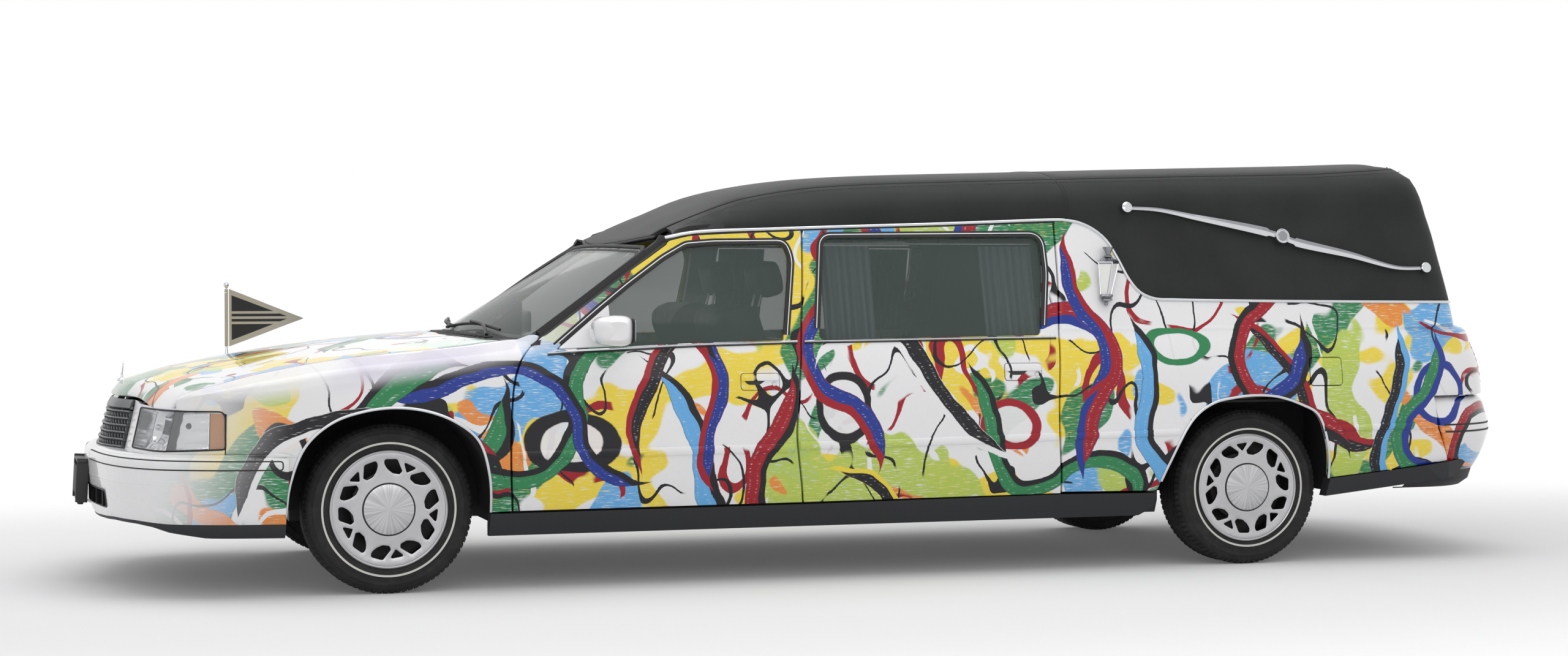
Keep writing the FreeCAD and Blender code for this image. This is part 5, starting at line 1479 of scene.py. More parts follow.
def build_quarters():
    t_up = lambda z: z + 0.02 if z >= 1.02 else z
    seam = [(-d + HALF_GAP, t_up(z)) for d, z in C_SEAM]
    sweep_line = [(wrap_at(tail_wrap, z + 0.02, x=d), z + 0.02) for d, z in SWEEP]
    corner = [(a, 1.130 - 0.004) for a in np.linspace(sweep_line[-1][0] + 0.03, 4.93, 8)]
    edge = [(wrap_at(tail_wrap, t, y=float(TAIL_EDGE(min(t, 1.1))) + HALF_GAP), t)
            for t in np.linspace(1.126, 0.7095, 24)]
    low = [(wrap_at(tail_wrap, 0.7095, x=-4.60), 0.7095),
           (wrap_at(tail_wrap, 0.7095, x=-4.5175), 0.7095)]
    low += [(wrap_at(tail_wrap, z, x=d), z) for d, z in
            ((-4.5415, 0.565), (-4.5965, 0.446), (-4.6025, 0.425), (-4.30, 0.393),
             (-4.018, 0.365))]
    arch = [(-d, z) for d, z in ARCH_R[::-1] if z > 0.365 or d > -3.5 and z > 0.327]
    line = seam + sweep_line + corner + edge + low + arch + [(3.205, 0.327), (2.79, 0.332)]
    lamp = tail_lamp_outline()
    flap = [(-d, z) for d, z in FLAP]
    rows = (0.575, 0.90, 0.93, 0.95, 0.965, 0.98, 0.99, 1.0, 1.01, 1.02, 1.03, 1.04, 1.06)
    for side in ("left", "right"):
        holes = [lamp] + ([flap] if side == "left" else [])
        plate("quarter_panel", line, tail_wrap, "car", "paint", holes=holes, thick=0.020,
              edge=0.0045, step=0.028, rows=rows, side=side, slot="paint",
              replaces=turned("body_side_left", side))
        plate("quarter_lining", line, tail_wrap, "car", "headliner", holes=holes, thick=0.004,
              edge=0.0, step=0.05, rows=rows, lift=-0.0205, side=side)
    plate("filler_flap", offset(flap, 0.01, 0.003), tail_wrap, "filler_flap", "paint",
          thick=0.006, edge=0.002, step=0.03, side="left", replaces="fuel_flap", slot="paint")
    plate("filler_well", offset(flap, 0.02, -0.012), tail_wrap, "car", "rubber", thick=0.004,
          edge=0.0, step=0.04, lift=-0.050, side="left")
    at = point(tail_wrap, 3.99, 0.82)
    round_form("filler_cap", [(0.0001, 0.0), (0.030, 0.0), (0.033, -0.006), (0.033, -0.022),
                              (0.0001, -0.022)],
               "car", "black_plastic", 28, "y", (at[0], at[1] - 0.020, at[2]))
    lenses = sides("tail_lamp_lens", offset(lamp, 0.01, 0.003), tail_wrap, "car", "red_lens",
                   thick=0.020, edge=0.006, step=0.02, lift=0.001, out=(-1, 0.4, 0),
                   shape=lambda a, t: 0.0012 * np.sin(t * 900.0), slot="lamp_red")
    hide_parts("tail_lamps")
    sides("tail_lamp_bowl", offset(lamp, 0.02, -0.010), tail_wrap, "car", "rubber", thick=0.02,
          edge=0.0, step=0.05, lift=-0.024, out=(-1, 0.4, 0))
    for name, pts, w in (
            ("quarter_rub", [(2.800, 0.566), (3.05, 0.570), (3.300, 0.575)], 0.030),
            ("quarter_rub_rear", [(3.975, 0.580), (4.20, 0.581), (4.500, 0.583)], 0.030)):
        side_strip(name, spline(pts, 0.05), w, "car", h=0.008, surface=tail_wrap)


def tail_lamp_outline():
    out = []
    for y, t in ((0.622, 0.748), (0.622, 0.940), (0.700, 0.944), (0.765, 0.940), (0.774, 0.860),
                 (0.774, 0.752), (0.700, 0.748)):
        out.append((wrap_at(tail_wrap, t, y=y), t))
    return rounded(out, [0.016, 0.016, 0.1, 0.03, 0.1, 0.022, 0.1], 0.006)


def finish_nodes():
    """Give the frame's own parts their finishes."""
    for name, finish in NODE_FINISH.items():
        ob = frame["nodes"][name]
        for s in ob.material_slots:
            s.material = FINISH[finish]


# ---- roof covering -----------------------------------------------------------------
def seam_path():
    """Shoulder seam from the header round the tail to the centre line."""
    a = np.concatenate([np.linspace(1.06, 4.0, 90), np.linspace(4.02, WRAP_END, 70)])
    return green_wrap(a, seam_z(a))


SEAM_P = seam_path()
TAIL_TOP_Z = np.linspace(1.60, 1.7415, 60)
TAIL_TOP_D = rear_line(TAIL_TOP_Z)


def roof_raw(d, y):
    z = roof_z(d, y)
    bow = 0.072 * (np.abs(y) / 0.56) ** 2
    back = np.interp(d - bow, TAIL_TOP_D, TAIL_TOP_Z, left=1.50, right=1.7415)
    gap = np.where(d - bow > TAIL_TOP_D[-1], 1.0, 0.0)
    return np.where(gap > 0, z, np.minimum(z, back))


SEAM_D, SEAM_Y = SEAM_P[:, 0] - AXLE_F, SEAM_P[:, 1]
SEAM_LIFT = SEAM_P[:, 2] - roof_raw(SEAM_D, SEAM_Y)


def roof_top(d, y):
    """Top of the roof, brought to the shoulder seam at its edge."""
    d, y = np.broadcast_arrays(np.asarray(d, float), np.asarray(y, float))
    z = roof_raw(d, y)
    dist = np.hypot(d[..., None] - SEAM_D, np.abs(y)[..., None] - SEAM_Y)
    w = np.exp(-(dist / 0.03) ** 2) + 1e-30
    add = (w * SEAM_LIFT).sum(-1) / w.sum(-1)
    z = z + add * np.exp(-(dist.min(-1) / 0.07) ** 2)
    return np.stack([AXLE_F + d, y, z], -1)


def header_d(y):
    return -1.030 - 0.103 * (np.abs(y) / 0.70) ** 2


def build_roof():
    split = -2.862
    edge = [(d, y - 0.0008) for d, y in zip(SEAM_D, SEAM_Y)]
    front = [(float(header_d(y)), y) for y in np.linspace(-0.60, 0.60, 31)]
    fwd = [(d, y) for d, y in edge if split + 0.002 < d < -1.14]
    aft = [(d, y) for d, y in edge if d < split - 0.002]
    cross = [(split + 0.0008, y) for y in np.linspace(fwd[-1][1], -fwd[-1][1], 20)]
    outline = front + fwd + cross + [(d, -y) for d, y in fwd[::-1]]
    up = (0, 0, 1)
    plate("roof_cover_front", outline, roof_top, "car", "vinyl", thick=0.018, edge=0.0025,
          step=0.045, out=up, replaces="roof_shell", slot="vinyl")
    cross = [(split - 0.0008, y) for y in np.linspace(-fwd[-1][1], fwd[-1][1], 20)]
    outline = cross + aft + [(d, -y) for d, y in aft[::-1]]
    plate("roof_cover_rear", outline, roof_top, "car", "vinyl", thick=0.018, edge=0.0025,
          step=0.045, out=up, slot="vinyl")
    # side panels
    low = [(-d, z + 0.009) for d, z in DRIP]
    low = [(1.150, 1.3935)] + [(a, z) for a, z in low if a > 1.2] + [(2.8605, 1.470)]
    top = [(a, float(seam_z(a)) - 0.0008) for a in np.linspace(1.18, 2.8605, 60)]
    sides("cover_side_front", low + top[::-1], green_wrap, "car", "vinyl", thick=0.018,
          edge=0.0025, step=0.04, slot="vinyl")
    sweep_up = [(a, z + 0.0055) for a, z in up_wrap(SWEEP[1:])]
    around = [(a, 1.1165) for a in np.linspace(sweep_up[-1][0] + 0.03, CORNER_END, 8)]
    door = [(wrap_at(green_wrap, z, y=float(TAIL_EDGE(z)) + HALF_GAP), z)
            for z in np.linspace(1.1165, 1.60, 26)]
    head = [(wrap_at(green_wrap, z, y=y), z) for y, z in
            ((0.470, 1.612), (0.437, 1.6185), (0.30, 1.629), (0.15, 1.635))]
    head += [(WRAP_END, 1.6375)]
    top = [(a, float(seam_z(a)) - 0.0008) for a in np.linspace(WRAP_END, 2.8635, 150)]
    sides("cover_side_rear", [(2.8635, 1.4695)] + sweep_up + around + door + head + top,
          green_wrap, "car", "vinyl", thick=0.018, edge=0.0025, step=0.04, slot="vinyl")
    line = [(a, float(seam_z(a))) for a in np.linspace(1.19, WRAP_END - 0.002, 200)]
    moulding("shoulder_welt", line, green_wrap, "car", "vinyl", 0.009, 0.004, lift=-0.0012)
    ends = [(split, y) for y in np.linspace(-fwd[-1][1], fwd[-1][1], 40)]
    moulding("roof_welt", ends, roof_top, "car", "vinyl", 0.009, 0.004, lift=-0.0012, both=False,
             out=up)
    line = [(2.862, z) for z in np.linspace(1.474, float(seam_z(2.862)), 12)]
    moulding("side_welt", line, green_wrap, "car", "vinyl", 0.009, 0.004, lift=-0.0012)
    # stitches along the welts
    stitches("cover_stitches", [green_wrap, green_wrap], [
        [(a, float(seam_z(a)) - 0.014) for a in np.linspace(1.20, 4.9, 260)],
        [(2.874, z) for z in np.linspace(1.50, float(seam_z(2.862)) - 0.02, 8)]])
    # bright lines: drip rail, tail sweep and header
    line = spline([(-1.120, 1.3825)] + [(d, z + 0.003) for d, z in DRIP[2:]] + [(-2.84, 1.4645)],
                  0.03)
    line = [(-d, z) for d, z in line] + [(a, z + 0.002) for a, z in up_wrap(SWEEP[1:])]
    line += [(a, 1.1135) for a in np.linspace(line[-1][0] + 0.03, CORNER_END, 8)]
    y_end = float(TAIL_EDGE(1.1135)) + 0.006
    line += [(wrap_at(green_wrap, 1.1135, y=y_end), 1.1135)]
    moulding("cover_moulding", line, green_wrap, "car", "chrome", 0.015, 0.0085, lift=-0.001)
    groove = [(a, z - 0.011) for a, z in line if a < 2.84]
    moulding("drip_groove", groove, green_wrap, "car", "rubber", lift=-0.0035,
             profile=strip_profile(0.012, 0.003))
    ys = np.linspace(-0.655, 0.655, 50)
    verts, faces = sweep([point(roof_top, float(header_d(y)) + 0.006, y)
                          - (0, 0, 0.006) for y in ys], np.tile([0.7, 0, 0.7], (50, 1)),
                         half_round(0.014, 0.004))
    fix_normals(piece("header_seal", verts, faces, "car", "rubber"))
    # headliner below the roof
    inner = [(d + 0.03 if d < -3 else d - 0.05, y * 0.95) for d, y in
             front + [(d, y) for d, y in edge if d < -1.14]
             + [(d, -y) for d, y in edge[::-1] if d < -1.14]]
    plate("headliner", inner, lambda d, y: roof_top(d, y) - np.array([0, 0, 0.035]), "car",
          "headliner", thick=0.006, edge=0.0, step=0.08, out=up)


def build_tail_door():
    edge = [(float(TAIL_EDGE(z)) - HALF_GAP, z) for z in np.linspace(1.113, 1.600, 24)]
    top = [(0.437, 1.611), (0.30, 1.6225), (0.15, 1.629), (0.0, 1.631)]
    half = edge + top
    outline = half + [(-y, z) for y, z in half[::-1][1:]]
    light = rounded([(0.470, 1.150), (0.440, 1.400), (0.400, 1.540), (0, 1.562), (-0.400, 1.540),
                     (-0.440, 1.400), (-0.470, 1.150)], [0.05, 0.5, 0.06, 0.5, 0.06, 0.5, 0.05])
    back = (-1, 0, 0.3)
    plate("tail_door_cover", outline, tail_face, "tail_door", "vinyl", holes=[light],
          thick=0.020, edge=0.004, step=0.035, out=back, slot="vinyl")
    half = [(0.5925, t) for t in (0.7235, 0.80, 0.90, 0.98, 1.02, 1.06, 1.126)]
    outline = half + [(-y, z) for y, z in half[::-1]]
    plate("tail_door_panel", outline, tail_low, "tail_door", "paint", thick=0.020, edge=0.0045,
          step=0.03, rows=(0.98, 1.0, 1.01, 1.02, 1.03, 1.04, 1.06), out=back,
          replaces="rear_door", slot="paint")
    plate("tail_door_glass", offset(light, 0.02, -0.008), tail_face, "tail_door", "side_glass",
          thick=0.005, edge=0.0, step=0.06, lift=-0.010, out=back, replaces="rear_glass",
          slot="glass")
    for name, off, fin, w, h, dome in (("seal", -0.006, "rubber", 0.022, 0.004, False),
                                       ("bright", -0.0135, "chrome", 0.008, 0.006, True)):
        moulding("tail_glass_" + name, offset(light, 0.02, off), tail_face, "tail_door", fin, w,
                 h, out=back, close=True, both=False, profile=None if dome else strip_profile(w, h))
    line = [(y, 1.1185) for y in np.linspace(-0.590, 0.590, 60)]
    moulding("tail_door_moulding", line, tail_face, "tail_door", "chrome", 0.015, 0.0085,
             out=back, both=False, lift=-0.001)
    inner = [(y * 0.93, t) for y, t in outline]
    plate("tail_door_card", inner, tail_low, "tail_door", "leather", thick=0.012, edge=0.004,
          step=0.08, lift=-0.030, out=back)
    # blank number plate in a bright frame, and a latch pull under the ledge
    board = rounded([(-0.16, 0.790), (0.16, 0.790), (0.16, 0.945), (-0.16, 0.945)], 0.012, 0.004)
    plate("tail_plate_frame", board, tail_low, "tail_door", "chrome", thick=0.006, edge=0.002,
          step=0.05, lift=0.010, out=back)
    plate("tail_plate_blank", offset(board, 0.02, 0.008), tail_low, "tail_door", "white_paint",
          thick=0.004, edge=0.001, step=0.05, lift=0.0125, out=back)
    pull = rounded([(-0.50, 0.800), (-0.36, 0.800), (-0.36, 0.850), (-0.50, 0.850)], 0.014, 0.004)
    plate("tail_pull_plate", pull, tail_low, "tail_door", "chrome", thick=0.01, edge=0.002,
          step=0.03, lift=0.004, out=back)
    pull = rounded([(-0.49, 0.815), (-0.37, 0.815), (-0.37, 0.835), (-0.49, 0.835)], 0.009, 0.003)
    plate("tail_pull", pull, tail_low, "tail_door", "black_plastic", thick=0.01, edge=0.003,
          step=0.03, lift=0.010, out=back)


def tree_of(name, inputs):
    """Empty Geometry Nodes tree with named number inputs."""
    tree = bpy.data.node_groups.new(name, "GeometryNodeTree")
    tree.interface.new_socket("Geometry", in_out="INPUT", socket_type="NodeSocketGeometry")
    tree.interface.new_socket("Geometry", in_out="OUTPUT", socket_type="NodeSocketGeometry")
    for label, value in inputs:
        socket = tree.interface.new_socket(label, in_out="INPUT", socket_type="NodeSocketFloat")
        socket.default_value = value
    return tree


def add_node(tree, kind, settings=None, **links):
    """Add a node; links give a socket or a value by the input's name, or by i and
    its number."""
    n = tree.nodes.new(kind)
    for k, v in (settings or {}).items():
        setattr(n, k, v)
    for k, v in links.items():
        sock = n.inputs[int(k[1:]) if k[1:].isdigit() else k.replace("_", " ")]
        if isinstance(v, bpy.types.NodeSocket):
            tree.links.new(v, sock)
        else:
            sock.default_value = v
    return n


def grow(name, guide, tree, values, body, finish, angle=35, **kw):
    """Run a tree on a guide mesh, bake the result and dress it."""
    me = bpy.data.meshes.new(name + "_guide")
    me.from_pydata([tuple(map(float, v)) for v in guide[0]], [tuple(e) for e in guide[1]], [])
    me.update()
    for label, rows in (guide[2] if len(guide) > 2 else {}).items():
        layer = me.attributes.new(label, "FLOAT_VECTOR", "POINT")
        layer.data.foreach_set("vector", np.array(rows, float).ravel())
    ob = bpy.data.objects.new(name + "_guide", me)
    bpy.context.collection.objects.link(ob)
    mod = ob.modifiers.new("grow", "NODES")
    mod.node_group = tree
    for item in tree.interface.items_tree:
        if item.in_out == "INPUT" and item.name in values:
            mod[item.identifier] = values[item.name]
    bpy.context.view_layer.update()
    deps = bpy.context.evaluated_depsgraph_get()
    baked = bpy.data.meshes.new_from_object(ob.evaluated_get(deps))
    ob.modifiers.clear()
    bpy.data.objects.remove(ob)
    if not baked.polygons:
        raise RuntimeError(name + " came out empty")
    baked.name = name
    out = bpy.data.objects.new(name, baked)
    bpy.context.collection.objects.link(out)
    return dress(out, body, finish, True, angle, **kw)


def studs(name, finish, length, width, height):
    """Tree that stands a small block on every guide point, its length along
    the direction in attribute along and its height along attribute up."""
    tree = tree_of(name, [("Length", length), ("Width", width), ("Height", height)])
    src = add_node(tree, "NodeGroupInput")
    size = add_node(tree, "ShaderNodeCombineXYZ", X=src.outputs["Length"],
                    Y=src.outputs["Width"], Z=src.outputs["Height"])
    cube = add_node(tree, "GeometryNodeMeshCube", Size=size.outputs[0])
    along = add_node(tree, "GeometryNodeInputNamedAttribute", {"data_type": "FLOAT_VECTOR"},
                     Name="along")
    up = add_node(tree, "GeometryNodeInputNamedAttribute", {"data_type": "FLOAT_VECTOR"},
                  Name="up")
    turn = add_node(tree, "FunctionNodeAxesToRotation",
                    {"primary_axis": "X", "secondary_axis": "Z"})
    tree.links.new(along.outputs[0], turn.inputs[0])
    tree.links.new(up.outputs[0], turn.inputs[1])
    pts = add_node(tree, "GeometryNodeInstanceOnPoints", Points=src.outputs["Geometry"],
                   Instance=cube.outputs["Mesh"], Rotation=turn.outputs[0])
    real = add_node(tree, "GeometryNodeRealizeInstances", Geometry=pts.outputs[0])
    mat = add_node(tree, "GeometryNodeSetMaterial", Geometry=real.outputs[0],
                   Material=FINISH[finish])
    out = add_node(tree, "NodeGroupOutput")
    tree.links.new(mat.outputs[0], out.inputs[0])
    return tree


def stand(name, points, along, up, size, body, finish):
    """Small blocks of one size standing on points, made by a tree."""
    tree = studs(name + "_block", finish, *size)
    grow(name, (points, [], {"along": along, "up": up}), tree, {"Length": size[0]}, body, finish)


def stitches(name, surfaces, lines):
    """Thread along lines laid on surfaces, on both sides of the car."""
    verts, along, up = [], [], []
    for surface, line in zip(surfaces, lines):
        uv = np.array(line)
        p = surface(uv[:, 0], uv[:, 1])
        s = np.concatenate([[0], np.cumsum(np.linalg.norm(np.diff(p, axis=0), axis=1))])
        k = np.arange(0, s[-1], 0.012)
        u = np.stack([np.interp(k, s, uv[:, i]) for i in (0, 1)], 1)
        q = surface(u[:, 0], u[:, 1])
        n = outward(surface, u[:, 0], u[:, 1], (0, 1, 0))
        t = np.gradient(q, axis=0)
        for side in (1, -1):
            m = np.array([1, side, 1])
            verts += list((q + n * 0.0006) * m)
            along += list(t * m)
            up += list(n * m)
    stand(name, verts, along, up, (0.007, 0.0014, 0.0016), "car", "black_plastic")


# ---- nose ---------------------------------------------------------------------------
NOSE_Y = np.linspace(0, 0.975, 500)
NOSE_D = NOSE_X(NOSE_Y)
NOSE_RUN = np.concatenate([[0], np.cumsum(np.hypot(np.diff(NOSE_D), np.diff(NOSE_Y)))])


def nose(s, z):
    """Front of the body: distance from the centre line along the plan, height."""
    s, z = np.broadcast_arrays(np.asarray(s, float), np.asarray(z, float))
    d, y = np.interp(np.abs(s), NOSE_RUN, NOSE_D), np.interp(np.abs(s), NOSE_RUN, NOSE_Y)
    y = soft_min(section(d, z)[0], y, 0.03)
    d = d - (0.28 * (z - 0.735) + 0.012) * (1 - smooth01((np.abs(s) - 0.75) / 0.3))
    return np.stack([AXLE_F + d, np.sign(s) * y, z], -1)


def set_back(surface, by, out):
    """The surface moved inwards along its normals."""
    def deep(u, v):
        u, v = np.broadcast_arrays(np.asarray(u, float), np.asarray(v, float))
        return surface(u, v) - outward(surface, u, v, out) * by
    return deep


LAMP = rounded([(0.434, 0.716), (0.472, 0.560), (0.830, 0.563), (1.052, 0.572), (1.052, 0.718),
                (0.830, 0.720)], [0.012, 0.016, 0.5, 0.014, 0.030, 0.5], 0.006)


def build_nose():
    def top(s):
        return 0.7395 - 0.012 * smooth01((abs(s) - 0.33) / 0.1) - 0.004 * (abs(s) > 1.0)

    grid_hole = rounded([(-0.336, 0.738), (-0.366, 0.550), (0.366, 0.550), (0.336, 0.738)], 0.008,
                        0.004)
    line = [(s, float(top(s))) for s in np.linspace(-1.045, 1.045, 120)]
    line = line + [(1.0475, 0.553), (0.8, 0.549), (0.4, 0.545), (0, 0.545), (-0.4, 0.545),
                   (-0.8, 0.549), (-1.0475, 0.553)]
    lamps = [LAMP, [(-s, z) for s, z in LAMP]]
    plate("nose_panel", line, nose, "car", "paint", holes=lamps + [grid_hole], thick=0.020,
          edge=0.003, step=0.03, out=(1, 0, 0), slot="paint")
    for tag, side in SIDES:
        pan, out = [(side * s, z) for s, z in LAMP], (1, side * 0.4, 0)
        inner = offset(pan, 0.012, 0.003)
        # clear lens in one piece, wrapped round the corner
        plate("headlamp_lens" + tag, inner, nose, "car", "clear_lens", thick=0.004, edge=0.002,
              step=0.03, lift=0.001, out=out, replaces="headlamps" if side > 0 else (),
              slot="lamp_clear")
        moulding("headlamp_gasket" + tag, offset(pan, 0.012, 0.0015), nose, "car", "rubber",
                 close=True, both=False, out=out, profile=strip_profile(0.007, 0.003))
        lamp_inside(tag, side, inner)


def lamp_inside(tag, side, inner):
    """Bowls, walls, reflector, bulbs and marker behind one headlamp lens."""
    out, div = (1, side * 0.4, 0), 0.838
    back = set_back(nose, 0.066, out)
    lo, hi = sorted((side * 0.44, side * div))
    cell = clip_box(inner, lo, hi)
    plate("headlamp_bowl" + tag, offset(cell, 0.02, 0.004), back,
          "car", "reflector", thick=0.004, edge=0.0, step=0.02, out=out,
          shape=lambda s, z: 0.020 * smooth01((0.612 - z) / 0.05)
          + 0.0025 * np.sin(s * 420.0) * (z < 0.612))
    lo, hi = sorted((side * (div + 0.006), side * 0.992))
    cell = clip_box(inner, lo, hi)
    plate("cornering_bowl" + tag, offset(cell, 0.02, 0.003),
          set_back(nose, 0.034, out), "car", "reflector", thick=0.004, edge=0.0, step=0.008,
          out=out, shape=lambda s, z: 0.0035 * np.abs(np.sin(z * 330.0))
          + 0.0035 * np.abs(np.sin(s * 200.0)) + 0.012 * np.cos((s - side * 0.915) * 20.0))
    lo, hi = sorted((side * 0.992, side * 1.06))
    cell = clip_box(inner, lo, hi)
    plate("side_marker" + tag, offset(cell, 0.012, 0.001),
          set_back(nose, 0.0045, out), "car", "amber", thick=0.022, edge=0.002, step=0.006,
          out=out, shape=lambda s, z: 0.0010 * np.sin(z * 1500.0)
          * (z < 0.628) + 0.0008 * np.sin(s * 900.0) * (z >= 0.628))
    for k, s0 in enumerate((div + 0.003, 0.990)):
        wall = []
        for z in np.linspace(0.566, 0.716, 8):
            p = point(nose, side * s0, z)
            q = point(set_back(nose, 0.060, out), side * s0, z)
            wall.append([p - (p - q) * 0.05, p - (p - q) * 0.5, q])
        shell("lamp_wall_%d" % k + tag, wall, "car", "dark_trim" if k == 0 else "reflector",
              0.0045 if k == 0 else 0.003, flip=side > 0)
    walls = []
    for s, z in inner[::2]:
        p = point(nose, s, z)
        q = point(back, s, z)
        walls.append([p - (p - q) * 0.08, p - (p - q) * 0.5, q])
    shell("headlamp_wall" + tag, walls, "car", "reflector", 0.003, close=True, flip=side < 0)
    # round reflector with its bulb shield, and the cornering lamp's bulb
    for name, depth, (s0, z0), n, fin, prof in (
            ("main_reflector", 0.066, (0.655, 0.655), 40, "reflector",
             [(0.010, 0.004), (0.030, 0.006), (0.052, 0.018), (0.061, 0.034), (0.064, 0.034),
              (0.064, 0.0), (0.010, 0.0)]),
            ("bulb_shield", 0.066, (0.655, 0.655), 20, "chrome",
             [(0.0001, 0.050), (0.009, 0.047), (0.013, 0.038), (0.013, 0.006), (0.0001, 0.006)]),
            ("cornering_bulb", 0.030, (0.905, 0.662), 20, "dark_trim",
             [(0.0001, 0.022), (0.010, 0.018), (0.014, 0.008), (0.016, 0.0), (0.0001, 0.0)])):
        aim = outward(nose, np.array([side * s0]), np.array([z0]), out)[0]
        verts, faces = lathe(prof, n, "x")
        place(piece(name + tag, verts, faces, "car", fin),
              point(set_back(nose, depth, out), side * s0, z0), aim)


def clip_box(loop, lo, hi):
    """Closed outline clipped to a band of its first coordinate."""
    for side, lim in ((1, lo), (-1, hi)):
        out = []
        n = len(loop)
        for i in range(n):
            a, b = loop[i], loop[(i + 1) % n]
            ia, ib = (a[0] - lim) * side >= 0, (b[0] - lim) * side >= 0
            if ia:
                out.append(a)
            if ia != ib:
                t = (lim - a[0]) / (b[0] - a[0])
                out.append((lim, a[1] + (b[1] - a[1]) * t))
        loop = out
    return loop


def place(ob, at, aim):
    """Turn a piece made along X to another direction and move it there."""
    q = Vector(aim).to_track_quat("X", "Z").to_matrix().to_4x4()
    q.translation = Vector(at)
    ob.data.transform(q)
    return fix_normals(ob)


def build_grille():
    width = lambda z: 0.333 + (0.738 - z) * 0.16
    ys = np.linspace(-1, 1, 41)
    back = set_back(nose, 0.050, (1, 0, 0))
    line = [(-0.335, 0.737), (-0.364, 0.551), (0.364, 0.551), (0.335, 0.737)]
    plate("grille_backing", line, back, "car", "rubber", thick=0.004, edge=0.0, step=0.05,
          out=(1, 0, 0))
    # plain slanted header above the bars
    rows = []
    for u in ys:
        row = []
        for z, fwd in ((0.7005, 0.004), (0.7035, 0.013), (0.708, 0.017), (0.722, 0.015),
                       (0.738, 0.011), (0.7405, 0.006)):
            p = point(nose, u * (width(z) - 0.001), z)
            row.append(p + np.array([fwd - 0.002, 0, 0.0]))
        rows.append(row)
    shell("grille_header", rows, "car", "grille_grey", 0.012, replaces="grille")
    # cross bars: fins with a thick lower lip
    for i in range(6):
        z = 0.6915 - 0.0272 * i
        w = width(z) - 0.001
        pts = [point(nose, u * w, z) for u in ys]
        prof = [(0.003, -0.050), (0.003, 0.004), (0.0055, 0.009), (0.0045, 0.014),
                (-0.0005, 0.0155), (-0.0045, 0.010), (-0.003, 0.004), (-0.003, -0.050)]
        n = np.array([[1.0, 0.30 * u, 0.10] for u in ys])
        n /= np.linalg.norm(n, axis=1, keepdims=True)
        v, f = sweep(pts, n, prof)
        fix_normals(piece("grille_fin_%d" % i, v, f, "car", "grille_grey"))
    # upright bars in every row
    verts, along, up = [], [], []
    for i in range(5):
        z = 0.6915 - 0.0272 * (i + 0.5)
        w = width(z)
        count = int(w / 0.028)
        for k in range(-count, count + 1):
            p = point(nose, k * 0.028, z)
            verts.append(p + np.array([-0.018, 0, 0]))
            along.append((1.0, 0.12 * np.sign(k) * min(1, abs(k) / 8), -0.1))
            up.append((0.28, 0, 1))
    stand("grille_uprights", verts, along, up, (0.050, 0.0045, 0.0235), "car", "grille_grey")
    verts = [p + (0.0235, 0, -0.0015) for p in verts]
    stand("grille_nibs", verts, along, up, (0.004, 0.0062, 0.013), "car", "brushed")


# ---- bumpers ------------------------------------------------------------------------
def inwards(p, x):
    """Level direction from a point towards a place on the centre line."""
    v = (np.array([x, 0.0, 0.0]) - p) * (1, 1, 0)
    return v / np.linalg.norm(v)


def bumper(plan, profile):
    """Surface of a bumper: distance along its plan from the centre, and height;
    the plan is its widest line and the profile how far each height is inside."""
    p = np.array(spline(plan, 0.01))
    s = np.concatenate([[0], np.cumsum(np.hypot(*np.diff(p, axis=0).T))])
    prof = curve(profile)
    t = np.gradient(p, axis=0)
    t /= np.linalg.norm(t, axis=1, keepdims=True)
    nrm = np.stack([t[:, 1], -t[:, 0]], 1)
    if nrm[0, 0] * (p[0, 0]) < 0:
        nrm = -nrm

    def surface(u, z):
        u, z = np.broadcast_arrays(np.asarray(u, float), np.asarray(z, float))
        a = np.abs(u)
        d, y = np.interp(a, s, p[:, 0]), np.interp(a, s, p[:, 1])
        nd, ny = np.interp(a, s, nrm[:, 0]), np.interp(a, s, nrm[:, 1])
        k = prof(z)
        return np.stack([AXLE_F + d - nd * k, np.sign(u) * (y - ny * k), z], -1)

    return surface, p, s


FRONT_BUMPER, FB_PLAN, FB_S = bumper(
    [(1.102, 0), (1.098, 0.12), (1.085, 0.25), (1.043, 0.50), (0.970, 0.70), (0.850, 0.850),
     (0.650, 0.932), (0.390, 0.963)],
    [(0.240, 0.070), (0.262, 0.046), (0.304, 0.022), (0.360, 0.012), (0.411, 0.006),
     (0.451, 0.001), (0.470, 0.0), (0.492, -0.002), (0.520, -0.003), (0.537, 0.003),
     (0.547, 0.016), (0.5535, 0.040), (0.560, 0.080)])
REAR_BUMPER, RB_PLAN, RB_S = bumper(
    [(-5.001, 0), (-4.998, 0.20), (-4.983, 0.50), (-4.950, 0.66), (-4.886, 0.780),
     (-4.80, 0.865), (-4.700, 0.925), (-4.600, 0.952), (-4.440, 0.9635)],
    [(0.300, 0.145), (0.322, 0.125), (0.360, 0.090), (0.400, 0.062), (0.447, 0.037),
     (0.519, 0.012), (0.560, 0.004), (0.600, 0.010), (0.640, 0.022), (0.672, 0.032),
     (0.694, 0.046), (0.7045, 0.066), (0.710, 0.110)])


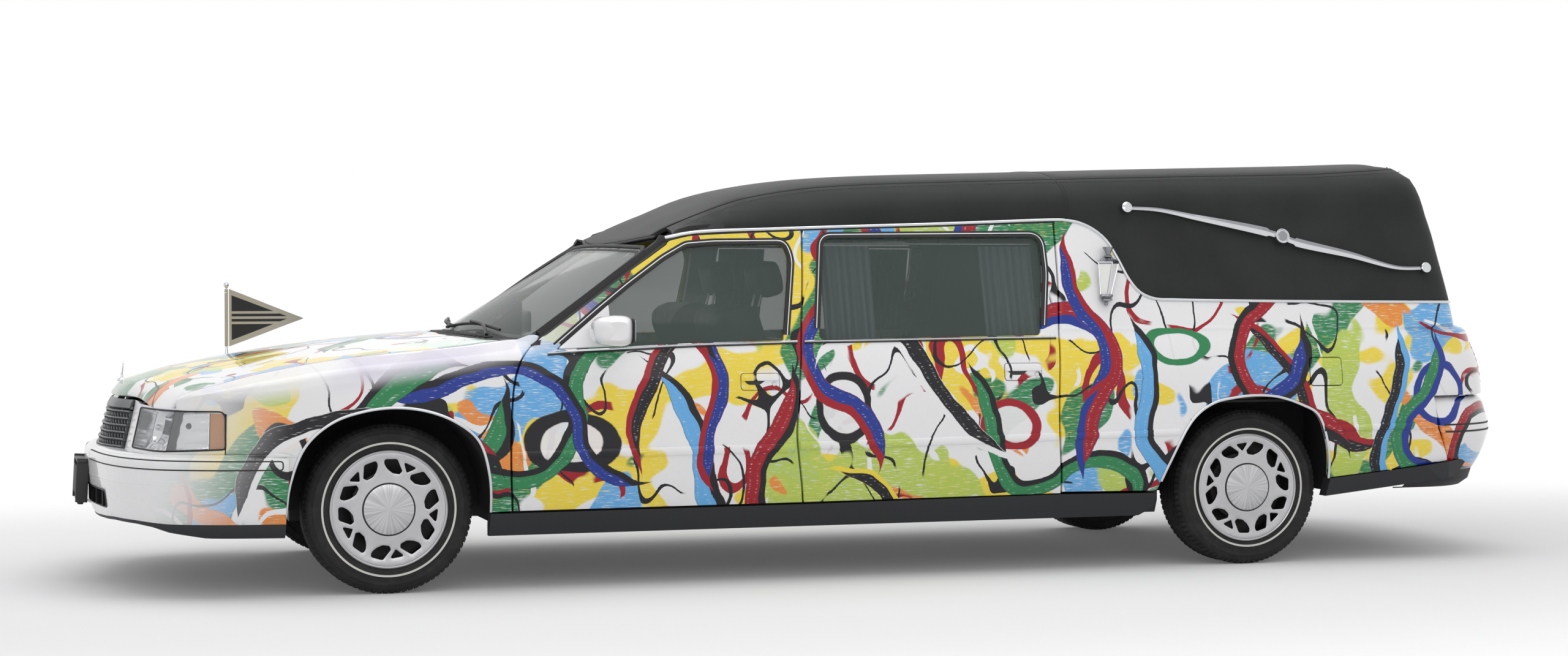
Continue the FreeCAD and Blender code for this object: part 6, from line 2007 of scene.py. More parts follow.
def build_front_bumper():
    s_of = lambda d: float(np.interp(-d, -FB_PLAN[:, 0], FB_S))
    plan = lambda s, values: float(np.interp(np.interp(abs(s), FB_S, FB_PLAN[:, 0]),
                                             [0.39, 0.70, 0.85, 0.91, 0.97, 1.043, 1.085, 1.10],
                                             values))
    low = lambda s: plan(s, [0.284, 0.286, 0.287, 0.290, 0.294, 0.293, 0.281, 0.275])
    arch = [(s_of(0.402), 0.284), (s_of(0.402), 0.34), (s_of(0.397), 0.40), (s_of(0.391), 0.45),
            (s_of(0.3905), 0.545)]
    ends = arch[0][0]
    line = [(s, low(s)) for s in np.linspace(-ends, ends, 60)] + arch[1:] \
        + [(s, 0.5485 + 0.0035 * float(smooth01((abs(s) - 0.9) / 0.3)))
           for s in np.linspace(arch[-1][0] - 0.01, -arch[-1][0] + 0.01, 60)] \
        + [(-s, z) for s, z in arch[:0:-1]]
    intake = rounded([(-0.46, 0.326), (0.46, 0.326), (0.46, 0.396), (-0.46, 0.396)],
                     [0.028, 0.028, 0.024, 0.024], 0.005)
    rows = (0.50, 0.51, 0.52, 0.526, 0.532, 0.538, 0.542, 0.546)
    plate("front_bumper", line, FRONT_BUMPER, "car", "paint", holes=[intake], thick=0.016,
          edge=0.0045, step=0.03, rows=rows, out=(1, 0, 0), replaces="front_bumper",
          slot="paint")
    # ledge between the bumper and the nose
    rowset = []
    for s in np.linspace(-1.32, 1.32, 90):
        a = point(FRONT_BUMPER, s, 0.5475)
        b = point(nose, s * 0.985, 0.553)
        m = a * 0.5 + b * 0.5
        rowset.append([a + (-0.002, 0, -0.004), a * 0.8 + b * 0.2 + (0, 0, 0.0045),
                       m + (0, 0, 0.0035), b + (0, 0, -0.003), b + (-0.020, 0, -0.006)])
    shell("bumper_ledge", rowset, "car", "paint", 0.006)
    # moulded panel line round the bumper: a rounded loop
    s0, s1 = 0.20, s_of(0.402) - 0.012
    for tag, sg in SIDES:
        loop = rounded([(sg * s0, 0.504), (sg * s1, 0.496), (sg * s1, 0.527), (sg * s0, 0.538)],
                       0.010, 0.004)
        loop = even(loop, 0.02)
        moulding("bumper_line" + tag, loop, FRONT_BUMPER, "car", "rubber", close=True, both=False,
                 out=(1, sg * 0.3, 0), profile=strip_profile(0.0028, 0.0012), lift=-0.0004)
        pad = [tuple(v) for v in inset_loop(loop if area2(loop) > 0 else loop[::-1], 0.0012)]
        plate("bumper_pad" + tag, pad, FRONT_BUMPER, "car", "paint", thick=0.006, edge=0.002,
              step=0.03, lift=0.0022, out=(1, sg * 0.3, 0))
    line = [(s, 0.442) for s in np.linspace(-1.22, 1.22, 120)]
    moulding("bumper_crease", line, FRONT_BUMPER, "car", "paint", both=False, out=(1, 0, 0),
             profile=strip_profile(0.010, 0.0012), lift=-0.0004)
    # intake
    plate("intake_back", offset(intake, 0.02, -0.004), set_back(FRONT_BUMPER, 0.070, (1, 0, 0)),
          "car", "rubber", thick=0.004, edge=0.0, step=0.05, out=(1, 0, 0))
    walls = []
    for s, z in even(intake, 0.015):
        p = point(FRONT_BUMPER, s, z)
        q = point(set_back(FRONT_BUMPER, 0.068, (1, 0, 0)), s, z)
        walls.append([p + (q - p) * 0.02, p + (q - p) * 0.10, p + (q - p) * 0.5, q])
    shell("intake_wall", walls, "car", "black_plastic", 0.003, close=True, flip=True)
    moulding("intake_rim", offset(intake, 0.012, 0.001), FRONT_BUMPER, "car", "black_plastic",
             close=True, both=False, out=(1, 0, 0), profile=strip_profile(0.006, 0.0022))
    verts, along, up = [], [], []
    for s in (-0.39, -0.26, -0.13, 0.0, 0.13, 0.26, 0.39):
        p = point(set_back(FRONT_BUMPER, 0.026, (1, 0, 0)), s, 0.361)
        verts.append(p)
        along.append((1, 0.2 * np.sign(s), 0))
        up.append((0, 0, 1))
    stand("intake_bars", verts, along, up, (0.050, 0.007, 0.074), "car", "black_plastic")
    # valance below
    rowset = []
    for s in np.linspace(-ends, ends, 90):
        p = point(FRONT_BUMPER, s, low(s))
        h = plan(s, [0.047, 0.046, 0.026, 0.012, 0.008, 0.007, 0.006, 0.006])
        inw = inwards(p, AXLE_F + 0.55)
        rowset.append([p + inw * 0.004 + (0, 0, 0.012), p + inw * 0.005 + (0, 0, -0.002),
                       p + inw * 0.010 + (0, 0, -h * 0.75), p + inw * 0.020 + (0, 0, -h),
                       p + inw * 0.080 + (0, 0, -h), p + inw * 0.15 + (0, 0, -h * 0.8)])
    shell("front_valance", rowset, "car", "dark_trim", 0.005)
    # number plate bracket
    lump("plate_bracket", (0.024, 0.316, 0.172), (AXLE_F + 1.1235, 0, 0.402), "car",
         "black_plastic", 0.006, 3, (0, -3, 0), replaces="plate_holder")
    lump("plate_lip_top", (0.040, 0.326, 0.010), (AXLE_F + 1.119, 0, 0.487), "car",
         "black_plastic", 0.004, 3, (0, -3, 0))
    lump("plate_blank", (0.004, 0.296, 0.110), (AXLE_F + 1.1425, 0, 0.412), "car", "dark_trim",
         0.0015, 2, (0, -3, 0))
    for y in (-0.154, 0.154):
        lump("plate_side_%d" % (y > 0), (0.048, 0.010, 0.176), (AXLE_F + 1.120, y, 0.412), "car",
             "black_plastic", 0.004, 3, (0, -3, 0))


def build_rear_bumper():
    s_of = lambda d: float(np.interp(d, RB_PLAN[:, 0], RB_S))
    edge = [(-4.5245, 0.7035), (-4.548, 0.565), (-4.575, 0.500), (-4.603, 0.446)]
    side = [(s_of(d), z) for d, z in edge]
    line = [(s, 0.3755) for s in np.linspace(-1.0, 1.0, 40)]
    low = [(s_of(-4.606), 0.415), (s_of(-4.62), 0.3755)]
    line += low[::-1] + side[::-1]
    line += [(s, 0.7035) for s in np.linspace(side[0][0] - 0.02, -side[0][0] + 0.02, 60)]
    line += [(-s, z) for s, z in side] + [(-s, z) for s, z in low]
    rows = (0.67, 0.68, 0.69, 0.696)
    plate("rear_bumper", line, REAR_BUMPER, "car", "paint", thick=0.016, edge=0.0045, step=0.03,
          rows=rows, out=(-1, 0, 0), replaces="rear_bumper", slot="paint")
    rowset = []
    for s in np.linspace(-side[0][0] + 0.004, side[0][0] - 0.004, 80):
        a = point(REAR_BUMPER, s, 0.7025)
        inw = inwards(a, AXLE_F - 4.2)
        rowset.append([a + (0, 0, -0.004), a + inw * 0.004 + (0, 0, 0.0015),
                       a + inw * 0.05 + (0, 0, 0.0015)])
    shell("rear_bumper_step", rowset, "car", "paint", 0.005, flip=True)
    for k, z in enumerate((0.583, 0.553)):
        pts = [(s, z) for s in np.linspace(-side[1][0] + 0.02, side[1][0] - 0.02, 120)]
        moulding("rear_bumper_line_%d" % k, pts, REAR_BUMPER, "car", "rubber", both=False,
                 out=(-1, 0, 0), profile=strip_profile(0.0028, 0.0012), lift=-0.0004)
    rowset = []
    for s in np.linspace(-1.32, 1.32, 80):
        p = point(REAR_BUMPER, s, 0.3755)
        inw = inwards(p, AXLE_F - 4.3)
        rowset.append([p + inw * 0.004 + (0, 0, 0.010), p + inw * 0.006 + (0, 0, -0.004),
                       p + inw * 0.018 + (0, 0, -0.040), p + inw * 0.055 + (0, 0, -0.066),
                       p + inw * 0.12 + (0, 0, -0.072)])
    shell("rear_valance", rowset, "car", "dark_trim", 0.005, flip=True)


# ---- wheels -------------------------------------------------------------------------
def face_y(r):
    """Outward dish of the wheel face by radius."""
    return curve([(0.0, 0.010), (0.098, 0.010), (0.135, 0.009), (0.190, 0.011), (0.203, 0.013),
                  (0.2205, 0.015)])(r)


SPOKE_D = [(-31.0, 0.195), (-16.8, 0.197), (-6.8, 0.156), (-9.3, 0.142), (-19.5, 0.1405),
           (-28.0, 0.156), (-32.0, 0.178)]
SPOKE_D_RADII = [0.010, 0.012, 0.007, 0.007, 0.012, 0.05, 0.05]
SPOKE_TRI = [(-8.5, 0.191), (8.5, 0.191), (0.0, 0.157)]


def opening(points, radii, mid, hand=1):
    """Rounded opening in the wheel face, by angle from a spoke group's middle and radius."""
    pts = [(r * math.sin(math.radians(mid + hand * a)), r * math.cos(math.radians(mid + hand * a)))
           for a, r in points]
    return rounded(pts, radii, 0.004)


# key in the body's name, side, axle, how far out, end of the car
WHEELS = [("fl", "left", AXLE_F, HALF_TRACK, "front"), ("fr", "right", AXLE_F, -HALF_TRACK, "front"),
          ("rl", "left", AXLE_R, HALF_TRACK, "rear"), ("rr", "right", AXLE_R, -HALF_TRACK, "rear")]


def set_wheel(ob, x, y, flip):
    """Move a wheel piece from its own centre to an axle end."""
    v = np.array([p.co for p in ob.data.vertices])
    if flip:
        v[:, 1] *= -1
        ob.data.flip_normals()
    v += (x, y, WHEEL_Z)
    ob.data.vertices.foreach_set("co", v.ravel())
    ob.data.update()
    return ob


def build_wheels(cfg):
    half = [(0.224, 0.086), (0.2235, 0.094), (0.228, 0.099), (0.236, 0.1010), (0.2505, 0.1060),
            (0.2520, 0.1072), (0.2625, 0.1078), (0.2640, 0.1070), (0.276, 0.1072),
            (0.288, 0.1050), (0.2895, 0.1062), (0.293, 0.1056), (0.2945, 0.1040), (0.304, 0.1005),
            (0.3125, 0.0955), (0.3195, 0.0870), (0.3235, 0.0760), (0.3260, 0.0620)]
    grooves = []
    for y0 in (0.048, 0.020):
        grooves += [(0.3272, y0 + 0.004), (0.3200, y0 + 0.0032), (0.3200, y0 - 0.0032),
                    (0.3276, y0 - 0.004)]
    prof = half + grooves + [(0.3280, 0.0)]
    prof = prof + [(r, -y) for r, y in prof[::-1][1:]]
    inner = [(0.222, -0.080), (0.225, 0.0), (0.222, 0.080)]
    loop = prof + inner
    for key, side, x, y, end in WHEELS:
        out = 1 if side == "left" else -1
        body = "wheel_" + key
        v, f = lathe(loop + [loop[0]], 144)
        ob = piece("tyre_" + key, v, f, body, "tyre_rubber", flat_angle=50,
                   replaces="tyre_%s_%s" % (end, side), slot="tyre")
        set_wheel(fix_normals(ob), x, y, False)
        r0 = 0.2575 if end == "front" else 0.2495
        v, f = lathe([(r0 - 0.0042, 0.1060), (r0 - 0.0038, 0.1086), (r0 + 0.0038, 0.1090),
                      (r0 + 0.0042, 0.1060), (r0 - 0.0042, 0.1060)], 144)
        v = np.array(v) * (1, out, 1)
        set_wheel(fix_normals(piece("tyre_stripe_" + key, v, f, body, "white_line")), x, y, False)
        tread_blocks(cfg, key, x, y, body)
        wheel_face(key, side, x, y, body, end)


def tread_blocks(cfg, key, x, y, body):
    verts, along, up, n = [], [], [], cfg.tread_blocks
    for i in range(n):
        for k, (r, yy, tilt) in enumerate(((0.3205, 0.0835, 0.62), (0.3255, 0.0625, 0.12))):
            for s in (1, -1):
                a = 2 * math.pi * (i + 0.5 * (s > 0) + 0.15 * k) / n
                c = np.array([math.sin(a), 0, math.cos(a)])
                verts.append(c * r + (x, s * yy + y, WHEEL_Z))
                along.append((0.12 * c[2], s, -0.12 * c[0]) - c * tilt)
                up.append(c + np.array((0, s * tilt, 0)))
    stand("tread_" + key, verts, along, up, (0.022, 0.0155, 0.006), body, "tyre_rubber")


def wheel_face(key, side, x, y, body, end):
    first = {"fl": -26.4, "fr": 10.0, "rl": 8.0, "rr": 40.0}[key]
    holes = []
    for mid in (first + 72 * g for g in range(5)):
        holes += [opening(SPOKE_D, SPOKE_D_RADII, mid, hand) for hand in (1, -1)]
        holes.append(opening(SPOKE_TRI, [0.006, 0.006, 0.004], mid))
    circle = [(0.2205 * math.cos(a), 0.2205 * math.sin(a))
              for a in np.linspace(0, 2 * math.pi, 97)[:-1]]

    def dish(u, v):
        r = np.hypot(u, v)
        return np.stack([u, 0.088 + face_y(r), v], -1)

    ob = plate("rim_face_" + key, circle, dish, body, "machined_alloy", holes=holes, thick=0.013,
               edge=0.0028, step=0.012, out=(0, 1, 0), slot="alloy",
               replaces="rim_%s_%s" % (end, side))
    set_wheel(ob, x, y, side == "right")
    parts = [
        ("rim_lip", [(0.2195, 0.098), (0.2205, 0.1045), (0.2245, 0.1065), (0.2285, 0.104),
                     (0.229, 0.097), (0.223, 0.090), (0.2195, 0.098)], "machined_alloy"),
        ("rim_barrel", [(0.222, 0.096), (0.2165, 0.080), (0.213, 0.020), (0.206, -0.060),
                        (0.213, -0.085), (0.224, -0.092), (0.226, -0.088), (0.216, -0.078),
                        (0.2105, -0.058), (0.217, 0.020), (0.2215, 0.078), (0.225, 0.094),
                        (0.222, 0.096)], "satin_steel"),
        ("wheel_cap", [(0.0001, 0.1075), (0.060, 0.1065), (0.092, 0.1035), (0.0975, 0.1015),
                       (0.0990, 0.0985), (0.0990, 0.092), (0.0001, 0.092)], "cap_alloy"),
        ("cap_ring", [(0.0990, 0.094), (0.0990, 0.0990), (0.1035, 0.0992), (0.1035, 0.094),
                      (0.0990, 0.094)], "rubber"),
        ("brake_shield", [(0.050, 0.002), (0.206, 0.002), (0.208, -0.004), (0.050, -0.004),
                          (0.050, 0.002)], "satin_steel"),
        ("brake_disc", [(0.060, 0.020), (0.060, 0.034), (0.140, 0.034), (0.141, 0.010),
                        (0.060, 0.010), (0.060, 0.020)], "iron"),
        ("hub_drum", [(0.0001, 0.070), (0.058, 0.068), (0.068, 0.050), (0.078, 0.030),
                      (0.078, -0.030), (0.0001, -0.030)], "cast"),
    ]
    for name, prof, fin in parts:
        v, f = lathe(prof, 96)
        set_wheel(fix_normals(piece(name + "_" + key, v, f, body, fin)), x, y, side == "right")


# ---- fittings on the body -------------------------------------------------------------
def blob(name, rows, body, finish, replaces=(), mirror=True, **kw):
    """Closed round form from rings of points; the ends close on their centres."""
    rings = [np.array(r, float) for r in rows]
    n = len(rings[0])
    verts = np.concatenate([[rings[0].mean(0)]] + rings + [[rings[-1].mean(0)]])
    faces = [(0, 1 + (i + 1) % n, 1 + i) for i in range(n)]
    for k in range(len(rings) - 1):
        for i in range(n):
            j = (i + 1) % n
            a = 1 + k * n
            faces.append((a + i, a + j, a + n + j, a + n + i))
    last, a = len(verts) - 1, 1 + (len(rings) - 1) * n
    faces += [(last, a + i, a + (i + 1) % n) for i in range(n)]
    made = []
    for tag, s in (SIDES if mirror else CENTRE):
        b = turned(body, "right") if s < 0 else body
        reps = [turned(r, "right") if s < 0 else r for r in
                ([replaces] if isinstance(replaces, str) else replaces)]
        ob = piece(name + tag, verts * np.array([1, s, 1]), faces, b, finish, replaces=reps, **kw)
        made.append(fix_normals(ob))
    return made


def build_mirrors():
    """White sail panel in the corner of the front window, cup and glass."""
    sides("mirror_sail", SAIL, flank, "front_door_l", "white_paint", thick=0.012, edge=0.003,
          step=0.02, lift=0.004)
    mid_d, mid_z = -0.853, 1.016
    rows = []
    for t in np.linspace(0, 1, 22):
        y = 1.088 - 0.150 * t
        swell = math.sin(math.pi * min(0.5, 0.10 + t * 1.1)) ** 0.45
        k = float(smooth01((t - 0.62) / 0.38))
        hx, hz = 0.078 * swell * (1 - 0.45 * k), 0.061 * swell * (1 - 0.35 * k)
        ring_ = []
        for a in np.linspace(0, 2 * math.pi, 41)[:-1]:
            ca, sa = math.cos(a), math.sin(a)
            px = math.copysign(abs(ca) ** 0.55, ca)
            pz = math.copysign(abs(sa) ** 0.55, sa)
            lean = 0.010 * px if px > 0 else 0.0
            ring_.append((AXLE_F + mid_d + 0.030 * k + hx * px, y - lean,
                          mid_z - 0.006 * k + hz * pz * (1.0 - 0.12 * max(px, 0.0))))
        rows.append(ring_)
    blob("mirror_cup", rows, "front_door_l", "white_paint", "mirror_left")
    glass = rounded([(-0.062, -0.048), (0.062, -0.048), (0.062, 0.048), (-0.062, 0.048)], 0.020,
                    0.004)
    for name, k, off, fin in (("mirror_rim", 1.0, 0.0, "black_plastic"),
                              ("mirror_glass", 0.92, 0.003, "chrome")):
        sides(name, [(u * k, v * k) for u, v in glass],
              lambda u, v, off=off: np.stack([AXLE_F + mid_d - 0.0765 - off + 0 * u, 1.018 + u,
                                              mid_z + v], -1),
              "front_door_l", fin, thick=0.006, edge=0.0015, step=0.02, out=(-1, 0, 0))


def build_coach_lamps():
    """Tapered four-sided lantern with bright posts on each rear quarter."""
    z0, z1 = 1.148, 1.285
    centre = lambda z: (AXLE_F - 2.999 - 0.16 * (z - z0), green_y(z))

    def corners(z, grow=1.0):
        t = (z - z0) / (z1 - z0)
        x, y = centre(z)
        w, dep = (0.023 + 0.022 * t) * grow, (0.020 + 0.018 * t) * grow
        return [(x + w, y + dep * 0.9, z), (x, y + dep * 1.9, z), (x - w, y + dep * 0.9, z),
                (x, y + 0.002, z)]

    rows = [corners(z) for z in np.linspace(z0, z1, 8)]
    blob("coach_lamp_glass", rows, "car", "frosted", "coach_lamps", smooth=False)
    for k in range(3):
        pts = [np.array(r[k]) for r in rows]
        tube("coach_lamp_post_%d" % k, pts, 0.0036, "car", "chrome", 8, both_sides=True)
    # rails, roof, crown and base in a darker copy of chrome: painted shade on the bright metal
    for name, z in (("low", z0 + 0.002), ("high", z1 - 0.002)):
        c = [np.array(q) for q in corners(z)[:3]]
        tube("coach_lamp_rail_" + name, c, 0.0036, "car", "steel_shade", 8, both_sides=True)
    roof = [corners(z1, 1.06), corners(z1 + 0.004, 1.02), corners(z1 + 0.022, 0.50),
            corners(z1 + 0.026, 0.42)]
    blob("coach_lamp_roof", roof, "car", "steel_shade", smooth=False)
    for name, prof, z in (
            ("crown", [(0.0001, 0.0), (0.016, 0.0), (0.017, 0.005), (0.010, 0.010),
                       (0.013, 0.020), (0.022, 0.036), (0.023, 0.042), (0.017, 0.038),
                       (0.008, 0.026), (0.0001, 0.024)], z1 + 0.024),
            ("base", [(0.0001, 0.004), (0.026, 0.004), (0.029, -0.002), (0.026, -0.007),
                      (0.021, -0.010), (0.026, -0.015), (0.024, -0.022), (0.012, -0.027),
                      (0.007, -0.030), (0.009, -0.036), (0.006, -0.042), (0.0001, -0.044)], z0)):
        x, y = centre(z)
        v, f = lathe(prof, 32, "z", (x, y + 0.024, z))
        for made in pair("coach_lamp_" + name, np.array(v), f, "car", "steel_shade"):
            fix_normals(made)
    for name, z, h in (("top", 1.262, 0.030), ("foot", 1.160, 0.024)):
        lump("coach_lamp_mount_" + name, (0.030, 0.022, h),
             (AXLE_F - 3.006, green_y(z) + 0.004, z), "car", "chrome", 0.004, 3, both_sides=True)


def build_landau():
    line = spline([(-3.130, 1.512), (-3.275, 1.504), (-3.451, 1.472), (-3.760, 1.413),
                   (-3.843, 1.391), (-3.901, 1.369), (-4.166, 1.313), (-4.384, 1.260),
                   (-4.522, 1.258)], 0.012)
    uv = np.array([(wrap_at(green_wrap, z, x=d), z) for d, z in line])
    p = green_wrap(uv[:, 0], uv[:, 1])
    n = np.tile(np.array([0.0, 0.966, 0.259]), (len(p), 1))
    s = np.concatenate([[0], np.cumsum(np.linalg.norm(np.diff(p, axis=0), axis=1))])
    t = s / s[-1]
    mid = float(t[np.argmin(np.abs(p[:, 0] - (AXLE_F - 3.843)))])
    away = np.abs(t - mid)
    wide = 0.0075 + 0.0135 * smooth01(1.0 - away / 0.50) - 0.007 * (away < 0.045)
    stand = 0.016 + 0.010 * np.sin(np.pi * np.clip(t, 0, 1))
    tan = np.gradient(p, axis=0)
    tan /= np.linalg.norm(tan, axis=1, keepdims=True)
    sd = np.cross(n, tan)
    up = 1 if sd[0][2] > 0 else -1
    # the bar is split along its ridge: one face chrome, the other a darker copy of chrome, painted
    # shade on that side
    for name, fin, prof in (
            ("bar", "chrome", [(0.06, 0.0070), (-0.94, 0.0008), (-1.0, -0.0030), (0.06, -0.0030)]),
            ("edge", "steel_shade", [(1.0, -0.0030), (0.94, 0.0008), (0.07, 0.0068),
                                     (0.07, -0.0030)])):
        k = len(prof)
        verts = np.array([p[i] + n[i] * (stand[i] + b) + sd[i] * a * up * wide[i]
                          for i in range(len(p)) for a, b in prof])
        faces = [(i * k + q, i * k + (q + 1) % k, (i + 1) * k + (q + 1) % k, (i + 1) * k + q)
                 for i in range(len(p) - 1) for q in range(k)]
        faces += [tuple(range(k)), tuple((len(p) - 1) * k + q for q in range(k))[::-1]]
        for made in pair("landau_" + name, verts, faces, "car", fin,
                         replaces="landau_bars" if name == "bar" else ()):
            fix_normals(made)
    disc = [(0.0001, 0.0320), (0.0195, 0.0316), (0.0225, 0.0296), (0.0232, 0.0250),
            (0.0225, 0.0150), (0.0125, 0.013), (0.0115, 0.0), (0.0001, 0.0)]
    boss = [(0.0001, 0.0365), (0.0235, 0.0365), (0.0250, 0.0362), (0.0268, 0.0362),
            (0.0285, 0.0385), (0.0318, 0.0378), (0.0330, 0.0350), (0.0330, 0.0250),
            (0.0140, 0.0200), (0.0120, 0.0), (0.0001, 0.0)]
    plain = [(0.0001, 0.0392), (0.0200, 0.0388), (0.0225, 0.0375), (0.0230, 0.0360),
             (0.0001, 0.0360)]
    centre = int(np.argmin(np.abs(t - mid)))
    # the boss's flat face in a darker copy of chrome: painted shade
    for name, i, profile, fin in (("front", 0, disc, "chrome"), ("rear", len(p) - 1, disc, "chrome"),
                                  ("boss", centre, boss, "chrome"),
                                  ("boss_face", centre, plain, "steel_shade")):
        v, f = lathe(profile, 48, "x")
        ob = piece("landau_%s_left" % name, v, f, "car", fin)
        place(ob, p[i], n[i])
        w = np.array([q.co for q in ob.data.vertices]) * (1, -1, 1)
        fs = [tuple(q.vertices)[::-1] for q in ob.data.polygons]
        piece("landau_%s_right" % name, w, fs, "car", fin)


def build_flag():
    """Bright staff with a ball and collar, and a cloth pennant sewn round it."""
    x, y = AXLE_F + 0.484, -0.600
    foot = float(point(hood_top, 0.484, -0.600)[2])
    prof = [(0.0001, -0.006), (0.020, -0.006), (0.020, 0.000), (0.016, 0.004), (0.009, 0.007),
            (0.007, 0.014), (0.0062, 0.030), (0.0050, 0.034), (0.0040, 0.060)]
    top = 1.201 - foot
    prof += [(0.0040, top - 0.052), (0.0075, top - 0.050), (0.0080, top - 0.044),
             (0.0045, top - 0.040), (0.0040, top - 0.026), (0.0080, top - 0.022),
             (0.0115, top - 0.015), (0.0120, top - 0.011), (0.0100, top - 0.004),
             (0.0055, top - 0.001), (0.0001, top)]
    round_form("flag_rod", prof, "hood_leaf", "chrome", 24, at=(x, y, foot),
               replaces="flag_staff")
    # pennant: full height at the staff, a point at the free end
    n, m = 60, 30
    g = np.zeros((n + 1, m + 1, 3))
    for i in range(n + 1):
        u = i / n
        for j in range(m + 1):
            w = j / m * 2 - 1
            half = (FLAG_HIGH / 2) * (1 - u) + 0.0018
            droop = 0.004 * u
            sway = 0.010 * math.sin(u * 7.0 + w * 0.5) * u ** 0.8
            g[i, j] = (FLAG_POLE[0] - 0.006 - u * (FLAG_LENGTH - 0.004), y + sway,
                       FLAG_POLE[1] - FLAG_HIGH / 2 + w * half - droop)
    top, low = g + (0, 0.0009, 0), g - (0, 0.0009, 0)
    verts = np.concatenate([top.reshape(-1, 3), low.reshape(-1, 3)])
    c, k = m + 1, (n + 1) * (m + 1)
    faces = []
    for i in range(n):
        for j in range(m):
            q = (i * c + j, (i + 1) * c + j, (i + 1) * c + j + 1, i * c + j + 1)
            faces += [q, tuple(a + k for a in q[::-1])]
        for j, s in ((0, 1), (m, -1)):
            q = (i * c + j, i * c + j + k, (i + 1) * c + j + k, (i + 1) * c + j)
            faces.append(q[::s])
    for i in (0, n):
        for j in range(m):
            faces.append((i * c + j, i * c + j + 1, i * c + j + 1 + k, i * c + j + k))
    cloth = fix_normals(piece("pennant_cloth", verts, faces, "hood_leaf", "pennant",
                              replaces="flag"))
    hem, end = FLAG_POLE[1], FLAG_POLE[1] - FLAG_HIGH
    round_form("pennant_sleeve", [(0.0070, hem + 0.001), (0.0078, hem - 0.004),
                                  (0.0076, end + 0.004), (0.0070, end - 0.001), (0.0046, end),
                                  (0.0046, hem), (0.0070, hem + 0.001)],
               "hood_leaf", "pennant", 20, at=(x, y, 0))


# ---- inside ---------------------------------------------------------------------------
def pad(name, size, at, turn, fill, crown=0.16, tufts=0, body="car", finish="leather"):
    """Upholstered block: a crowned closed form with drawn-in seams between
    channels, pressed out by a short cloth simulation."""
    me = bpy.data.meshes.new(name)
    bm = bmesh.new()
    bmesh.ops.create_cube(bm, size=1.0)
    for v in bm.verts:
        v.co = Vector((v.co.x * size[0], v.co.y * size[1], v.co.z * size[2])) * 0.95
    bmesh.ops.bevel(bm, geom=bm.edges[:], offset=min(size) * 0.28, segments=4, profile=0.6,
                    affect="EDGES", clamp_overlap=True)
    bm.to_mesh(me)
    bm.free()
    ob = bpy.data.objects.new(name, me)
    bpy.context.collection.objects.link(ob)
    mod = ob.modifiers.new("voxels", "REMESH")
    mod.mode, mod.voxel_size = "VOXEL", 0.012
    flatten(ob)
    start = np.array([v.co for v in ob.data.vertices])
    cloth = ob.modifiers.new("cloth", "CLOTH")
    s = cloth.settings
    s.use_pressure, s.uniform_pressure_force = True, 4.0
    s.effector_weights.gravity = 0.0
    s.quality = 4
    s.tension_stiffness = s.compression_stiffness = 20
    cloth.point_cache.frame_start, cloth.point_cache.frame_end = 1, 14
    scene = bpy.context.scene
    for fr in range(1, 15):
        scene.frame_set(fr)
    flatten(ob)
    scene.frame_set(1)
    now = np.array([v.co for v in ob.data.vertices])
    move = now - start
    long = np.linalg.norm(move, axis=1, keepdims=True)
    now = start + move * np.minimum(1, 0.016 / np.maximum(long, 1e-9))
    ob.data.vertices.foreach_set("co", now.ravel())
    v = np.array([p.co for p in ob.data.vertices])
    u = v / (np.array(size) / 2)
    v[:, 2] += size[2] * crown * np.clip(1 - u[:, 0] ** 2, 0, 1) * np.clip(1 - u[:, 1] ** 2, 0, 1) \
        * np.clip(u[:, 2], 0, 1)
    v[:, :2] *= 1 + 0.018 * np.clip(1 - u[:, 2:3] ** 2, 0, 1)
    if tufts:
        for k in range(tufts):
            c = (k + 1) / (tufts + 1) * 2 - 1
            dent = np.exp(-((u[:, 1] - c) / 0.045) ** 2) * (u[:, 2] > 0)
            v[:, 2] -= 0.010 * dent
        edge = np.exp(-((np.abs(u[:, 1]) - 0.80) / 0.04) ** 2) * (u[:, 2] > 0)
        v[:, 2] -= 0.008 * edge
    ob.data.vertices.foreach_set("co", v.ravel())
    ob.data.transform(Matrix.Translation(at) @ Euler([math.radians(a) for a in turn])
                      .to_matrix().to_4x4())
    ob.data.update()
    dress(ob, body, finish, True, 180, slot="seat")
    return ob


def flatten(ob):
    """Apply every modifier of an object."""
    deps = bpy.context.evaluated_depsgraph_get()
    me = bpy.data.meshes.new_from_object(ob.evaluated_get(deps))
    ob.modifiers.clear()
    ob.data = me
    return ob


def build_seats():
    for k, y in enumerate((0.370, -0.370)):
        x = AXLE_F - 1.250
        cushion = pad("seat_cushion_%d" % k, (0.520, 0.520, 0.170), (x + 0.020, y, 0.545),
                      (0, -8, 0), 0.7, tufts=2)
        pad("seat_back_%d" % k, (0.560, 0.500, 0.160), (x - 0.300, y, 0.855), (0, -72, 0),
            0.7, tufts=2)
        pad("head_rest_%d" % k, (0.150, 0.260, 0.100), (x - 0.405, y, 1.215), (0, -76, 0),
            0.8, crown=0.10)
        if k == 0:
            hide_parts("front_seats")
        lump("seat_base_%d" % k, (0.50, 0.46, 0.12), (x, y, 0.430), "car", "dark_trim", 0.03, 3)
        for s in (-0.05, 0.05):
            tube("head_rest_post_%d_%d" % (k, s > 0),
                 [(x - 0.372, y + s, 1.10), (x - 0.392, y + s, 1.18)], 0.006, "car", "chrome", 10)
    lump("centre_console", (0.55, 0.17, 0.20), (AXLE_F - 1.16, 0, 0.50), "car", "dark_trim",
         0.035, 4)
    lump("partition_shelf", (0.05, 1.30, 0.42), (AXLE_F - 1.735, 0, 0.66), "car", "carpet",
         0.02, 3)


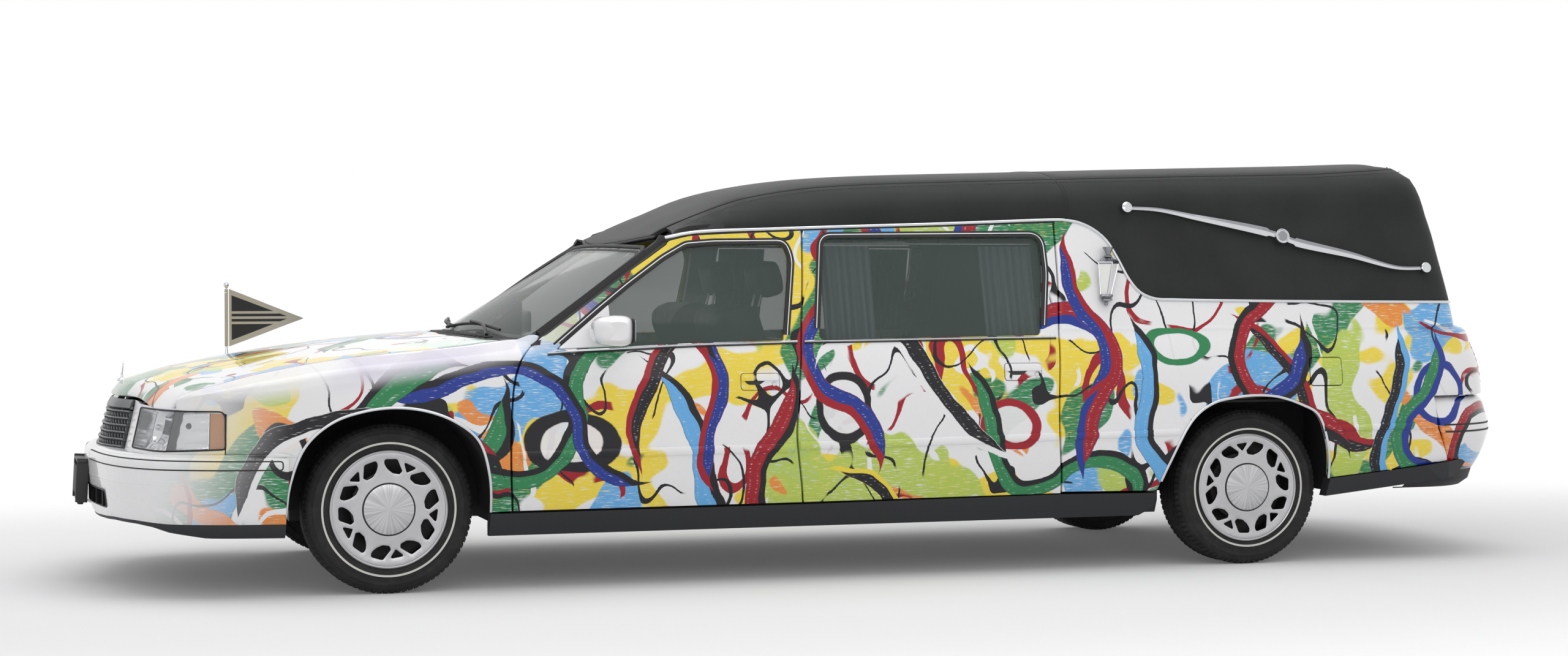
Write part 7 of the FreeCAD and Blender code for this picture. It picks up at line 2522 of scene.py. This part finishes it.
def gathered(name, x0, x1, z0, z1, pleats, depth, lift, side):
    """Pleated curtain hanging just inside the rear side glass."""
    n, m = pleats * 8, 14
    verts = []
    for layer in (0, 1):
        for i in range(n + 1):
            u = i / n
            for j in range(m + 1):
                w = j / m
                z = z0 + (z1 - z0) * w
                d = x0 + (x1 - x0) * u
                fold = depth * (0.55 + 0.45 * (1 - w)) * math.sin(u * pleats * 2 * math.pi
                                                                 + 0.5 * math.sin(5 * w + i))
                fold *= 1.0 - 0.5 * (w > 0.93)
                y = green_y(z) - lift + fold - layer * 0.0016
                verts.append((AXLE_F + d, side * y, z))
    c, k = m + 1, (n + 1) * (m + 1)
    faces = []
    for i in range(n):
        for j in range(m):
            q = (i * c + j, i * c + j + 1, (i + 1) * c + j + 1, (i + 1) * c + j)
            faces += [q, tuple(a + k for a in q[::-1])]
        for j in (0, m):
            faces.append((i * c + j, (i + 1) * c + j, (i + 1) * c + j + k, i * c + j + k))
    for i in (0, n):
        for j in range(m):
            faces.append((i * c + j, i * c + j + 1, i * c + j + 1 + k, i * c + j + k))
    return fix_normals(piece(name, verts, faces, "car", "curtain"))


def build_curtains():
    for tag, s in (("left", 1), ("right", -1)):
        for k, (x0, x1) in enumerate(((-1.775, -1.995), (-2.475, -2.705))):
            ob = gathered("curtain_%s_%d" % (tag, k), x0, x1, 0.972, 1.352, 9, 0.009, 0.052, s)
            if k == 0 and s > 0:
                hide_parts("side_curtains")
        tube("curtain_rail_" + tag, [(AXLE_F + d, s * (green_y(1.362) - 0.052), 1.362)
                                     for d in np.linspace(-1.770, -2.710, 12)], 0.006, "car",
             "chrome", 10)


def build_cabin():
    """Instrument panel, hand wheel and steering column."""
    rows = []
    for y in np.linspace(-0.76, 0.76, 41):
        bulge = 0.045 * math.exp(-((y - 0.37) / 0.20) ** 2)
        side = 0.04 * (abs(y) / 0.76) ** 4
        rows.append([(AXLE_F + d, y, z + bulge * k) for d, z, k in
                     ((-0.555 - side, 0.925, 0.0), (-0.640 - side, 0.948, 0.3),
                      (-0.760, 0.950, 0.9), (-0.815, 0.930, 1.0), (-0.832, 0.900, 0.7),
                      (-0.822, 0.820, 0.2), (-0.800, 0.700, 0.0), (-0.745, 0.600, 0.0))])
    shell("dash_top", rows, "car", "dark_trim", 0.010, replaces="dashboard", flip=True)
    for k, y in enumerate((-0.60, -0.30, 0.10, 0.62)):
        lump("dash_vent_%d" % k, (0.012, 0.110, 0.046), (AXLE_F - 0.832, y, 0.872), "car",
             "rubber", 0.004, 2, (0, 8, 0))
    lump("dash_wood", (0.010, 0.60, 0.050), (AXLE_F - 0.829, -0.38, 0.800), "car",
         "varnished_wood", 0.003, 2, (0, -8, 0))
    c, lean = np.array([AXLE_F - 0.930, 0.370, 0.858]), 24
    tilt = math.radians(lean)
    ax = np.array([-math.cos(tilt), 0, math.sin(tilt)])
    u, w = np.array([0, 1, 0]), np.cross([0, 1, 0], ax)
    a = np.linspace(0, 2 * math.pi, 73)[:-1]
    pts = [c + 0.186 * (math.cos(t) * u + math.sin(t) * w) for t in a]
    verts, faces = sweep(pts, np.tile(ax, (72, 1)), ring(0.0155, 12), True)
    fix_normals(piece("hand_wheel_rim", verts, faces, "hand_wheel", "leather",
                      replaces="steering_wheel"))
    lump("hand_wheel_pad", (0.150, 0.200, 0.050), c - ax * 0.030, "hand_wheel", "dark_trim",
         0.020, 4, (0, lean - 90, 0))
    for t in (0.15, math.pi - 0.15, -0.9, math.pi + 0.9):
        p, q = c + 0.07 * (math.cos(t) * u + math.sin(t) * w) - ax * 0.03, \
            c + 0.178 * (math.cos(t) * u + math.sin(t) * w)
        tube("hand_wheel_spoke_%d" % int((t + 2) * 10), [p, (p + q) / 2 - ax * 0.006, q], 0.013,
             "hand_wheel", "dark_trim", 12)
    tube("steering_column", [c - ax * 0.05, c - ax * 0.22], 0.032, "car", "dark_trim", 20)


# ---- settings, operators and panel --------------------------------------------------
class HearseSettings(bpy.types.PropertyGroup):
    """Colours and sizes of the car's own pieces"""

    vinyl: bpy.props.FloatVectorProperty(
        name="Roof covering", description="Colour of the grained roof covering",
        default=(0.027, 0.028, 0.028), subtype="COLOR", min=0, max=1)
    glass: bpy.props.FloatVectorProperty(
        name="Side glass", description="Tint of the side and tail glass",
        default=(0.085, 0.115, 0.105), subtype="COLOR", min=0, max=1)
    tread_blocks: bpy.props.IntProperty(
        name="Tread blocks", description="Shoulder blocks round each tyre", default=84, min=20,
        max=160)


class StageSettings(bpy.types.PropertyGroup):
    """Floor, light and lens"""

    floor: bpy.props.FloatVectorProperty(
        name="Floor", description="Colour of the plain floor", default=(0.80, 0.80, 0.81),
        subtype="COLOR", min=0, max=1)
    dome: bpy.props.FloatProperty(
        name="Dome level", description="Strength of the even light from all round",
        default=0.74, min=0, max=2)
    key: bpy.props.FloatProperty(
        name="Top light", description="Power of the soft light over the car", default=190.0,
        min=0, unit="POWER")
    lens: bpy.props.FloatProperty(
        name="Lens", description="Focal length", default=60.96, min=20, max=200,
        subtype="DISTANCE_CAMERA")


def build_stage(cfg):
    scene = bpy.context.scene
    m = Finish("stage_floor")
    x, y, _ = m.split()
    dist = ((x - 0.2) * (x - 0.2) * 0.30 + y * y).root()
    grain = m.noise(m.coords(), 3.0, 3.0)
    tone = tuple(cfg.floor)
    color = m.blend(grain, tuple(c * 0.99 for c in tone), tone)
    floor = m.node("ShaderNodeBsdfDiffuse", None, color)
    clear = m.node("ShaderNodeBsdfTransparent")
    # the floor lets 8 % of the white world through even under the car, a painted lift of its shadows,
    # and fades wholly into the world further out
    mix = m.node("ShaderNodeMixShader", None, dist.ramp(2.2, 4.2, 0.08, 1.0), floor, clear)
    m.feed(m.out.inputs[0], mix)
    me = bpy.data.meshes.new("floor")
    me.from_pydata([(-16, -16, 0), (16, -16, 0), (16, 16, 0), (-16, 16, 0)], [], [(0, 1, 2, 3)])
    ob = bpy.data.objects.new("floor", me)
    ob.data.materials.append(m.data)
    scene.collection.objects.link(ob)
    world = bpy.data.worlds.new("studio")
    scene.world = world
    world.use_nodes = True
    t = world.node_tree
    t.nodes.clear()
    path = add_node(t, "ShaderNodeLightPath").outputs
    glossy = add_node(t, "ShaderNodeMath", {"operation": "MAXIMUM"}, i0=path["Is Glossy Ray"],
                      i1=path["Is Transmission Ray"])
    seen = add_node(t, "ShaderNodeMath", {"operation": "ADD", "use_clamp": True},
                    i0=path["Is Camera Ray"], i1=glossy.outputs[0])
    level = add_node(t, "ShaderNodeMapRange", i0=seen.outputs[0], i3=cfg.dome, i4=1.0)
    back = add_node(t, "ShaderNodeBackground", i0=(1, 1, 1, 1), i1=level.outputs[0])
    add_node(t, "ShaderNodeOutputWorld", i0=back.outputs[0])
    for name, at, size, power in (("top_light", (0.5, 0.5, 6.0), (9.0, 5.0), cfg.key),
                                  ("side_light", (2.0, 9.0, 4.5), (8.0, 3.0), cfg.key * 0.35),
                                  ("far_light", (-3.0, -8.0, 4.5), (8.0, 3.0), cfg.key * 0.30)):
        lamp = bpy.data.lights.new(name, "AREA")
        lamp.shape = "RECTANGLE"
        lamp.size, lamp.size_y = size
        lamp.energy = power
        ob = bpy.data.objects.new(name, lamp)
        ob.location = at
        aim = Vector((0.2, 0.0, 0.6)) - Vector(at)
        ob.rotation_euler = aim.to_track_quat("-Z", "Y").to_euler()
        scene.collection.objects.link(ob)
    cam = bpy.data.cameras.new("camera")
    cam.sensor_width, cam.lens = 36.0, cfg.lens
    ob = bpy.data.objects.new("camera", cam)
    ob.location = (3.442, 11.116, 1.248)
    yaw, pitch = math.radians(16.9), math.radians(1.222)
    aim = Vector((-math.sin(yaw) * math.cos(pitch), -math.cos(yaw) * math.cos(pitch),
                  -math.sin(pitch)))
    ob.rotation_euler = aim.to_track_quat("-Z", "Y").to_euler()
    scene.collection.objects.link(ob)
    scene.camera = ob
    scene.view_settings.view_transform = "Standard"


class HEARSE_OT_finishes(bpy.types.Operator):
    """Make every material"""

    bl_idname = "hearse.finishes"
    bl_label = "Finishes"

    def execute(self, context):
        make_finishes(context.scene.hearse_parts)
        return {"FINISHED"}


class HEARSE_OT_inside(bpy.types.Operator):
    """Finish the frame's own structure parts"""

    bl_idname = "hearse.inside"
    bl_label = "Hidden structure"

    def execute(self, context):
        finish_nodes()
        return {"FINISHED"}


class HEARSE_OT_hood(bpy.types.Operator):
    """Hood panel, its liner and the ornament"""

    bl_idname = "hearse.hood"
    bl_label = "Hood"

    def execute(self, context):
        build_hood()
        return {"FINISHED"}


class HEARSE_OT_fenders(bpy.types.Operator):
    """Front fenders and the bright arch lips"""

    bl_idname = "hearse.fenders"
    bl_label = "Fenders"

    def execute(self, context):
        build_fenders()
        return {"FINISHED"}


class HEARSE_OT_nose(bpy.types.Operator):
    """Nose panel and headlamps"""

    bl_idname = "hearse.nose"
    bl_label = "Nose"

    def execute(self, context):
        build_nose()
        return {"FINISHED"}


class HEARSE_OT_grille(bpy.types.Operator):
    """Grille header, fins and uprights"""

    bl_idname = "hearse.grille"
    bl_label = "Grille"

    def execute(self, context):
        build_grille()
        return {"FINISHED"}


class HEARSE_OT_front_bumper(bpy.types.Operator):
    """Front bumper, intake, valance and plate bracket"""

    bl_idname = "hearse.front_bumper"
    bl_label = "Front bumper"

    def execute(self, context):
        build_front_bumper()
        return {"FINISHED"}


class HEARSE_OT_cowl(bpy.types.Operator):
    """Cowl slats and wipers"""

    bl_idname = "hearse.cowl"
    bl_label = "Cowl"

    def execute(self, context):
        build_cowl()
        return {"FINISHED"}


class HEARSE_OT_windshield(bpy.types.Operator):
    """Windshield, its seals and the front pillars"""

    bl_idname = "hearse.windshield"
    bl_label = "Windshield"

    def execute(self, context):
        build_screen()
        return {"FINISHED"}


class HEARSE_OT_doors(bpy.types.Operator):
    """Four side doors with glass, seals, handles and rub strips"""

    bl_idname = "hearse.doors"
    bl_label = "Side doors"

    def execute(self, context):
        build_doors()
        return {"FINISHED"}


class HEARSE_OT_jambs(bpy.types.Operator):
    """Pillars, jambs and sills behind the door seams"""

    bl_idname = "hearse.jambs"
    bl_label = "Jambs"

    def execute(self, context):
        build_jambs()
        return {"FINISHED"}


class HEARSE_OT_quarters(bpy.types.Operator):
    """Rear quarter panels, filler flap and tail lamps"""

    bl_idname = "hearse.quarters"
    bl_label = "Rear quarters"

    def execute(self, context):
        build_quarters()
        return {"FINISHED"}


class HEARSE_OT_roof(bpy.types.Operator):
    """Grained roof covering with welts, stitches and bright lines"""

    bl_idname = "hearse.roof"
    bl_label = "Roof covering"

    def execute(self, context):
        build_roof()
        return {"FINISHED"}


class HEARSE_OT_tail_door(bpy.types.Operator):
    """Tail door with its glass and plate"""

    bl_idname = "hearse.tail_door"
    bl_label = "Tail door"

    def execute(self, context):
        build_tail_door()
        return {"FINISHED"}


class HEARSE_OT_rear_bumper(bpy.types.Operator):
    """Rear bumper and its valance"""

    bl_idname = "hearse.rear_bumper"
    bl_label = "Rear bumper"

    def execute(self, context):
        build_rear_bumper()
        return {"FINISHED"}


class HEARSE_OT_wheels(bpy.types.Operator):
    """Tyres, wheel faces, brakes and tread"""

    bl_idname = "hearse.wheels"
    bl_label = "Wheels"

    def execute(self, context):
        build_wheels(context.scene.hearse_parts)
        return {"FINISHED"}


class HEARSE_OT_mirrors(bpy.types.Operator):
    """Door mirrors and their sail panels"""

    bl_idname = "hearse.mirrors"
    bl_label = "Mirrors"

    def execute(self, context):
        build_mirrors()
        return {"FINISHED"}


class HEARSE_OT_coach_lamps(bpy.types.Operator):
    """Lantern on each rear quarter"""

    bl_idname = "hearse.coach_lamps"
    bl_label = "Coach lamps"

    def execute(self, context):
        build_coach_lamps()
        return {"FINISHED"}


class HEARSE_OT_landau(bpy.types.Operator):
    """Bright bars on the roof covering"""

    bl_idname = "hearse.landau"
    bl_label = "Landau bars"

    def execute(self, context):
        build_landau()
        return {"FINISHED"}


class HEARSE_OT_flag(bpy.types.Operator):
    """Staff and cloth pennant on the hood"""

    bl_idname = "hearse.flag"
    bl_label = "Pennant"

    def execute(self, context):
        build_flag()
        return {"FINISHED"}


class HEARSE_OT_seats(bpy.types.Operator):
    """Front seats and what stands between them"""

    bl_idname = "hearse.seats"
    bl_label = "Seats"

    def execute(self, context):
        build_seats()
        return {"FINISHED"}


class HEARSE_OT_curtains(bpy.types.Operator):
    """Pleated curtains inside the rear side glass"""

    bl_idname = "hearse.curtains"
    bl_label = "Curtains"

    def execute(self, context):
        build_curtains()
        return {"FINISHED"}


class HEARSE_OT_cabin(bpy.types.Operator):
    """Instrument panel and hand wheel"""

    bl_idname = "hearse.cabin"
    bl_label = "Cabin"

    def execute(self, context):
        build_cabin()
        return {"FINISHED"}


class HEARSE_OT_stage(bpy.types.Operator):
    """Floor, soft lights and camera"""

    bl_idname = "hearse.stage"
    bl_label = "Stage"

    def execute(self, context):
        build_stage(context.scene.hearse_stage)
        return {"FINISHED"}


STEPS = [HEARSE_OT_finishes, HEARSE_OT_inside, HEARSE_OT_hood, HEARSE_OT_fenders, HEARSE_OT_nose,
         HEARSE_OT_grille, HEARSE_OT_front_bumper, HEARSE_OT_cowl, HEARSE_OT_windshield,
         HEARSE_OT_doors, HEARSE_OT_jambs, HEARSE_OT_quarters, HEARSE_OT_roof,
         HEARSE_OT_tail_door, HEARSE_OT_rear_bumper, HEARSE_OT_wheels, HEARSE_OT_mirrors,
         HEARSE_OT_coach_lamps, HEARSE_OT_landau, HEARSE_OT_flag, HEARSE_OT_seats,
         HEARSE_OT_curtains, HEARSE_OT_cabin, HEARSE_OT_stage]


class HEARSE_PT_steps(bpy.types.Panel):
    """Steps and settings of the hearse"""

    bl_label = "Hearse"
    bl_idname = "HEARSE_PT_steps"
    bl_space_type = "VIEW_3D"
    bl_region_type = "UI"
    bl_category = "Hearse"

    def draw(self, context):
        for group in (context.scene.hearse_parts, context.scene.hearse_stage):
            for name in group.__annotations__:
                self.layout.prop(group, name)
        for step in STEPS:
            self.layout.operator(step.bl_idname)


CLASSES = [HearseSettings, StageSettings] + STEPS + [HEARSE_PT_steps]


def register():
    for c in CLASSES:
        bpy.utils.register_class(c)
    bpy.types.Scene.hearse_parts = bpy.props.PointerProperty(type=HearseSettings)
    bpy.types.Scene.hearse_stage = bpy.props.PointerProperty(type=StageSettings)


def unregister():
    del bpy.types.Scene.hearse_parts
    del bpy.types.Scene.hearse_stage
    for c in CLASSES[::-1]:
        bpy.utils.unregister_class(c)


def main():
    register()
    for step in STEPS:
        getattr(bpy.ops.hearse, step.bl_idname.split(".")[1])()


if __name__ == "__main__":
    main()
